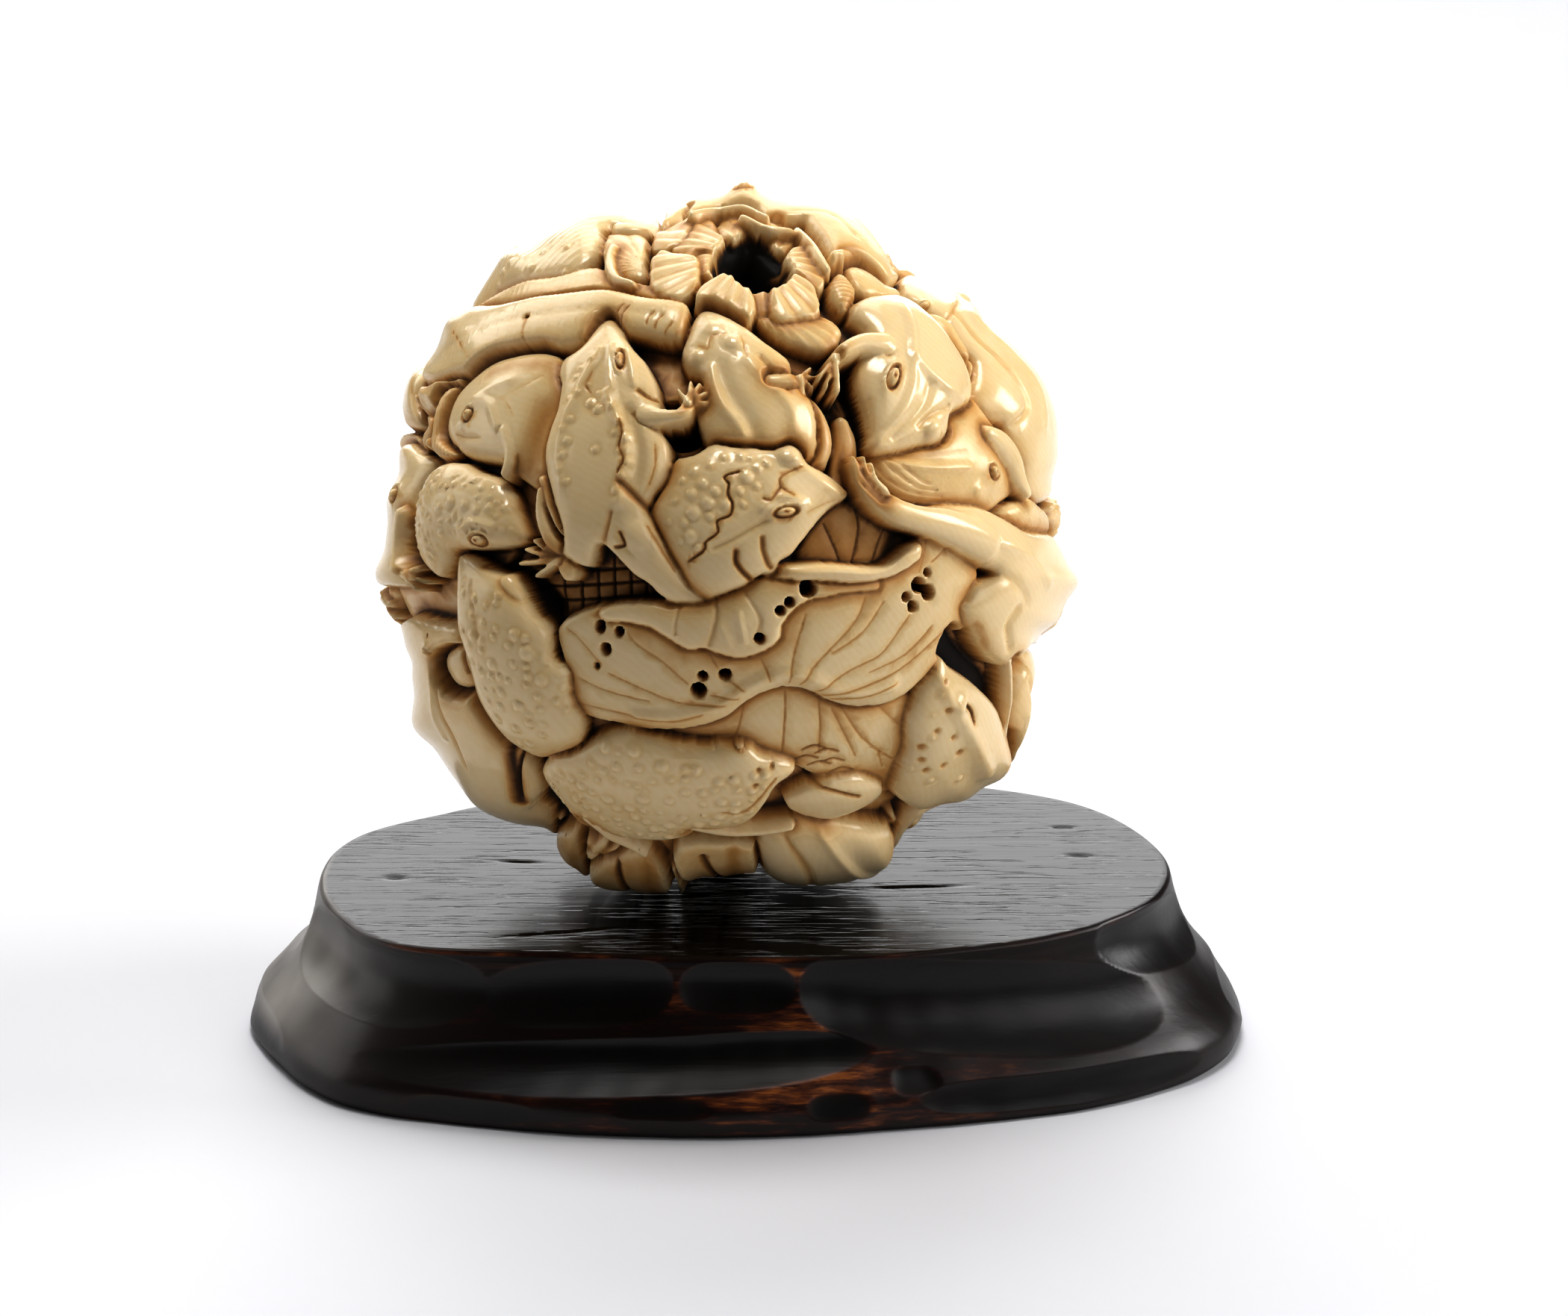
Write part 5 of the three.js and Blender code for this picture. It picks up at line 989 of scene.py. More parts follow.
def flower_and_top(ball):
    """The lotus flower round its opening, which is painted dark as shade, the petals and leaves by
    it, and the frog on top.
    """
    ball.form(pairs(
        -3, 20, -6, 22, -6.4, 25, -4, 27.6, 0, 28.2, 4, 27.8, 8, 26, 10, 23, 9, 20, 4, 18.6
    ), 26, 26.8, 1)
    top = ball.form(pairs(
        -4.3, 28.35, -3.4, 29.4, -2.7, 30, 0, 30.6, 1, 31.2, 1.7, 31.8, 2.6, 31.8, 3.4, 31.2, 4.4, 30.8, 8,
        30.4, 10.4, 30, 12.6, 29, 13.8, 27.6, 15, 25.4, 15.8, 23.6, 15, 22.9, 12, 23.6, 9.7, 24.2, 9.2, 24.9,
        7.6, 26.6, 6.9, 27.1, 4.1, 27.6, 3, 28.3, 1, 28.6, -1, 28.5, -2.7, 28.2, -3.6, 28.1
    ), 28.4, 29.9, 5).shade(0.12)
    top.eye(1.9, 29.8, 0.7, 0.4, 0, 0.3)
    top.groove(-3.4, 29, -0.6, 29.2, 1.6, 29.1, width=0.16, depth=0.2, stain_and_shade=0.4)
    top.groove(6, 28.4, 9, 27.6, 11.6, 26, width=0.3, depth=0.1, stain_and_shade=0.2)
    ball.limb([9.9, 24.6, 0.7, 11.6, 24.7, 0.9, 13.4, 24, 0.7, 15, 23.1, 0.5], 29.6)
    ball.limb([10.2, 23.4, 0.35, 11.8, 23.5, 0.5, 13.4, 22.9, 0.45, 15, 22.5, 0.35], 29)
    leaf = ball.form(pairs(
        10.3, 22.8, 11.4, 22.9, 13, 22.2, 14.6, 21.4, 15.5, 20.8, 12.5, 20.6, 11.2, 21.2
    ), 27, 28.6, 1)
    leaf.ribs(13, 21.6, 0.5, 0.06, 0.15, turn=-20)
    below = ball.form(pairs(
        2.5, 19.1, 4.4, 19.2, 6, 19, 8.3, 18.7, 10.1, 17.7, 10, 16.8, 9.7, 16, 8.6, 15.4, 7.6, 15.7, 6.5,
        16.1, 4.6, 16.9, 3, 18.2
    ), 26.8, 28.6, 1)
    below.ribs(3, 20.4, 0.75, 0.1, 0.2, reach=4.5)
    below.groove(3.2, 17.9, 5, 16.8, 7.4, 15.8, 8.8, 15.7, width=0.5, depth=0.1, stain_and_shade=0.5)
    bud = ball.form(pairs(
        8.7, 21.1, 9.2, 21.8, 9.7, 22.4, 10.2, 22.2, 10.7, 21.3, 11.2, 20.6, 10.5, 19, 9.85, 19.2, 9.1, 20.1
    ), 27, 28.9, 0.9)
    bud.ribs(10, 20.6, 0.5, 0.12, 0.5, turn=20)
    hole = (2.6, 24.6)
    petals = (
        (pairs(
            -2.9, 26.5, -1, 27.4, -0.2, 27, 0.4, 25.7, -0.2, 24.8, -1.2, 24.3, -2.6, 24.2, -4.3, 24.9
        ), 28.6),
        (pairs(0, 27.4, 2, 27.4, 2.9, 27, 2.6, 26.3, 1.3, 25.7, 0.4, 25.8, -0.1, 26.4), 28.4),
        (pairs(3, 27, 4.4, 26.9, 6, 26.2, 6.5, 25.4, 5.6, 24.6, 4.8, 24.8, 3.8, 25.6), 28.3),
        (pairs(5.4, 24.2, 6.2, 25.1, 7.3, 25.2, 8.2, 24.2, 9, 22.6, 8.6, 21.4, 7.7, 21.8, 6.2, 23), 28.7),
        (pairs(-6.1, 26, -4, 27.2, -2.5, 27.6, -3.1, 25.7, -5, 24.9, -6.2, 25.2), 28.6),
        (pairs(-2, 24.4, -1, 24.5, -0.2, 24.2, 0, 23.3, -0.6, 22.6, -1.8, 22.7), 28.4),
        (pairs(2.2, 22.2, 3, 22.6, 4, 22.5, 4.4, 21.6, 4.5, 19.4, 3.2, 19.3, 2.6, 20.4), 28.4),
        (pairs(
            4.2, 21.4, 4.6, 22.4, 5.7, 23.3, 6.4, 22.9, 7.8, 22, 8.5, 20.6, 8.4, 19.4, 7, 19.1, 4.6, 19
        ), 29),
        (pairs(
            -6.1, 24.1, -5.1, 25, -3.4, 24.6, -2, 24.3, -1.8, 22.9, -2, 21.5, -2.9, 20.8, -3.5, 20.6, -5.6,
            21.4, -6.2, 22.8
        ), 28.9),
        (pairs(
            -2.3, 20.4, -1.9, 21.8, -0.8, 22.5, 0.9, 23.2, 1.7, 22.7, 2.3, 21.9, 2.9, 20.9, 3, 19.6, 2.4,
            18.8, 0.5, 18.8, -2, 19.6
        ), 29.1),
    )
    for outline, level in petals:
        petal = ball.form(outline, level - 0.7, level, 0.5)
        petal.ribs(*hole, 0.9, 0.16, 0.24, reach=4.2)
    # The opening is painted black as shade: its walls take full stain, and dark paints its deep fall
    mouth = ball.form(
        pairs(
            -0.2, 24.5, 0.3, 25.4, 1.4, 25.9, 2.6, 26.4, 3.6, 25.5, 4.6, 24.6, 5.5, 23.9, 5.2, 22.8, 4.4,
            22.3, 3.6, 22.3, 2.4, 22.2, 1.5, 23.1, 0.4, 23.4, -0.2, 23.8
        ), 23, 19, 0.4, at=28.5, wall=8, dark=1.2
    )
    mouth.shade(1)
    for stations, crest in (([-2.5, 28, 0.35, -0.5, 28.4, 0.4, 1.6, 28.3, 0.4, 4, 27.8, 0.35], 29.5),
                            ([1.8, 27.6, 0.4, 4, 26.9, 0.5, 6.4, 26.5, 0.4], 29.4),
                            ([6.5, 26.6, 0.4, 7.8, 25.3, 0.5, 8.7, 24, 0.5, 9.2, 23.3, 0.4], 29.3)):
        twig = ball.limb(stations, crest)
        twig.groove(*stations[:2], *stations[3:5], width=0.1, depth=0.05, stain_and_shade=0.4)
    cup = ball.form(pairs(
        -9, 25.6, -9.7, 25.4, -10, 24.8, -9.9, 23.9, -9.5, 22.9, -8.8, 22.2, -8, 21.9, -6.3, 22.1, -6.2,
        23.5, -6.3, 25.9
    ), 27.3, 28.8, 0.9)
    cup.ribs(-6.4, 23.6, 0.6, 0.1, 0.3, reach=3)
    ball.limb([-9.2, 25.3, 0.4, -9.6, 24.2, 0.45, -9, 22.7, 0.45, -7.6, 22.2, 0.4], 29.3)
    rim = ball.form(pairs(
        -9, 25.5, -7.6, 27.1, -6, 27.9, -4.5, 28.3, -2.6, 28.1, -3.3, 27.3, -6.1, 26.1, -8, 25.6
    ), 27.6, 29.5, 0.9)
    rim.hole(-8.3, 25.9, 0.2, 0.3).hole(-7.4, 26.3, 0.2, 0.3)
    rim.groove(-8.2, 25.9, -6, 26.6, -3.6, 27.6, width=0.35, depth=0.05, stain_and_shade=0.4)


FROG_BODY = pairs(
    10, 0, 9.3, 1.4, 7.8, 2.6, 6.4, 3.2, 4.6, 3, 2.4, 3.3, -1.4, 4.6, -4.6, 4.7, -7.6, 3.4, -9.6, 1.4, -10,
    0, -9.6, -1.4, -7.6, -3.4, -4.6, -4.7, -1.4, -4.6, 2.4, -3.3, 4.6, -3, 6.4, -3.2, 7.8, -2.6, 9.3, -1.4
)
FROG_LENGTH = 20.0
PETALS = 34  # petals in the gaps, in a spiral that turns by the golden angle
GOLDEN_ANGLE = 137.5


def whole_frog(ball, longitude, latitude, heading, length, depth, bend, warty):
    """A whole frog in a chart of its own, +x towards the snout: hind legs, fore legs and toes on each
    side, then the body over them."""
    chart = Spot(longitude, latitude, heading, length / FROG_LENGTH, bend)
    top = OUTER - depth
    for side in (1, -1):
        ball.limb([
            0.2, 6.6 * side, 1.0, -4.4, 7.4 * side, 1.0, -6.6, 6.9 * side, 0.8
        ], top - 1.3, chart=chart)
        tips = ((-3.2, 9.2 * side), (-4.2, 9.6 * side), (-5.6, 9.6 * side))
        toes(ball, (-6.4, 6.9 * side), tips, 0.42, top - 1.5, chart)
        ball.limb([
            -6.6, 2.4 * side, 1.9, -2.6, 5.4 * side, 1.9, 0.4, 6.6 * side, 1.2
        ], top - 0.8, chart=chart)
        ball.limb([4, 2.8 * side, 1.2, 1.6, 5.2 * side, 1.0, 4.2, 6.9 * side, 0.8], top - 1.0, chart=chart)
        tips = ((6.6, 8.2 * side), (6.9, 7 * side), (6.4, 5.8 * side))
        toes(ball, (4.2, 6.9 * side), tips, 0.42, top - 1.4, chart)
    body = ball.form(FROG_BODY, top - 2.7, top, 5, chart)
    for side in (1, -1):
        body.eye(6.6, 2 * side, 0.75, 0.6, 0, 0.55)
        body.hole(9.2, 0.5 * side, 0.15, 0.3)
        body.groove(9.5, 0.9 * side, 7.6, 2.2 * side, 5.4, 2.7 * side, width=0.16, depth=0.2, stain_and_shade=0.5)
        body.ridge(5, 1.5 * side, 0, 2.3 * side, -6, 1.6 * side, width=0.35, height=0.25)
    body.groove(-4, 0, -8.6, 0, width=0.4, depth=0.2, stain_and_shade=0.15)
    if warty:
        body.warts(fill=1.2, size=0.4, seed=warty)


def hidden_sides(ball):
    """Sides, back, top and underside: petals in the gaps, a lotus leaf at the back, and frogs."""
    petal = pairs(3.4, 0, 2, 1.5, 0, 2.1, -2.4, 1.7, -3.6, 0, -2.4, -1.7, 0, -2.1, 2, -1.5)
    for k in range(PETALS):
        latitude = math.degrees(math.asin(1 - 2 * (k + 0.5) / PETALS))
        longitude = 60 + (k * GOLDEN_ANGLE) % 240
        made = ball.form(petal, 25.4, 27.4, 0.9, Spot(longitude, latitude, k * 77.0, 1.1))
        made.ribs(-5, 0, 0.5, 0.14, 0.35, reach=5)
    turn = np.arange(24) * 2 * np.pi / 24
    reach = 10.6 + 0.8 * np.cos(6 * turn)
    outline = np.stack([reach * np.cos(turn), 0.85 * reach * np.sin(turn)], 1)
    leaf = ball.form(outline, 26.6, 28.4, 1.3, Spot(184, 10, 0))
    for a in turn[::2]:
        leaf.groove(0.8 * math.cos(a), 0.8 * math.sin(a), 9 * math.cos(a + 0.1), 7.6 * math.sin(a + 0.1),
                    width=0.11, depth=0.1, stain_and_shade=0.6)
    for x, y, size in ((4, 3, 0.7), (5.2, 2.4, 0.5), (-3, -4, 0.7), (-4.2, -3.4, 0.5), (1, -5.6, 0.5)):
        leaf.hole(x, y, size)
    # Longitude, latitude, heading, length, depth below the highest, bend, and the warts' seed or 0
    places = (
        (86, 38, 200, 19, 0.3, 1, 0), (104, 4, 20, 20, 0.1, -1, 21), (84, -34, 150, 18, 0.4, 0, 0),
        (128, 42, 150, 20, 0.1, 1, 22), (142, 8, 250, 20, 0.1, 0.6, 0), (120, -30, 330, 20, 0.2, 0, 23),
        (180, 54, 90, 19, 0.2, -1, 0), (184, -34, 40, 20, 0.1, 1, 0), (152, -44, 200, 18, 0.4, 0, 24),
        (214, 22, 170, 21, 0, 0.6, 25), (226, -16, 300, 20, 0.1, -1, 0), (246, 48, 20, 19, 0.3, 0, 26),
        (254, 12, 200, 19, 0.2, 1, 0), (262, -26, 160, 20, 0.2, 0, 27), (222, -54, 100, 19, 0.3, 1, 0),
        (284, -46, 60, 18, 0.5, 0, 28), (60, -62, 280, 18, 0.5, 0, 0), (140, -76, 10, 18, 0.6, 0, 0),
        (330, -66, 120, 17, 0.6, 0, 0), (150, 78, 200, 17, 0.6, 0, 29), (286, 34, 250, 15, 0.8, 0, 0),
    )
    for place in places:
        whole_frog(ball, *place)
    ball.limb([-2.5, 0, 5, 2.5, 0.5, 5], OUTER, 0.75, Spot(0, -90, 0))


# The ball's outer outline in the drawing, in order round from the right
OUTLINE = pairs(
    29.1, 0, 29.1, 3, 28.7, 5.4, 29.2, 7.2, 29.2, 8.9, 29.1, 10.5, 28.7, 12.1, 28, 13.7, 27.1, 15.1, 25.9,
    16.4, 24.7, 17.6, 23.5, 18.5, 22.5, 19.6, 22.3, 20.2, 21.3, 21, 20.3, 21.6, 19.7, 21.6, 18, 22.6, 17.1,
    23, 16.3, 23.7, 15.5, 23.3, 14.4, 24.9, 12.9, 27, 11.8, 28.1, 10, 29.1, 8, 29.5, 4, 29.9, 3.2, 30.3, 2.4,
    30.7, 1.6, 30.6, 1, 30.3, 0, 29.9, -2.7, 29.6, -3.6, 29.1, -4.4, 28.5, -6.4, 28.1, -8, 28.6, -10, 28.9,
    -12, 28.6, -14.5, 27.2, -16.5, 25.8, -17.8, 25.5, -18.7, 24.9, -19.2, 24.1, -20.3, 22.4, -21.6, 20.6,
    -22.8, 19.8, -23.7, 19.1, -24.4, 17, -25.1, 16, -26.1, 15.3, -26.9, 14.2, -27.3, 13, -27.5, 11.5, -27.2,
    9.8, -27.9, 8.4, -27.9, 7.2, -27.8, 6, -28.6, 4.5, -28.9, 3.5, -28.8, 2.1, -29, 0.1, -29.2, -1, -30,
    -2.6, -29.7, -4.1, -29.3, -5, -28.5, -6.6, -27.5, -7.9, -27.2, -9, -26.5, -10.4, -26.6, -11.8, -26.4,
    -13, -26.7, -14.8, -26.7, -15.8, -26, -16.8, -25, -17.6, -23.6, -19.6, -22.6, -20.9, -21.4, -22.5, -20.3,
    -23.3, -19, -23.9, -17.5, -24.4, -14.9, -24.9, -14.2, -26.2, -13.5, -27.5, -12.4, -28.4, -11.6, -29.2,
    -9.6, -30, -7.4, -30.2, -5.8, -30.6, -3.2, -30.1, -2, -29, -0.4, -28.9, 1.5, -28.8, 3.6, -28.6, 4.5,
    -29.2, 5.6, -29.6, 7.2, -29.8, 9.9, -29.5, 11.6, -29.2, 12.2, -28.8, 14.4, -28.2, 15, -27.2, 15.7, -25.4,
    17, -24.4, 18.4, -23.2, 20, -22.7, 21.3, -22.4, 23, -21, 24, -20.7, 24.9, -19.9, 25.5, -18.9, 25.6,
    -17.9, 26.3, -16.3, 26.9, -14.7, 27.1, -13, 27.3, -11, 27.2, -9.6, 27.4, -8.8, 28.2, -7.7, 29.3, -6.9,
    29.6, -5.5, 30.3, -4.4, 31, -3.3, 30.6, -2.7, 29.9, -1.9, 29.6, -0.9,
)
OUTLINE_BINS = 720  # sectors of half a degree


def true_outline(ball):
    """Brings the ball's outline, seen from the station, to the drawn one. In each narrow sector round
    the line of sight the farthest point seen is found, and the heights near the limb are multiplied by
    the drawn distance over that, which fades out 40 degrees before and behind the limb."""
    x, y = FRONT.seen(ball.directions * ball.height[:, None]).T
    sector = ((np.arctan2(y, x) / (2 * np.pi)) % 1) * OUTLINE_BINS
    ring = curve(OUTLINE, closed=True, steps=6)
    turn = (np.arctan2(ring[:, 1], ring[:, 0]) / (2 * np.pi)) % 1 * OUTLINE_BINS
    order = np.argsort(turn)
    middles = np.arange(OUTLINE_BINS) + 0.5
    drawn = np.interp(middles, turn[order], np.hypot(*ring[order].T), period=OUTLINE_BINS)
    now = np.zeros(OUTLINE_BINS)
    np.maximum.at(now, sector.astype(int) % OUTLINE_BINS, np.hypot(x, y))
    now = np.maximum(np.maximum(np.roll(now, 1), now), np.roll(now, -1))
    ratio = drawn / now
    ratio = sum(np.roll(ratio, k) for k in range(-2, 3)) / 5
    share = np.interp(sector, middles, ratio, period=OUTLINE_BINS)
    near = 1 - smooth_step(0.02, 0.62, np.abs(ball.directions @ FRONT.toward))
    ball.height *= 1 + near * (share - 1)


def ball_net(cells, bias):
    """The six squares of a cube blown up to a unit round, each cut into cells by tan(pi/4 s), which
    keeps them even, then drawn towards the front by adding bias times its direction."""
    lattice, faces = [], []
    i, j = np.meshgrid(np.arange(cells + 1), np.arange(cells + 1), indexing="ij")
    place = np.array([1, cells + 1, (cells + 1) ** 2])
    for axis in range(3):
        for far in (0, 1):
            corner = np.zeros((cells + 1, cells + 1, 3), int)
            corner[..., axis] = far * cells
            corner[..., (axis + 1) % 3] = i
            corner[..., (axis + 2) % 3] = j
            key = corner @ place
            quad = np.stack([key[:-1, :-1], key[1:, :-1], key[1:, 1:], key[:-1, 1:]], -1).reshape(-1, 4)
            faces.append(quad if far else quad[:, ::-1])
            lattice.append(corner.reshape(-1, 3))
    lattice = np.vstack(lattice)
    keys, first = np.unique(lattice @ place, return_index=True)
    corners = np.tan((2 * lattice[first] / cells - 1) * np.pi / 4)
    directions = unit(unit(corners) + bias * FRONT.toward)
    return directions, np.searchsorted(keys, np.vstack(faces))


def spread(values, edges, passes):
    """Each point takes the mean of itself and its neighbours, as many times as there are passes."""
    count = len(values)
    degree = np.bincount(edges.ravel(), minlength=count) + 1.0
    for _ in range(passes):
        total = values.copy()
        total += np.bincount(edges[:, 0], values[edges[:, 1]], count)
        total += np.bincount(edges[:, 1], values[edges[:, 0]], count)
        values = total / degree
    return values


def build_mesh(name, points, faces, attributes=None):
    """A mesh object from arrays in millimetres, smooth shaded, with a value at each point."""
    mesh = bpy.data.meshes.new(name)
    mesh.vertices.add(len(points))
    mesh.vertices.foreach_set("co", (points * MM).astype(np.float32).ravel())
    size = faces.shape[1]
    mesh.loops.add(faces.size)
    mesh.loops.foreach_set("vertex_index", faces.astype(np.int32).ravel())
    mesh.polygons.add(len(faces))
    mesh.polygons.foreach_set("loop_start", np.arange(len(faces), dtype=np.int32) * size)
    mesh.update(calc_edges=True)
    mesh.polygons.foreach_set("use_smooth", np.ones(len(faces), bool))
    for key, values in (attributes or {}).items():
        layer = mesh.attributes.new(key, "FLOAT", "POINT")
        layer.data.foreach_set("value", values.astype(np.float32))
    mesh.validate()
    piece = bpy.data.objects.new(name, mesh)
    bpy.context.scene.collection.objects.link(piece)
    return piece


def apply_modifiers(piece):
    """Puts what the modifiers make into the mesh."""
    depsgraph = bpy.context.evaluated_depsgraph_get()
    made = bpy.data.meshes.new_from_object(piece.evaluated_get(depsgraph), depsgraph=depsgraph)
    piece.modifiers.clear()
    old = piece.data
    piece.data = made
    made.name = piece.name
    bpy.data.meshes.remove(old)


def painted_depth_shade(ball):
    """Painted shade in the depths, for the dark of deep places: one below 23.6 mm and fading out at
    25.8 mm from the ball's middle, and one inside the flower's opening as it is seen from the front,
    below the tips of its petals."""
    deep = smooth_step(25.8, 23.6, ball.height)
    # Only points seen less than 5 mm from the opening's middle, either way, need the distance
    seen = FRONT.seen(ball.directions * ball.height[:, None])
    beside = np.abs(seen - OPENING.mean(0)).max(1) < 5
    near = np.flatnonzero(beside & (ball.directions @ FRONT.toward > 0))
    inward = away(seen[near], OPENING, True)[0] * np.where(within(seen[near], OPENING), 1, -1)
    below = smooth_step(28.7, 28.3, ball.height[near])
    deep[near] = np.maximum(deep[near], smooth_step(-0.05, 0.25, inward) * below)
    return deep


def stain_and_painted_shade(ball, edges):
    """The stain and painted shade at each point, from nought to one. It gathers in hollows and dips,
    which lie below the surface once that is spread wide, in cracks, which lie below it once it is
    spread a little, and on low ground, each by its weight; in the hollows, dips and low ground it is
    painted shade as well as stain. Where the marks and walls laid more, theirs counts. Edges that
    stand proud of the spread surface are rubbed cleaner, and the depths are painted dark as shade."""
    height = ball.height
    fine = spread(height, edges, FINE)
    broad = spread(fine, edges, BROAD)
    wide = spread(broad, edges, WIDE)
    hollow = np.clip((broad - height - 0.1) / 1.6, 0, 1)
    crack = np.clip((fine - height - 0.03) / 0.35, 0, 1)
    low = np.clip((27.4 - height) / 3, 0, 1)
    dip = np.clip((wide - height) / 2.4, 0, 1)
    proud = np.clip((height - fine) / 0.25, 0, 1)
    laid = spread(ball.stain_and_shade, edges, 1)
    # Hollows, dips and low ground darken as painted shade as well as stain
    gathered = 0.52 * hollow + 0.28 * crack + 0.52 * low + 0.2 * dip
    stain_and_shade = np.clip(np.maximum(gathered, laid) + 0.25 * hollow * low, 0, 1)
    stain_and_shade *= 1 - 0.6 * proud * (1 - smooth_step(0.6, 0.9, laid))
    return np.maximum(stain_and_shade, painted_depth_shade(ball))


def thin_out(piece, directions, stain_and_shade, edges, share):
    """Thins the mesh to that share of its triangles. The guard group holds less weight, in steps, the
    faster the stain changes in front, and the thinning spares what has little weight."""
    change = np.abs(stain_and_shade - spread(stain_and_shade, edges, 1))
    sharp = smooth_step(0.004, 0.04, change) * smooth_step(-0.2, 0.3, directions @ FRONT.toward)
    level = np.round(GUARD_STEPS * sharp).astype(int)
    group = piece.vertex_groups.new(name="guard")
    for step in range(GUARD_STEPS + 1):
        group.add(np.flatnonzero(level == step).tolist(), 1 - 0.12 * step, "REPLACE")
    thin = piece.modifiers.new("thin", "DECIMATE")
    thin.vertex_group = group.name
    # The cost of a collapse is tiny at this size, in metres, and so is the group's share in it
    thin.vertex_group_factor = 3e-6
    thin.ratio = share
    apply_modifiers(piece)


def carve_ball(settings):
    """The ball's mesh. The forms are laid from the ground up, worn a little and brought to the drawn
    outline, then marked. Four slow waves, each 0.03 mm high, leave no face quite flat, and the
    underside is rubbed level at the depth of the seat."""
    cells = settings.cells
    directions, faces = ball_net(cells, FRONT_BIAS)
    edges = np.vstack([faces[:, [0, 1]], faces[:, [1, 2]]])
    ball = Ball(directions)
    for carve in (hidden_sides, lotus_leaf, rolled_leaves, flower_and_top, upper_left_creatures,
                  left_creatures, middle_creatures, right_creatures, lower_creatures, climbing_toad):
        carve(ball)
    ball.height = spread(ball.height, edges, WORN)
    true_outline(ball)
    ball.cut_marks()
    for axis, phase in (((9, 14, 4), 0.3), ((-13, 5, 11), 1.7), ((6, -9, 15), 2.9), ((17, 8, -7), 4.1)):
        ball.height += 0.03 * np.sin(directions @ np.array(axis) + phase)
    stain_and_shade = stain_and_painted_shade(ball, edges)
    down = -directions[:, 2]
    height = np.where(down * ball.height > SEAT, SEAT / down, ball.height)
    piece = build_mesh("carved_ball", directions * height[:, None] + BALL_MIDDLE, faces, {"stain_and_shade": stain_and_shade})
    thin_out(piece, directions, stain_and_shade, edges, settings.triangles / (2 * len(faces)))
    return piece


def linear(color):
    """sRGB hex text to linear colour: each channel c is c/12.92, or ((c + 0.055)/1.055) to 2.4."""
    channels = [int(color[k:k + 2], 16) / 255 for k in (1, 3, 5)]
    return tuple(c / 12.92 if c <= 0.04045 else ((c + 0.055) / 1.055) ** 2.4 for c in channels) + (1.0,)


def add_node(tree, kind, settings=None, **links):
    """One node with its settings and its inputs. An input is named in words with _ for a space, or by
    its number after the letter i, and takes a value or another node's output."""
    node = tree.nodes.new(kind)
    for key, value in (settings or {}).items():
        setattr(node, key, value)
    for key, value in links.items():
        socket = node.inputs[int(key[1:]) if key[1:].isdigit() and key[0] == "i" else key.replace("_", " ")]
        if isinstance(value, bpy.types.NodeSocket):
            tree.links.new(value, socket)
        else:
            socket.default_value = value
    return node


def ramp(tree, factor, stops):
    """A colour ramp over the factor, from (place, colour) stops, where a colour is hex text or linear."""
    node = add_node(tree, "ShaderNodeValToRGB", Fac=factor)
    elements = node.color_ramp.elements
    while len(elements) < len(stops):
        elements.new(0.5)
    for element, (place, color) in zip(elements, stops):
        element.position = place
        element.color = linear(color) if isinstance(color, str) else (*color, 1.0)
    return node.outputs[0]


def new_material(name):
    """A material of that name, with its node tree and its shader."""
    material = bpy.data.materials.new(name)
    material.use_nodes = True
    tree = material.node_tree
    shader = next(n for n in tree.nodes if n.type == "BSDF_PRINCIPLED")
    return material, tree, shader


def ivory_material(settings):
    """Polished elephant ivory, carved, then stained in its hollows: cream and a little translucent, so
    that its edges glow, with faint crossing growth lines and brown to black in what is cut, which is
    stain and painted shade together."""
    material, tree, shader = new_material("stained ivory")
    place = add_node(tree, "ShaderNodeTexCoord").outputs["Object"]
    stain_and_shade = add_node(tree, "ShaderNodeAttribute", {"attribute_name": "stain_and_shade"}).outputs["Fac"]
    cloud = add_node(tree, "ShaderNodeTexNoise", Vector=place, Scale=110.0, Detail=4.0).outputs[0]
    grain = add_node(tree, "ShaderNodeTexNoise", Vector=place, Scale=900.0, Detail=3.0).outputs[0]
    lines = add_node(tree, "ShaderNodeTexWave", {"bands_direction": "DIAGONAL"}, Vector=place, Scale=700.0,
                     Distortion=4.0, Detail=2.0, Detail_Scale=1.2).outputs["Fac"]
    patchy = add_node(
        tree, "ShaderNodeMath", {"operation": "MULTIPLY_ADD"}, i0=cloud, i1=0.3, i2=-0.15
    ).outputs[0]
    fine = add_node(
        tree, "ShaderNodeMath", {"operation": "MULTIPLY_ADD"}, i0=grain, i1=0.12, i2=-0.06
    ).outputs[0]
    shift = add_node(tree, "ShaderNodeMath", i0=patchy, i1=fine).outputs[0]
    held = add_node(tree, "ShaderNodeMath", {"operation": "MULTIPLY"}, i0=shift, i1=0.9).outputs[0]
    amount = add_node(tree, "ShaderNodeMath", {"use_clamp": True}, i0=stain_and_shade, i1=held).outputs[0]
    # Cream to brown to black as the stain deepens: the dark end is painted shade in the deep places
    color = ramp(tree, amount, (
        (0.0, settings.cream), (0.1, "#E3C999"), (0.27, "#C99D60"), (0.46, "#966B39"), (0.66, "#513416"),
        (0.88, "#140B05"),
    ))
    faint = add_node(tree, "ShaderNodeMath", {"operation": "MULTIPLY"}, i0=lines, i1=0.25).outputs[0]
    tint = add_node(tree, "ShaderNodeMixRGB", {"blend_type": "MULTIPLY"}, Fac=faint, Color1=color,
                    Color2=linear("#FBF3E2")).outputs[0]
    tree.links.new(tint, shader.inputs["Base Color"])
    rough = add_node(
        tree, "ShaderNodeMapRange", Value=amount, From_Max=0.6, To_Min=0.18, To_Max=0.75
    ).outputs[0]
    tree.links.new(rough, shader.inputs["Roughness"])
    shader.inputs["IOR"].default_value = 1.48
    shader.inputs["Subsurface Weight"].default_value = 0.15
    shader.inputs["Subsurface Radius"].default_value = (1.0, 0.62, 0.32)
    shader.inputs["Subsurface Scale"].default_value = 0.0009
    bump = add_node(tree, "ShaderNodeBump", Strength=0.12, Distance=0.0002, Height=grain).outputs[0]
    tree.links.new(bump, shader.inputs["Normal"])
    return material


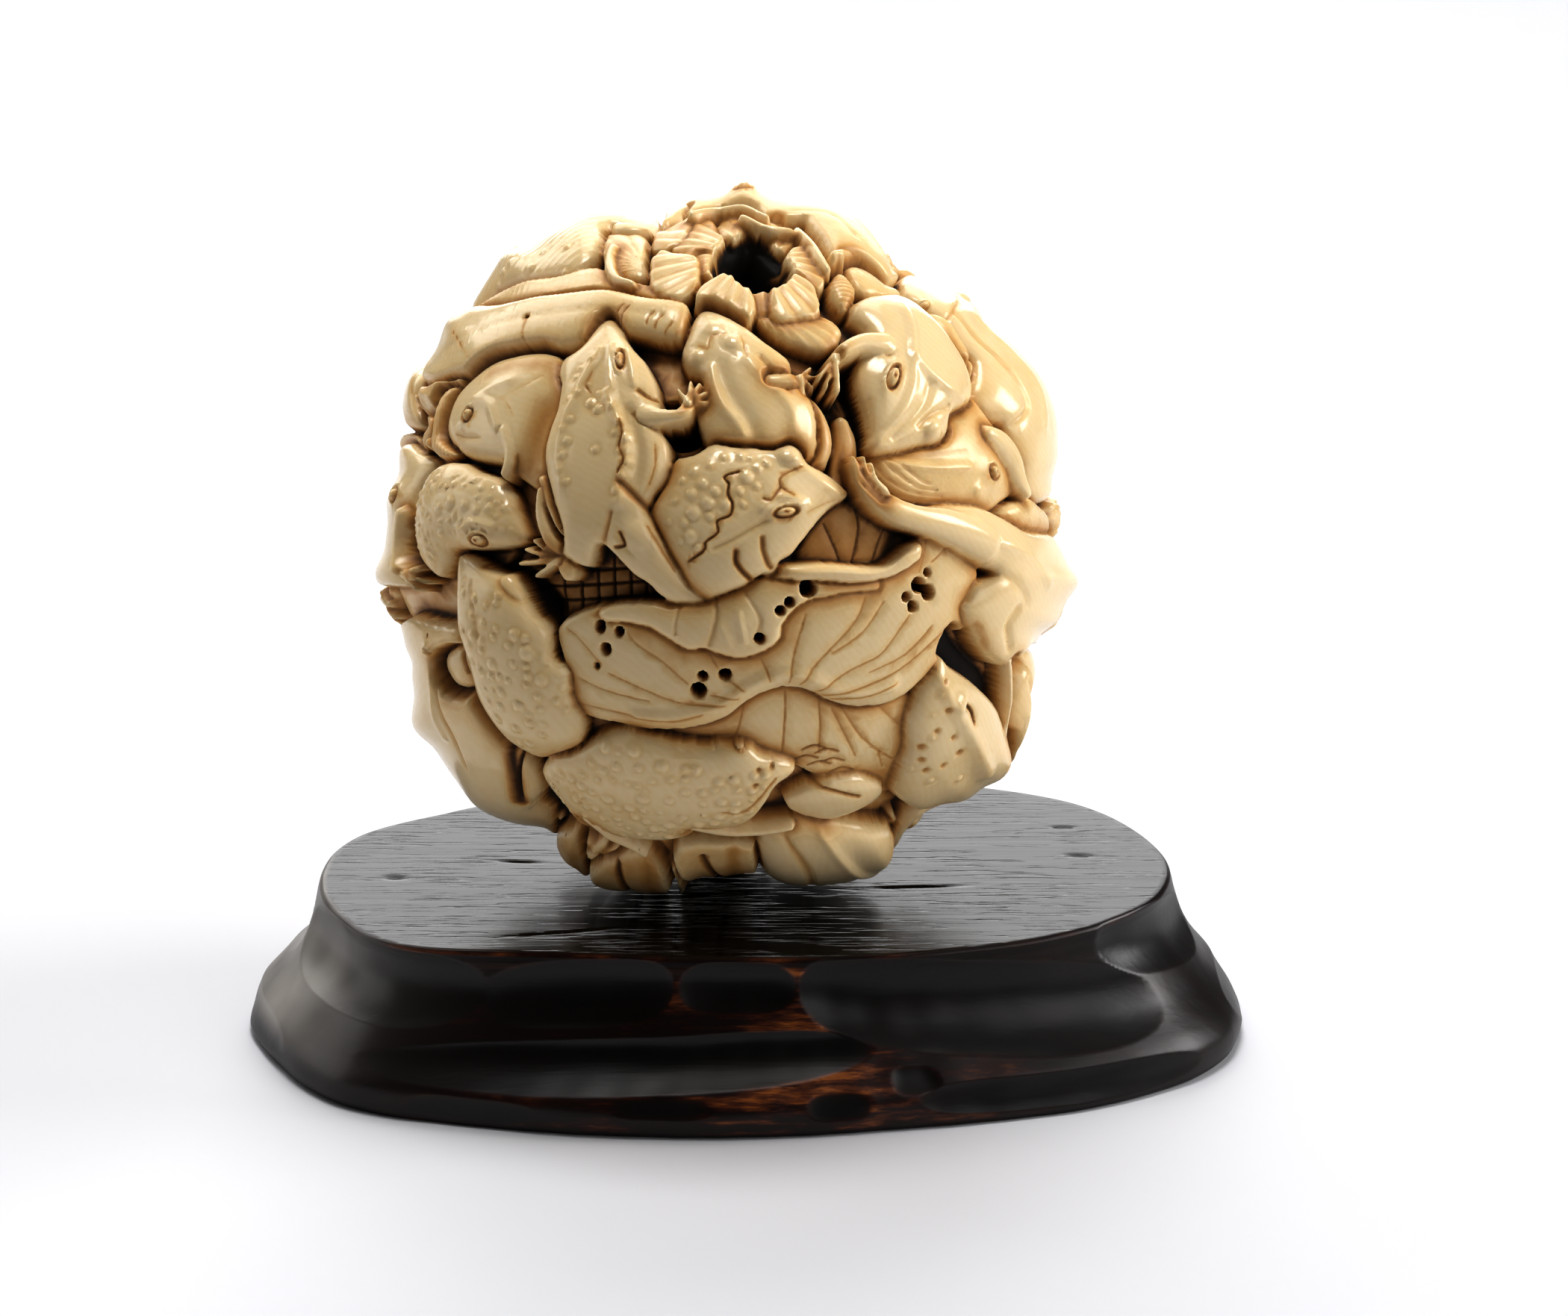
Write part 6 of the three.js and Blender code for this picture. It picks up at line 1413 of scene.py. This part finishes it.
# The stand, in millimetres: radii every 15 degrees from +x towards +y, as in the part
STAND_MIDDLE = np.array([-0.124, -0.669])
STAND_HEIGHT = 14.0
TOP_OUTLINE = (
    37.4, 37.1, 35.6, 32, 28.4, 25.9, 24.7, 24.9, 26.6, 28.6, 31.6, 36.2, 37.2, 36.6, 34.5, 27.2, 23, 21.4,
    20.8, 21.5, 23.3, 26.2, 30.7, 35.3
)
FOOT_OUTLINE = (
    44.1, 43.5, 41.1, 37.1, 33.1, 30.4, 29.3, 30, 31.6, 34.6, 38.7, 42.2, 43.9, 42.1, 39.8, 34.2, 30.3, 28,
    27.1, 27.3, 28.8, 32.5, 38, 42.9
)
SIDE_PROFILE = np.array([
    [0, 0.93], [1, 1], [2.6, 0.98], [3.9, 0.84], [5.1, 0.66], [6.4, 0.48], [8.2, 0.3], [10, 0.17],
    [12.2, 0.06], [14, 0],
])
# Gouge strokes: middle and half length in degrees, lower and upper edge, depth, rise over half a length
STROKES = (
    (203.5, 19, 7, 13.8, 1.3, 0), (238, 17, 8, 13.6, 0.7, 0.5), (269, 13.5, 9.3, 13.7, 0.6, 0),
    (312, 30, 5.5, 13.2, 1.1, -2), (349, 13, 8.1, 13.8, 0.9, -1.2), (253.5, 43, 3.6, 7.7, 0.8, 1.1),
    (321, 20, 0.8, 3.8, 0.6, -0.2), (20, 17, 6.5, 13.6, 0.9, 0), (48, 16, 6.2, 13.6, 0.9, 0.4),
    (79, 17, 6.6, 13.6, 0.9, 0), (111, 17, 6.4, 13.6, 0.9, -0.3), (142, 16, 6.5, 13.6, 0.9, 0),
    (171, 13, 6.2, 13.6, 0.8, 0), (8, 15, 0.9, 5.4, 0.6, 0), (38, 18, 1, 5.6, 0.7, 0.2),
    (74, 20, 0.8, 5.4, 0.7, 0),
    (112, 20, 1, 5.8, 0.7, -0.2), (150, 18, 0.9, 5.6, 0.6, 0), (182, 15, 0.8, 4, 0.4, 0),
    (227, 9, 0.5, 2.7, 0.25, 0), (256, 9, 1.8, 3.6, 0.2, 0), (287.5, 6, 1.3, 3.8, 0.25, 0),
    (301.5, 4, 3, 5.2, 0.3, 0),
)
STAND_SIDES = 640  # points round each ring
PROFILE_PASSES = 30  # rounds that smooth the profile
# Nicks in the plate: place, half length, half width, heading
PLATE_NICKS = (
    (-30.6, -1, 0.8, 0.4, 4), (29.7, 4.6, 0.9, 0.3, -4), (28.6, 12, 0.8, 0.2, 0), (15, -3.4, 3.2, 0.2, 4),
    (-15.6, -14.6, 3.2, 0.2, 12), (-20, 3, 1.6, 0.2, -6),
)


def degrees_from(middle, turn):
    """How many degrees each turn is past the middle, from -180 to 180."""
    return (np.degrees(turn) - middle + 540) % 360 - 180


def around(samples, turn):
    """A smooth value between evenly spaced samples round a full turn, by a Catmull-Rom blend."""
    samples = np.array(samples, float)
    t = (turn / (2 * np.pi)) % 1 * len(samples)
    i = np.floor(t).astype(int)
    s = t - i
    a, b, c, d = (samples[(i + k) % len(samples)] for k in (-1, 0, 1, 2))
    return b + 0.5 * s * (c - a + s * (2 * a - 5 * b + 4 * c - d + s * (3 * (b - c) + d - a)))


def gouged(turn, height):
    """How deep the strokes cut, in millimetres: the deepest of the hollows, each its depth times one
    less v squared less u to the fourth, where u goes from -1 to 1 along the stroke and v across it,
    and the stroke rises by its last number towards u = 1."""
    deepest = np.zeros(np.broadcast(turn, height).shape)
    for middle, half, low, high, depth, rise in STROKES:
        u = degrees_from(middle, turn) / half
        v = (2 * (height - rise * u) - low - high) / (high - low)
        cut = depth * np.clip(1 - v * v - u ** 4, 0, 1)
        deepest = np.maximum(deepest, cut)
    return deepest


def side_radius(turn, height, cut):
    """The side's radius: the profile, smoothed along its height, says what share of the way it stands
    from the plate's outline to the foot's. The strokes are cut from that, slow waves 0.05 mm high are
    added, and the edges at the plate and the floor are rounded off."""
    share = np.interp(height, SIDE_PROFILE[:, 0], SIDE_PROFILE[:, 1])
    for _ in range(PROFILE_PASSES):
        share = np.vstack([share[:1], (share[:-2] + 2 * share[1:-1] + share[2:]) / 4, share[-1:]])
    top = around(TOP_OUTLINE, turn)
    waves = 0.05 * np.sin(13 * turn + 0.7 * height) * np.sin(31 * turn - 0.9 * height) * bell(height / 12)
    upper = 0.3 * np.clip((height - 13.6) / 0.4, 0, 1) ** 2
    lower = 0.35 * np.clip((0.5 - height) / 0.5, 0, 1) ** 2
    return top + share * (around(FOOT_OUTLINE, turn) - top) - cut + waves - upper - lower


def rubbed_through(turn, height, cut):
    """How far the stain is rubbed through on the side: between the strokes, where the cut is near
    nought, most at the front's middle, and along the edges of the plate and the foot."""
    between = bell(cut / 0.12) * smooth_step(0.15, 0.7, height) * smooth_step(13.6, 12.9, height)
    middle = bell(degrees_from(275, turn) / 42)
    rim = bell((height - 13.75) / 0.28) + 0.7 * bell(height / 0.4)
    front = np.clip(0.3 - 0.8 * np.sin(turn), 0.1, 1)
    return np.clip(np.maximum(between * (0.35 + 0.65 * middle), rim) * front, 0, 1)


def left_end_sheen(turn, height):
    """How much painted sheen lies on the left end, for the white surround's grey reflection: most 8 mm
    up, and none near the floor.
    """
    left = bell(degrees_from(186, turn) / 17)
    return left * smooth_step(1.5, 4, height) * (0.55 + 0.45 * bell((height - 8) / 5))


def carve_stand():
    """The stand's mesh: rings under the foot from its middle out, then up the side, then inwards over
    the plate, with the nicks pressed into it, and a point at each middle."""
    turn = np.arange(STAND_SIDES) * 2 * np.pi / STAND_SIDES
    height = np.concatenate([
        np.linspace(0, 13, 100, endpoint=False), np.linspace(13, STAND_HEIGHT, 14)
    ])[:, None]
    cut = gouged(turn, height)
    radius = side_radius(turn, height, cut)
    side = np.stack([
        radius * np.cos(turn), radius * np.sin(turn), np.broadcast_to(height, radius.shape)
    ], -1)
    foot = np.linspace(0, 1, 8)[1:-1, None, None] * side[0]
    steps = np.linspace(1, 0, 84)[1:-1, None, None]
    plate = steps * side[-1] + (1 - steps) * [0, 0, STAND_HEIGHT]
    count = (len(foot) + len(side) + len(plate)) * STAND_SIDES
    rings = np.concatenate([foot, side, plate]).reshape(-1, 3)
    points = np.vstack([rings, [[0, 0, 0], [0, 0, STAND_HEIGHT]]])
    for x, y, long, wide, turned in PLATE_NICKS:
        dx, dy = points[:, 0] - x, points[:, 1] - y
        c, s = math.cos(math.radians(turned)), math.sin(math.radians(turned))
        far = np.hypot((dx * c + dy * s) / long, (dy * c - dx * s) / wide)
        points[:, 2] -= 0.3 * bell(far) * (points[:, 2] > 13.95)
    points[:, :2] += STAND_MIDDLE

    index = np.arange(count).reshape(-1, STAND_SIDES)
    after = np.roll(index, -1, axis=1)
    quads = np.stack([index[:-1], after[:-1], after[1:], index[1:]], -1).reshape(-1, 4)
    triangles = np.vstack([
        quads[:, [0, 1, 2]], quads[:, [0, 2, 3]],
        np.stack([np.full(STAND_SIDES, count), after[0], index[0]], -1),
        np.stack([index[-1], after[-1], np.full(STAND_SIDES, count + 1)], -1),
    ])

    def over_side(values):
        """The side's values, with nought under the foot and on the plate."""
        return np.concatenate([
            np.zeros(foot[..., 0].size), values.ravel(), np.zeros(plate[..., 0].size + 2)
        ])

    below = (len(foot) + len(side)) * STAND_SIDES
    flat = np.repeat([0.0, 1.0, 0.0, 1.0], [below, count - below, 1, 1])
    return build_mesh("carved_stand", points, triangles, {
        "wear": over_side(rubbed_through(turn, height, cut)),
        "painted_sheen": over_side(left_end_sheen(turn, height)),
        "flat": flat,
    })


def wood_material(settings):
    """Hardwood stained almost black and rubbed with lacquer: on the plate its open pores run along
    its length, the gouged sides are smooth, and between the strokes and along the edges the stain is
    rubbed through to orange brown."""
    material, tree, shader = new_material("stained wood")
    place = add_node(tree, "ShaderNodeTexCoord").outputs["Object"]
    wear = add_node(tree, "ShaderNodeAttribute", {"attribute_name": "wear"}).outputs["Fac"]
    flat = add_node(tree, "ShaderNodeAttribute", {"attribute_name": "flat"}).outputs["Fac"]
    turned = (0, 0, math.radians(-3))
    # Pores 0.15 mm wide and about 3 mm long
    along = add_node(
        tree, "ShaderNodeMapping", Vector=place, Rotation=turned, Scale=(160.0, 2600.0, 2600.0)
    ).outputs[0]
    pores = add_node(
        tree, "ShaderNodeTexNoise", Vector=along, Scale=1.0, Detail=2.0, Roughness=0.5
    ).outputs[0]
    # Growth bands 1 to 3 mm wide
    streak = add_node(
        tree, "ShaderNodeMapping", Vector=place, Rotation=turned, Scale=(16.0, 420.0, 420.0)
    ).outputs[0]
    bands = add_node(
        tree, "ShaderNodeTexNoise", Vector=streak, Scale=1.0, Detail=4.0, Roughness=0.6
    ).outputs[0]
    # Rubbed streaks 1 to 5 mm long and 0.3 mm wide
    rubbed = add_node(tree, "ShaderNodeMapping", Vector=place, Scale=(130.0, 700.0, 1300.0)).outputs[0]
    patch = add_node(
        tree, "ShaderNodeTexNoise", Vector=rubbed, Scale=1.0, Detail=4.0, Roughness=0.7
    ).outputs[0]
    spots = add_node(tree, "ShaderNodeTexNoise", Vector=place, Scale=110.0, Detail=2.0).outputs[0]
    both = add_node(tree, "ShaderNodeMath", i0=patch, i1=spots).outputs[0]
    broken = add_node(tree, "ShaderNodeMapRange", Value=both, From_Min=0.98, From_Max=1.26).outputs[0]
    shown = add_node(tree, "ShaderNodeMath", {"operation": "MULTIPLY"}, i0=wear, i1=broken).outputs[0]
    dark = ramp(tree, bands, ((0.3, "#050303"), (0.5, settings.wood), (0.75, "#190E0A")))
    color = ramp(tree, shown, ((0.0, "#1E0A05"), (0.3, "#3A1508"), (0.62, settings.worn), (1.0, "#A8682F")))
    rub = add_node(
        tree, "ShaderNodeMath", {"operation": "MULTIPLY", "use_clamp": True}, i0=wear, i1=1.3
    ).outputs[0]
    mixed = add_node(tree, "ShaderNodeMixRGB", Fac=rub, Color1=dark, Color2=color).outputs[0]
    # Painted grey sheen on the left end, standing for the white surround's reflection in the lacquer
    painted_sheen = add_node(tree, "ShaderNodeAttribute", {"attribute_name": "painted_sheen"}).outputs["Fac"]
    sheen_share = add_node(tree, "ShaderNodeMath", {"operation": "MULTIPLY"}, i0=painted_sheen, i1=spots).outputs[0]
    mixed = add_node(tree, "ShaderNodeMixRGB", Fac=sheen_share, Color1=mixed, Color2=linear("#DAD4CC")).outputs[0]
    tree.links.new(mixed, shader.inputs["Base Color"])
    open_pore = add_node(tree, "ShaderNodeMapRange", Value=pores, From_Min=0.34, From_Max=0.44).outputs[0]
    closed = add_node(tree, "ShaderNodeMath", {"operation": "SUBTRACT"}, i0=1.0, i1=open_pore).outputs[0]
    cut = add_node(tree, "ShaderNodeMath", {"operation": "MULTIPLY"}, i0=closed, i1=flat).outputs[0]
    rise = add_node(
        tree, "ShaderNodeMath", {"operation": "MULTIPLY_ADD"}, i0=cut, i1=-1.6, i2=bands
    ).outputs[0]
    # The plate is polished, the sides are duller
    rough = add_node(tree, "ShaderNodeMapRange", Value=flat, To_Min=0.36, To_Max=0.24).outputs[0]
    tree.links.new(rough, shader.inputs["Roughness"])
    bump = add_node(tree, "ShaderNodeBump", Strength=0.5, Distance=0.0001, Height=rise).outputs[0]
    tree.links.new(bump, shader.inputs["Normal"])
    shader.inputs["IOR"].default_value = 1.54
    return material


class BallSettings(bpy.types.PropertyGroup):
    """Sizes and colours of the ball."""

    cells: IntProperty(name="Cells", description="Cells along each square of the net", default=300, min=60)
    triangles: IntProperty(
        name="Triangles", description="Triangles kept in the ball", default=190000, min=1000
    )
    cream: FloatVectorProperty(name="Cream", description="Colour of the clean ivory", subtype="COLOR",
                               default=linear("#E9D4AC")[:3], min=0, max=1)


class StandSettings(bpy.types.PropertyGroup):
    """Colours of the stand."""

    wood: FloatVectorProperty(name="Wood", description="Colour of the stained wood", subtype="COLOR",
                              default=linear("#100A07")[:3], min=0, max=1)
    worn: FloatVectorProperty(
        name="Worn", description="Colour where the stain is rubbed off", subtype="COLOR",
        default=linear("#6B3A1C")[:3], min=0, max=1
    )


class StageSettings(bpy.types.PropertyGroup):
    """The floor, the lights and the camera."""

    floor: FloatVectorProperty(name="Floor", description="Colour of the floor", subtype="COLOR",
                               default=linear("#D7D7DA")[:3], min=0, max=1)
    right_power: FloatProperty(name="Right Light", description="Power of the light at the right, which the "
                               "one at the right front follows", default=2.8, min=0, unit="POWER")
    left_power: FloatProperty(name="Left Light", description="Power of the light at the back left, which "
                              "the low one at the left follows", default=1.5, min=0, unit="POWER")
    top_power: FloatProperty(name="Top Light", description="Power of the light above, which the one "
                             "behind follows", default=3.2, min=0, unit="POWER")
    panel_power: FloatProperty(name="Back Panel", description="Power of the panel that the plate mirrors",
                               default=6.5, min=0, unit="POWER")
    sky: FloatProperty(name="Surround", description="Strength of the white surround", default=0.04, min=0)
    lens: FloatProperty(name="Lens", description="Focal length", default=127.54, unit="CAMERA")


class FROGBALL_OT_ball(bpy.types.Operator):
    """Carves the ivory ball and stands it in for its plain solid"""

    bl_idname = "frogball.ball"
    bl_label = "Carve Ball"

    def execute(self, context):
        settings = context.scene.frog_ball
        piece = carve_ball(settings)
        piece.data.materials.append(ivory_material(settings))
        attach(piece, "root")
        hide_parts("frog_ball")
        return {"FINISHED"}


class FROGBALL_OT_stand(bpy.types.Operator):
    """Carves the wooden stand and stands it in for its plain solid"""

    bl_idname = "frogball.stand"
    bl_label = "Carve Stand"

    def execute(self, context):
        settings = context.scene.frog_stand
        piece = carve_stand()
        piece.data.materials.append(wood_material(settings))
        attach(piece, "root")
        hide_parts("wooden_stand")
        return {"FINISHED"}


def area_light(name, place, target, size, power):
    """A square light that faces the target."""
    light = bpy.data.lights.new(name, "AREA")
    light.size = size
    light.energy = power
    holder = bpy.data.objects.new(name, light)
    holder.location = place
    holder.rotation_euler = (Vector(target) - Vector(place)).to_track_quat("-Z", "Y").to_euler()
    bpy.context.scene.collection.objects.link(holder)


class FROGBALL_OT_stage(bpy.types.Operator):
    """Sets the pale floor, the soft lights and the camera"""

    bl_idname = "frogball.stage"
    bl_label = "Set Stage"

    def execute(self, context):
        settings = context.scene.frog_stage
        # Level from 2 m in front to 1.2 m behind, a quarter round of 0.5 m, and a wall 2.5 m high
        turn = np.linspace(0, math.pi / 2, 24)
        depth = np.concatenate([[-2.0], 1.2 + 0.5 * np.sin(turn), [1.7]])
        rise = np.concatenate([[0.0], 0.5 - 0.5 * np.cos(turn), [2.5]])
        points = np.array([[x, y, z] for x in (-3.0, 3.0) for y, z in zip(depth, rise)]) / MM
        count = len(depth)
        row = np.arange(count - 1)
        faces = np.stack([row, row + count, row + count + 1, row + 1], -1)
        floor = build_mesh("floor", points, faces)
        material, tree, shader = new_material("pale floor")
        place = add_node(tree, "ShaderNodeTexCoord").outputs["Object"]
        cloud = add_node(tree, "ShaderNodeTexNoise", Vector=place, Scale=12.0).outputs[0]
        color = ramp(tree, cloud, ((0.3, settings.floor), (0.7, "#DCDCDF")))
        tree.links.new(color, shader.inputs["Base Color"])
        shader.inputs["Roughness"].default_value = 0.7
        floor.data.materials.append(material)

        world = bpy.data.worlds.new("surround")
        world.use_nodes = True
        background = next(n for n in world.node_tree.nodes if n.type == "BACKGROUND")
        background.inputs["Color"].default_value = (1, 1, 1, 1)
        background.inputs["Strength"].default_value = settings.sky
        context.scene.world = world
        aim = BALL_MIDDLE * MM
        # Name, place and side in metres, power
        for name, place, size, power in (
            ("right light", (0.6, 0.05, 0.3), 0.3, settings.right_power),
            ("right front light", (0.45, -0.35, 0.35), 0.4, 0.38 * settings.right_power),
            ("left light", (-0.6, 0.05, 0.16), 0.4, 0.6 * settings.left_power),
            ("left back light", (-0.4, 0.4, 0.45), 0.4, settings.left_power),
            ("top light", (0, 0, 0.75), 0.25, settings.top_power),
            ("back light", (0, 0.5, 0.7), 0.4, 0.5 * settings.top_power),
            ("back panel", (0, 1.15, 0.4), 0.9, settings.panel_power),
        ):
            area_light(name, place, aim, size, power)
        context.scene.view_settings.view_transform = "Standard"
        context.scene.view_settings.gamma = 0.7

        camera = bpy.data.cameras.new("camera")
        camera.sensor_fit = "HORIZONTAL"
        camera.sensor_width = 36.0
        camera.lens = settings.lens
        camera.clip_start = 0.01
        holder = bpy.data.objects.new("camera", camera)
        holder.location = (BALL_MIDDLE + FRONT.station) * MM
        holder.rotation_euler = (math.pi / 2 - VIEW_TILT, 0, 0)
        context.scene.collection.objects.link(holder)
        context.scene.camera = holder
        return {"FINISHED"}


class FROGBALL_PT_panel(bpy.types.Panel):
    """Lists the carving steps in the sidebar"""

    bl_idname = "FROGBALL_PT_panel"
    bl_label = "Frog Ball"
    bl_space_type = "VIEW_3D"
    bl_region_type = "UI"
    bl_category = "Frog Ball"

    def draw(self, context):
        for group, step in (
            (context.scene.frog_ball, "frogball.ball"), (context.scene.frog_stand, "frogball.stand"),
            (context.scene.frog_stage, "frogball.stage")
        ):
            box = self.layout.box()
            for key in group.bl_rna.properties.keys():
                if key not in ("rna_type", "name"):
                    box.prop(group, key)
            box.operator(step)


CLASSES = (
    BallSettings, StandSettings, StageSettings, FROGBALL_OT_ball, FROGBALL_OT_stand, FROGBALL_OT_stage,
    FROGBALL_PT_panel
)


def register():
    """Registers the classes and gives the scene their settings."""
    for kind in CLASSES:
        bpy.utils.register_class(kind)
    bpy.types.Scene.frog_ball = PointerProperty(type=BallSettings)
    bpy.types.Scene.frog_stand = PointerProperty(type=StandSettings)
    bpy.types.Scene.frog_stage = PointerProperty(type=StageSettings)


def unregister():
    """Takes back what register did, in the opposite order."""
    del bpy.types.Scene.frog_ball, bpy.types.Scene.frog_stand, bpy.types.Scene.frog_stage
    for kind in reversed(CLASSES):
        bpy.utils.unregister_class(kind)


def main():
    """Builds the stage and the two pieces."""
    register()
    bpy.ops.frogball.stage()
    bpy.ops.frogball.ball()
    bpy.ops.frogball.stand()


if __name__ == "__main__":
    main()
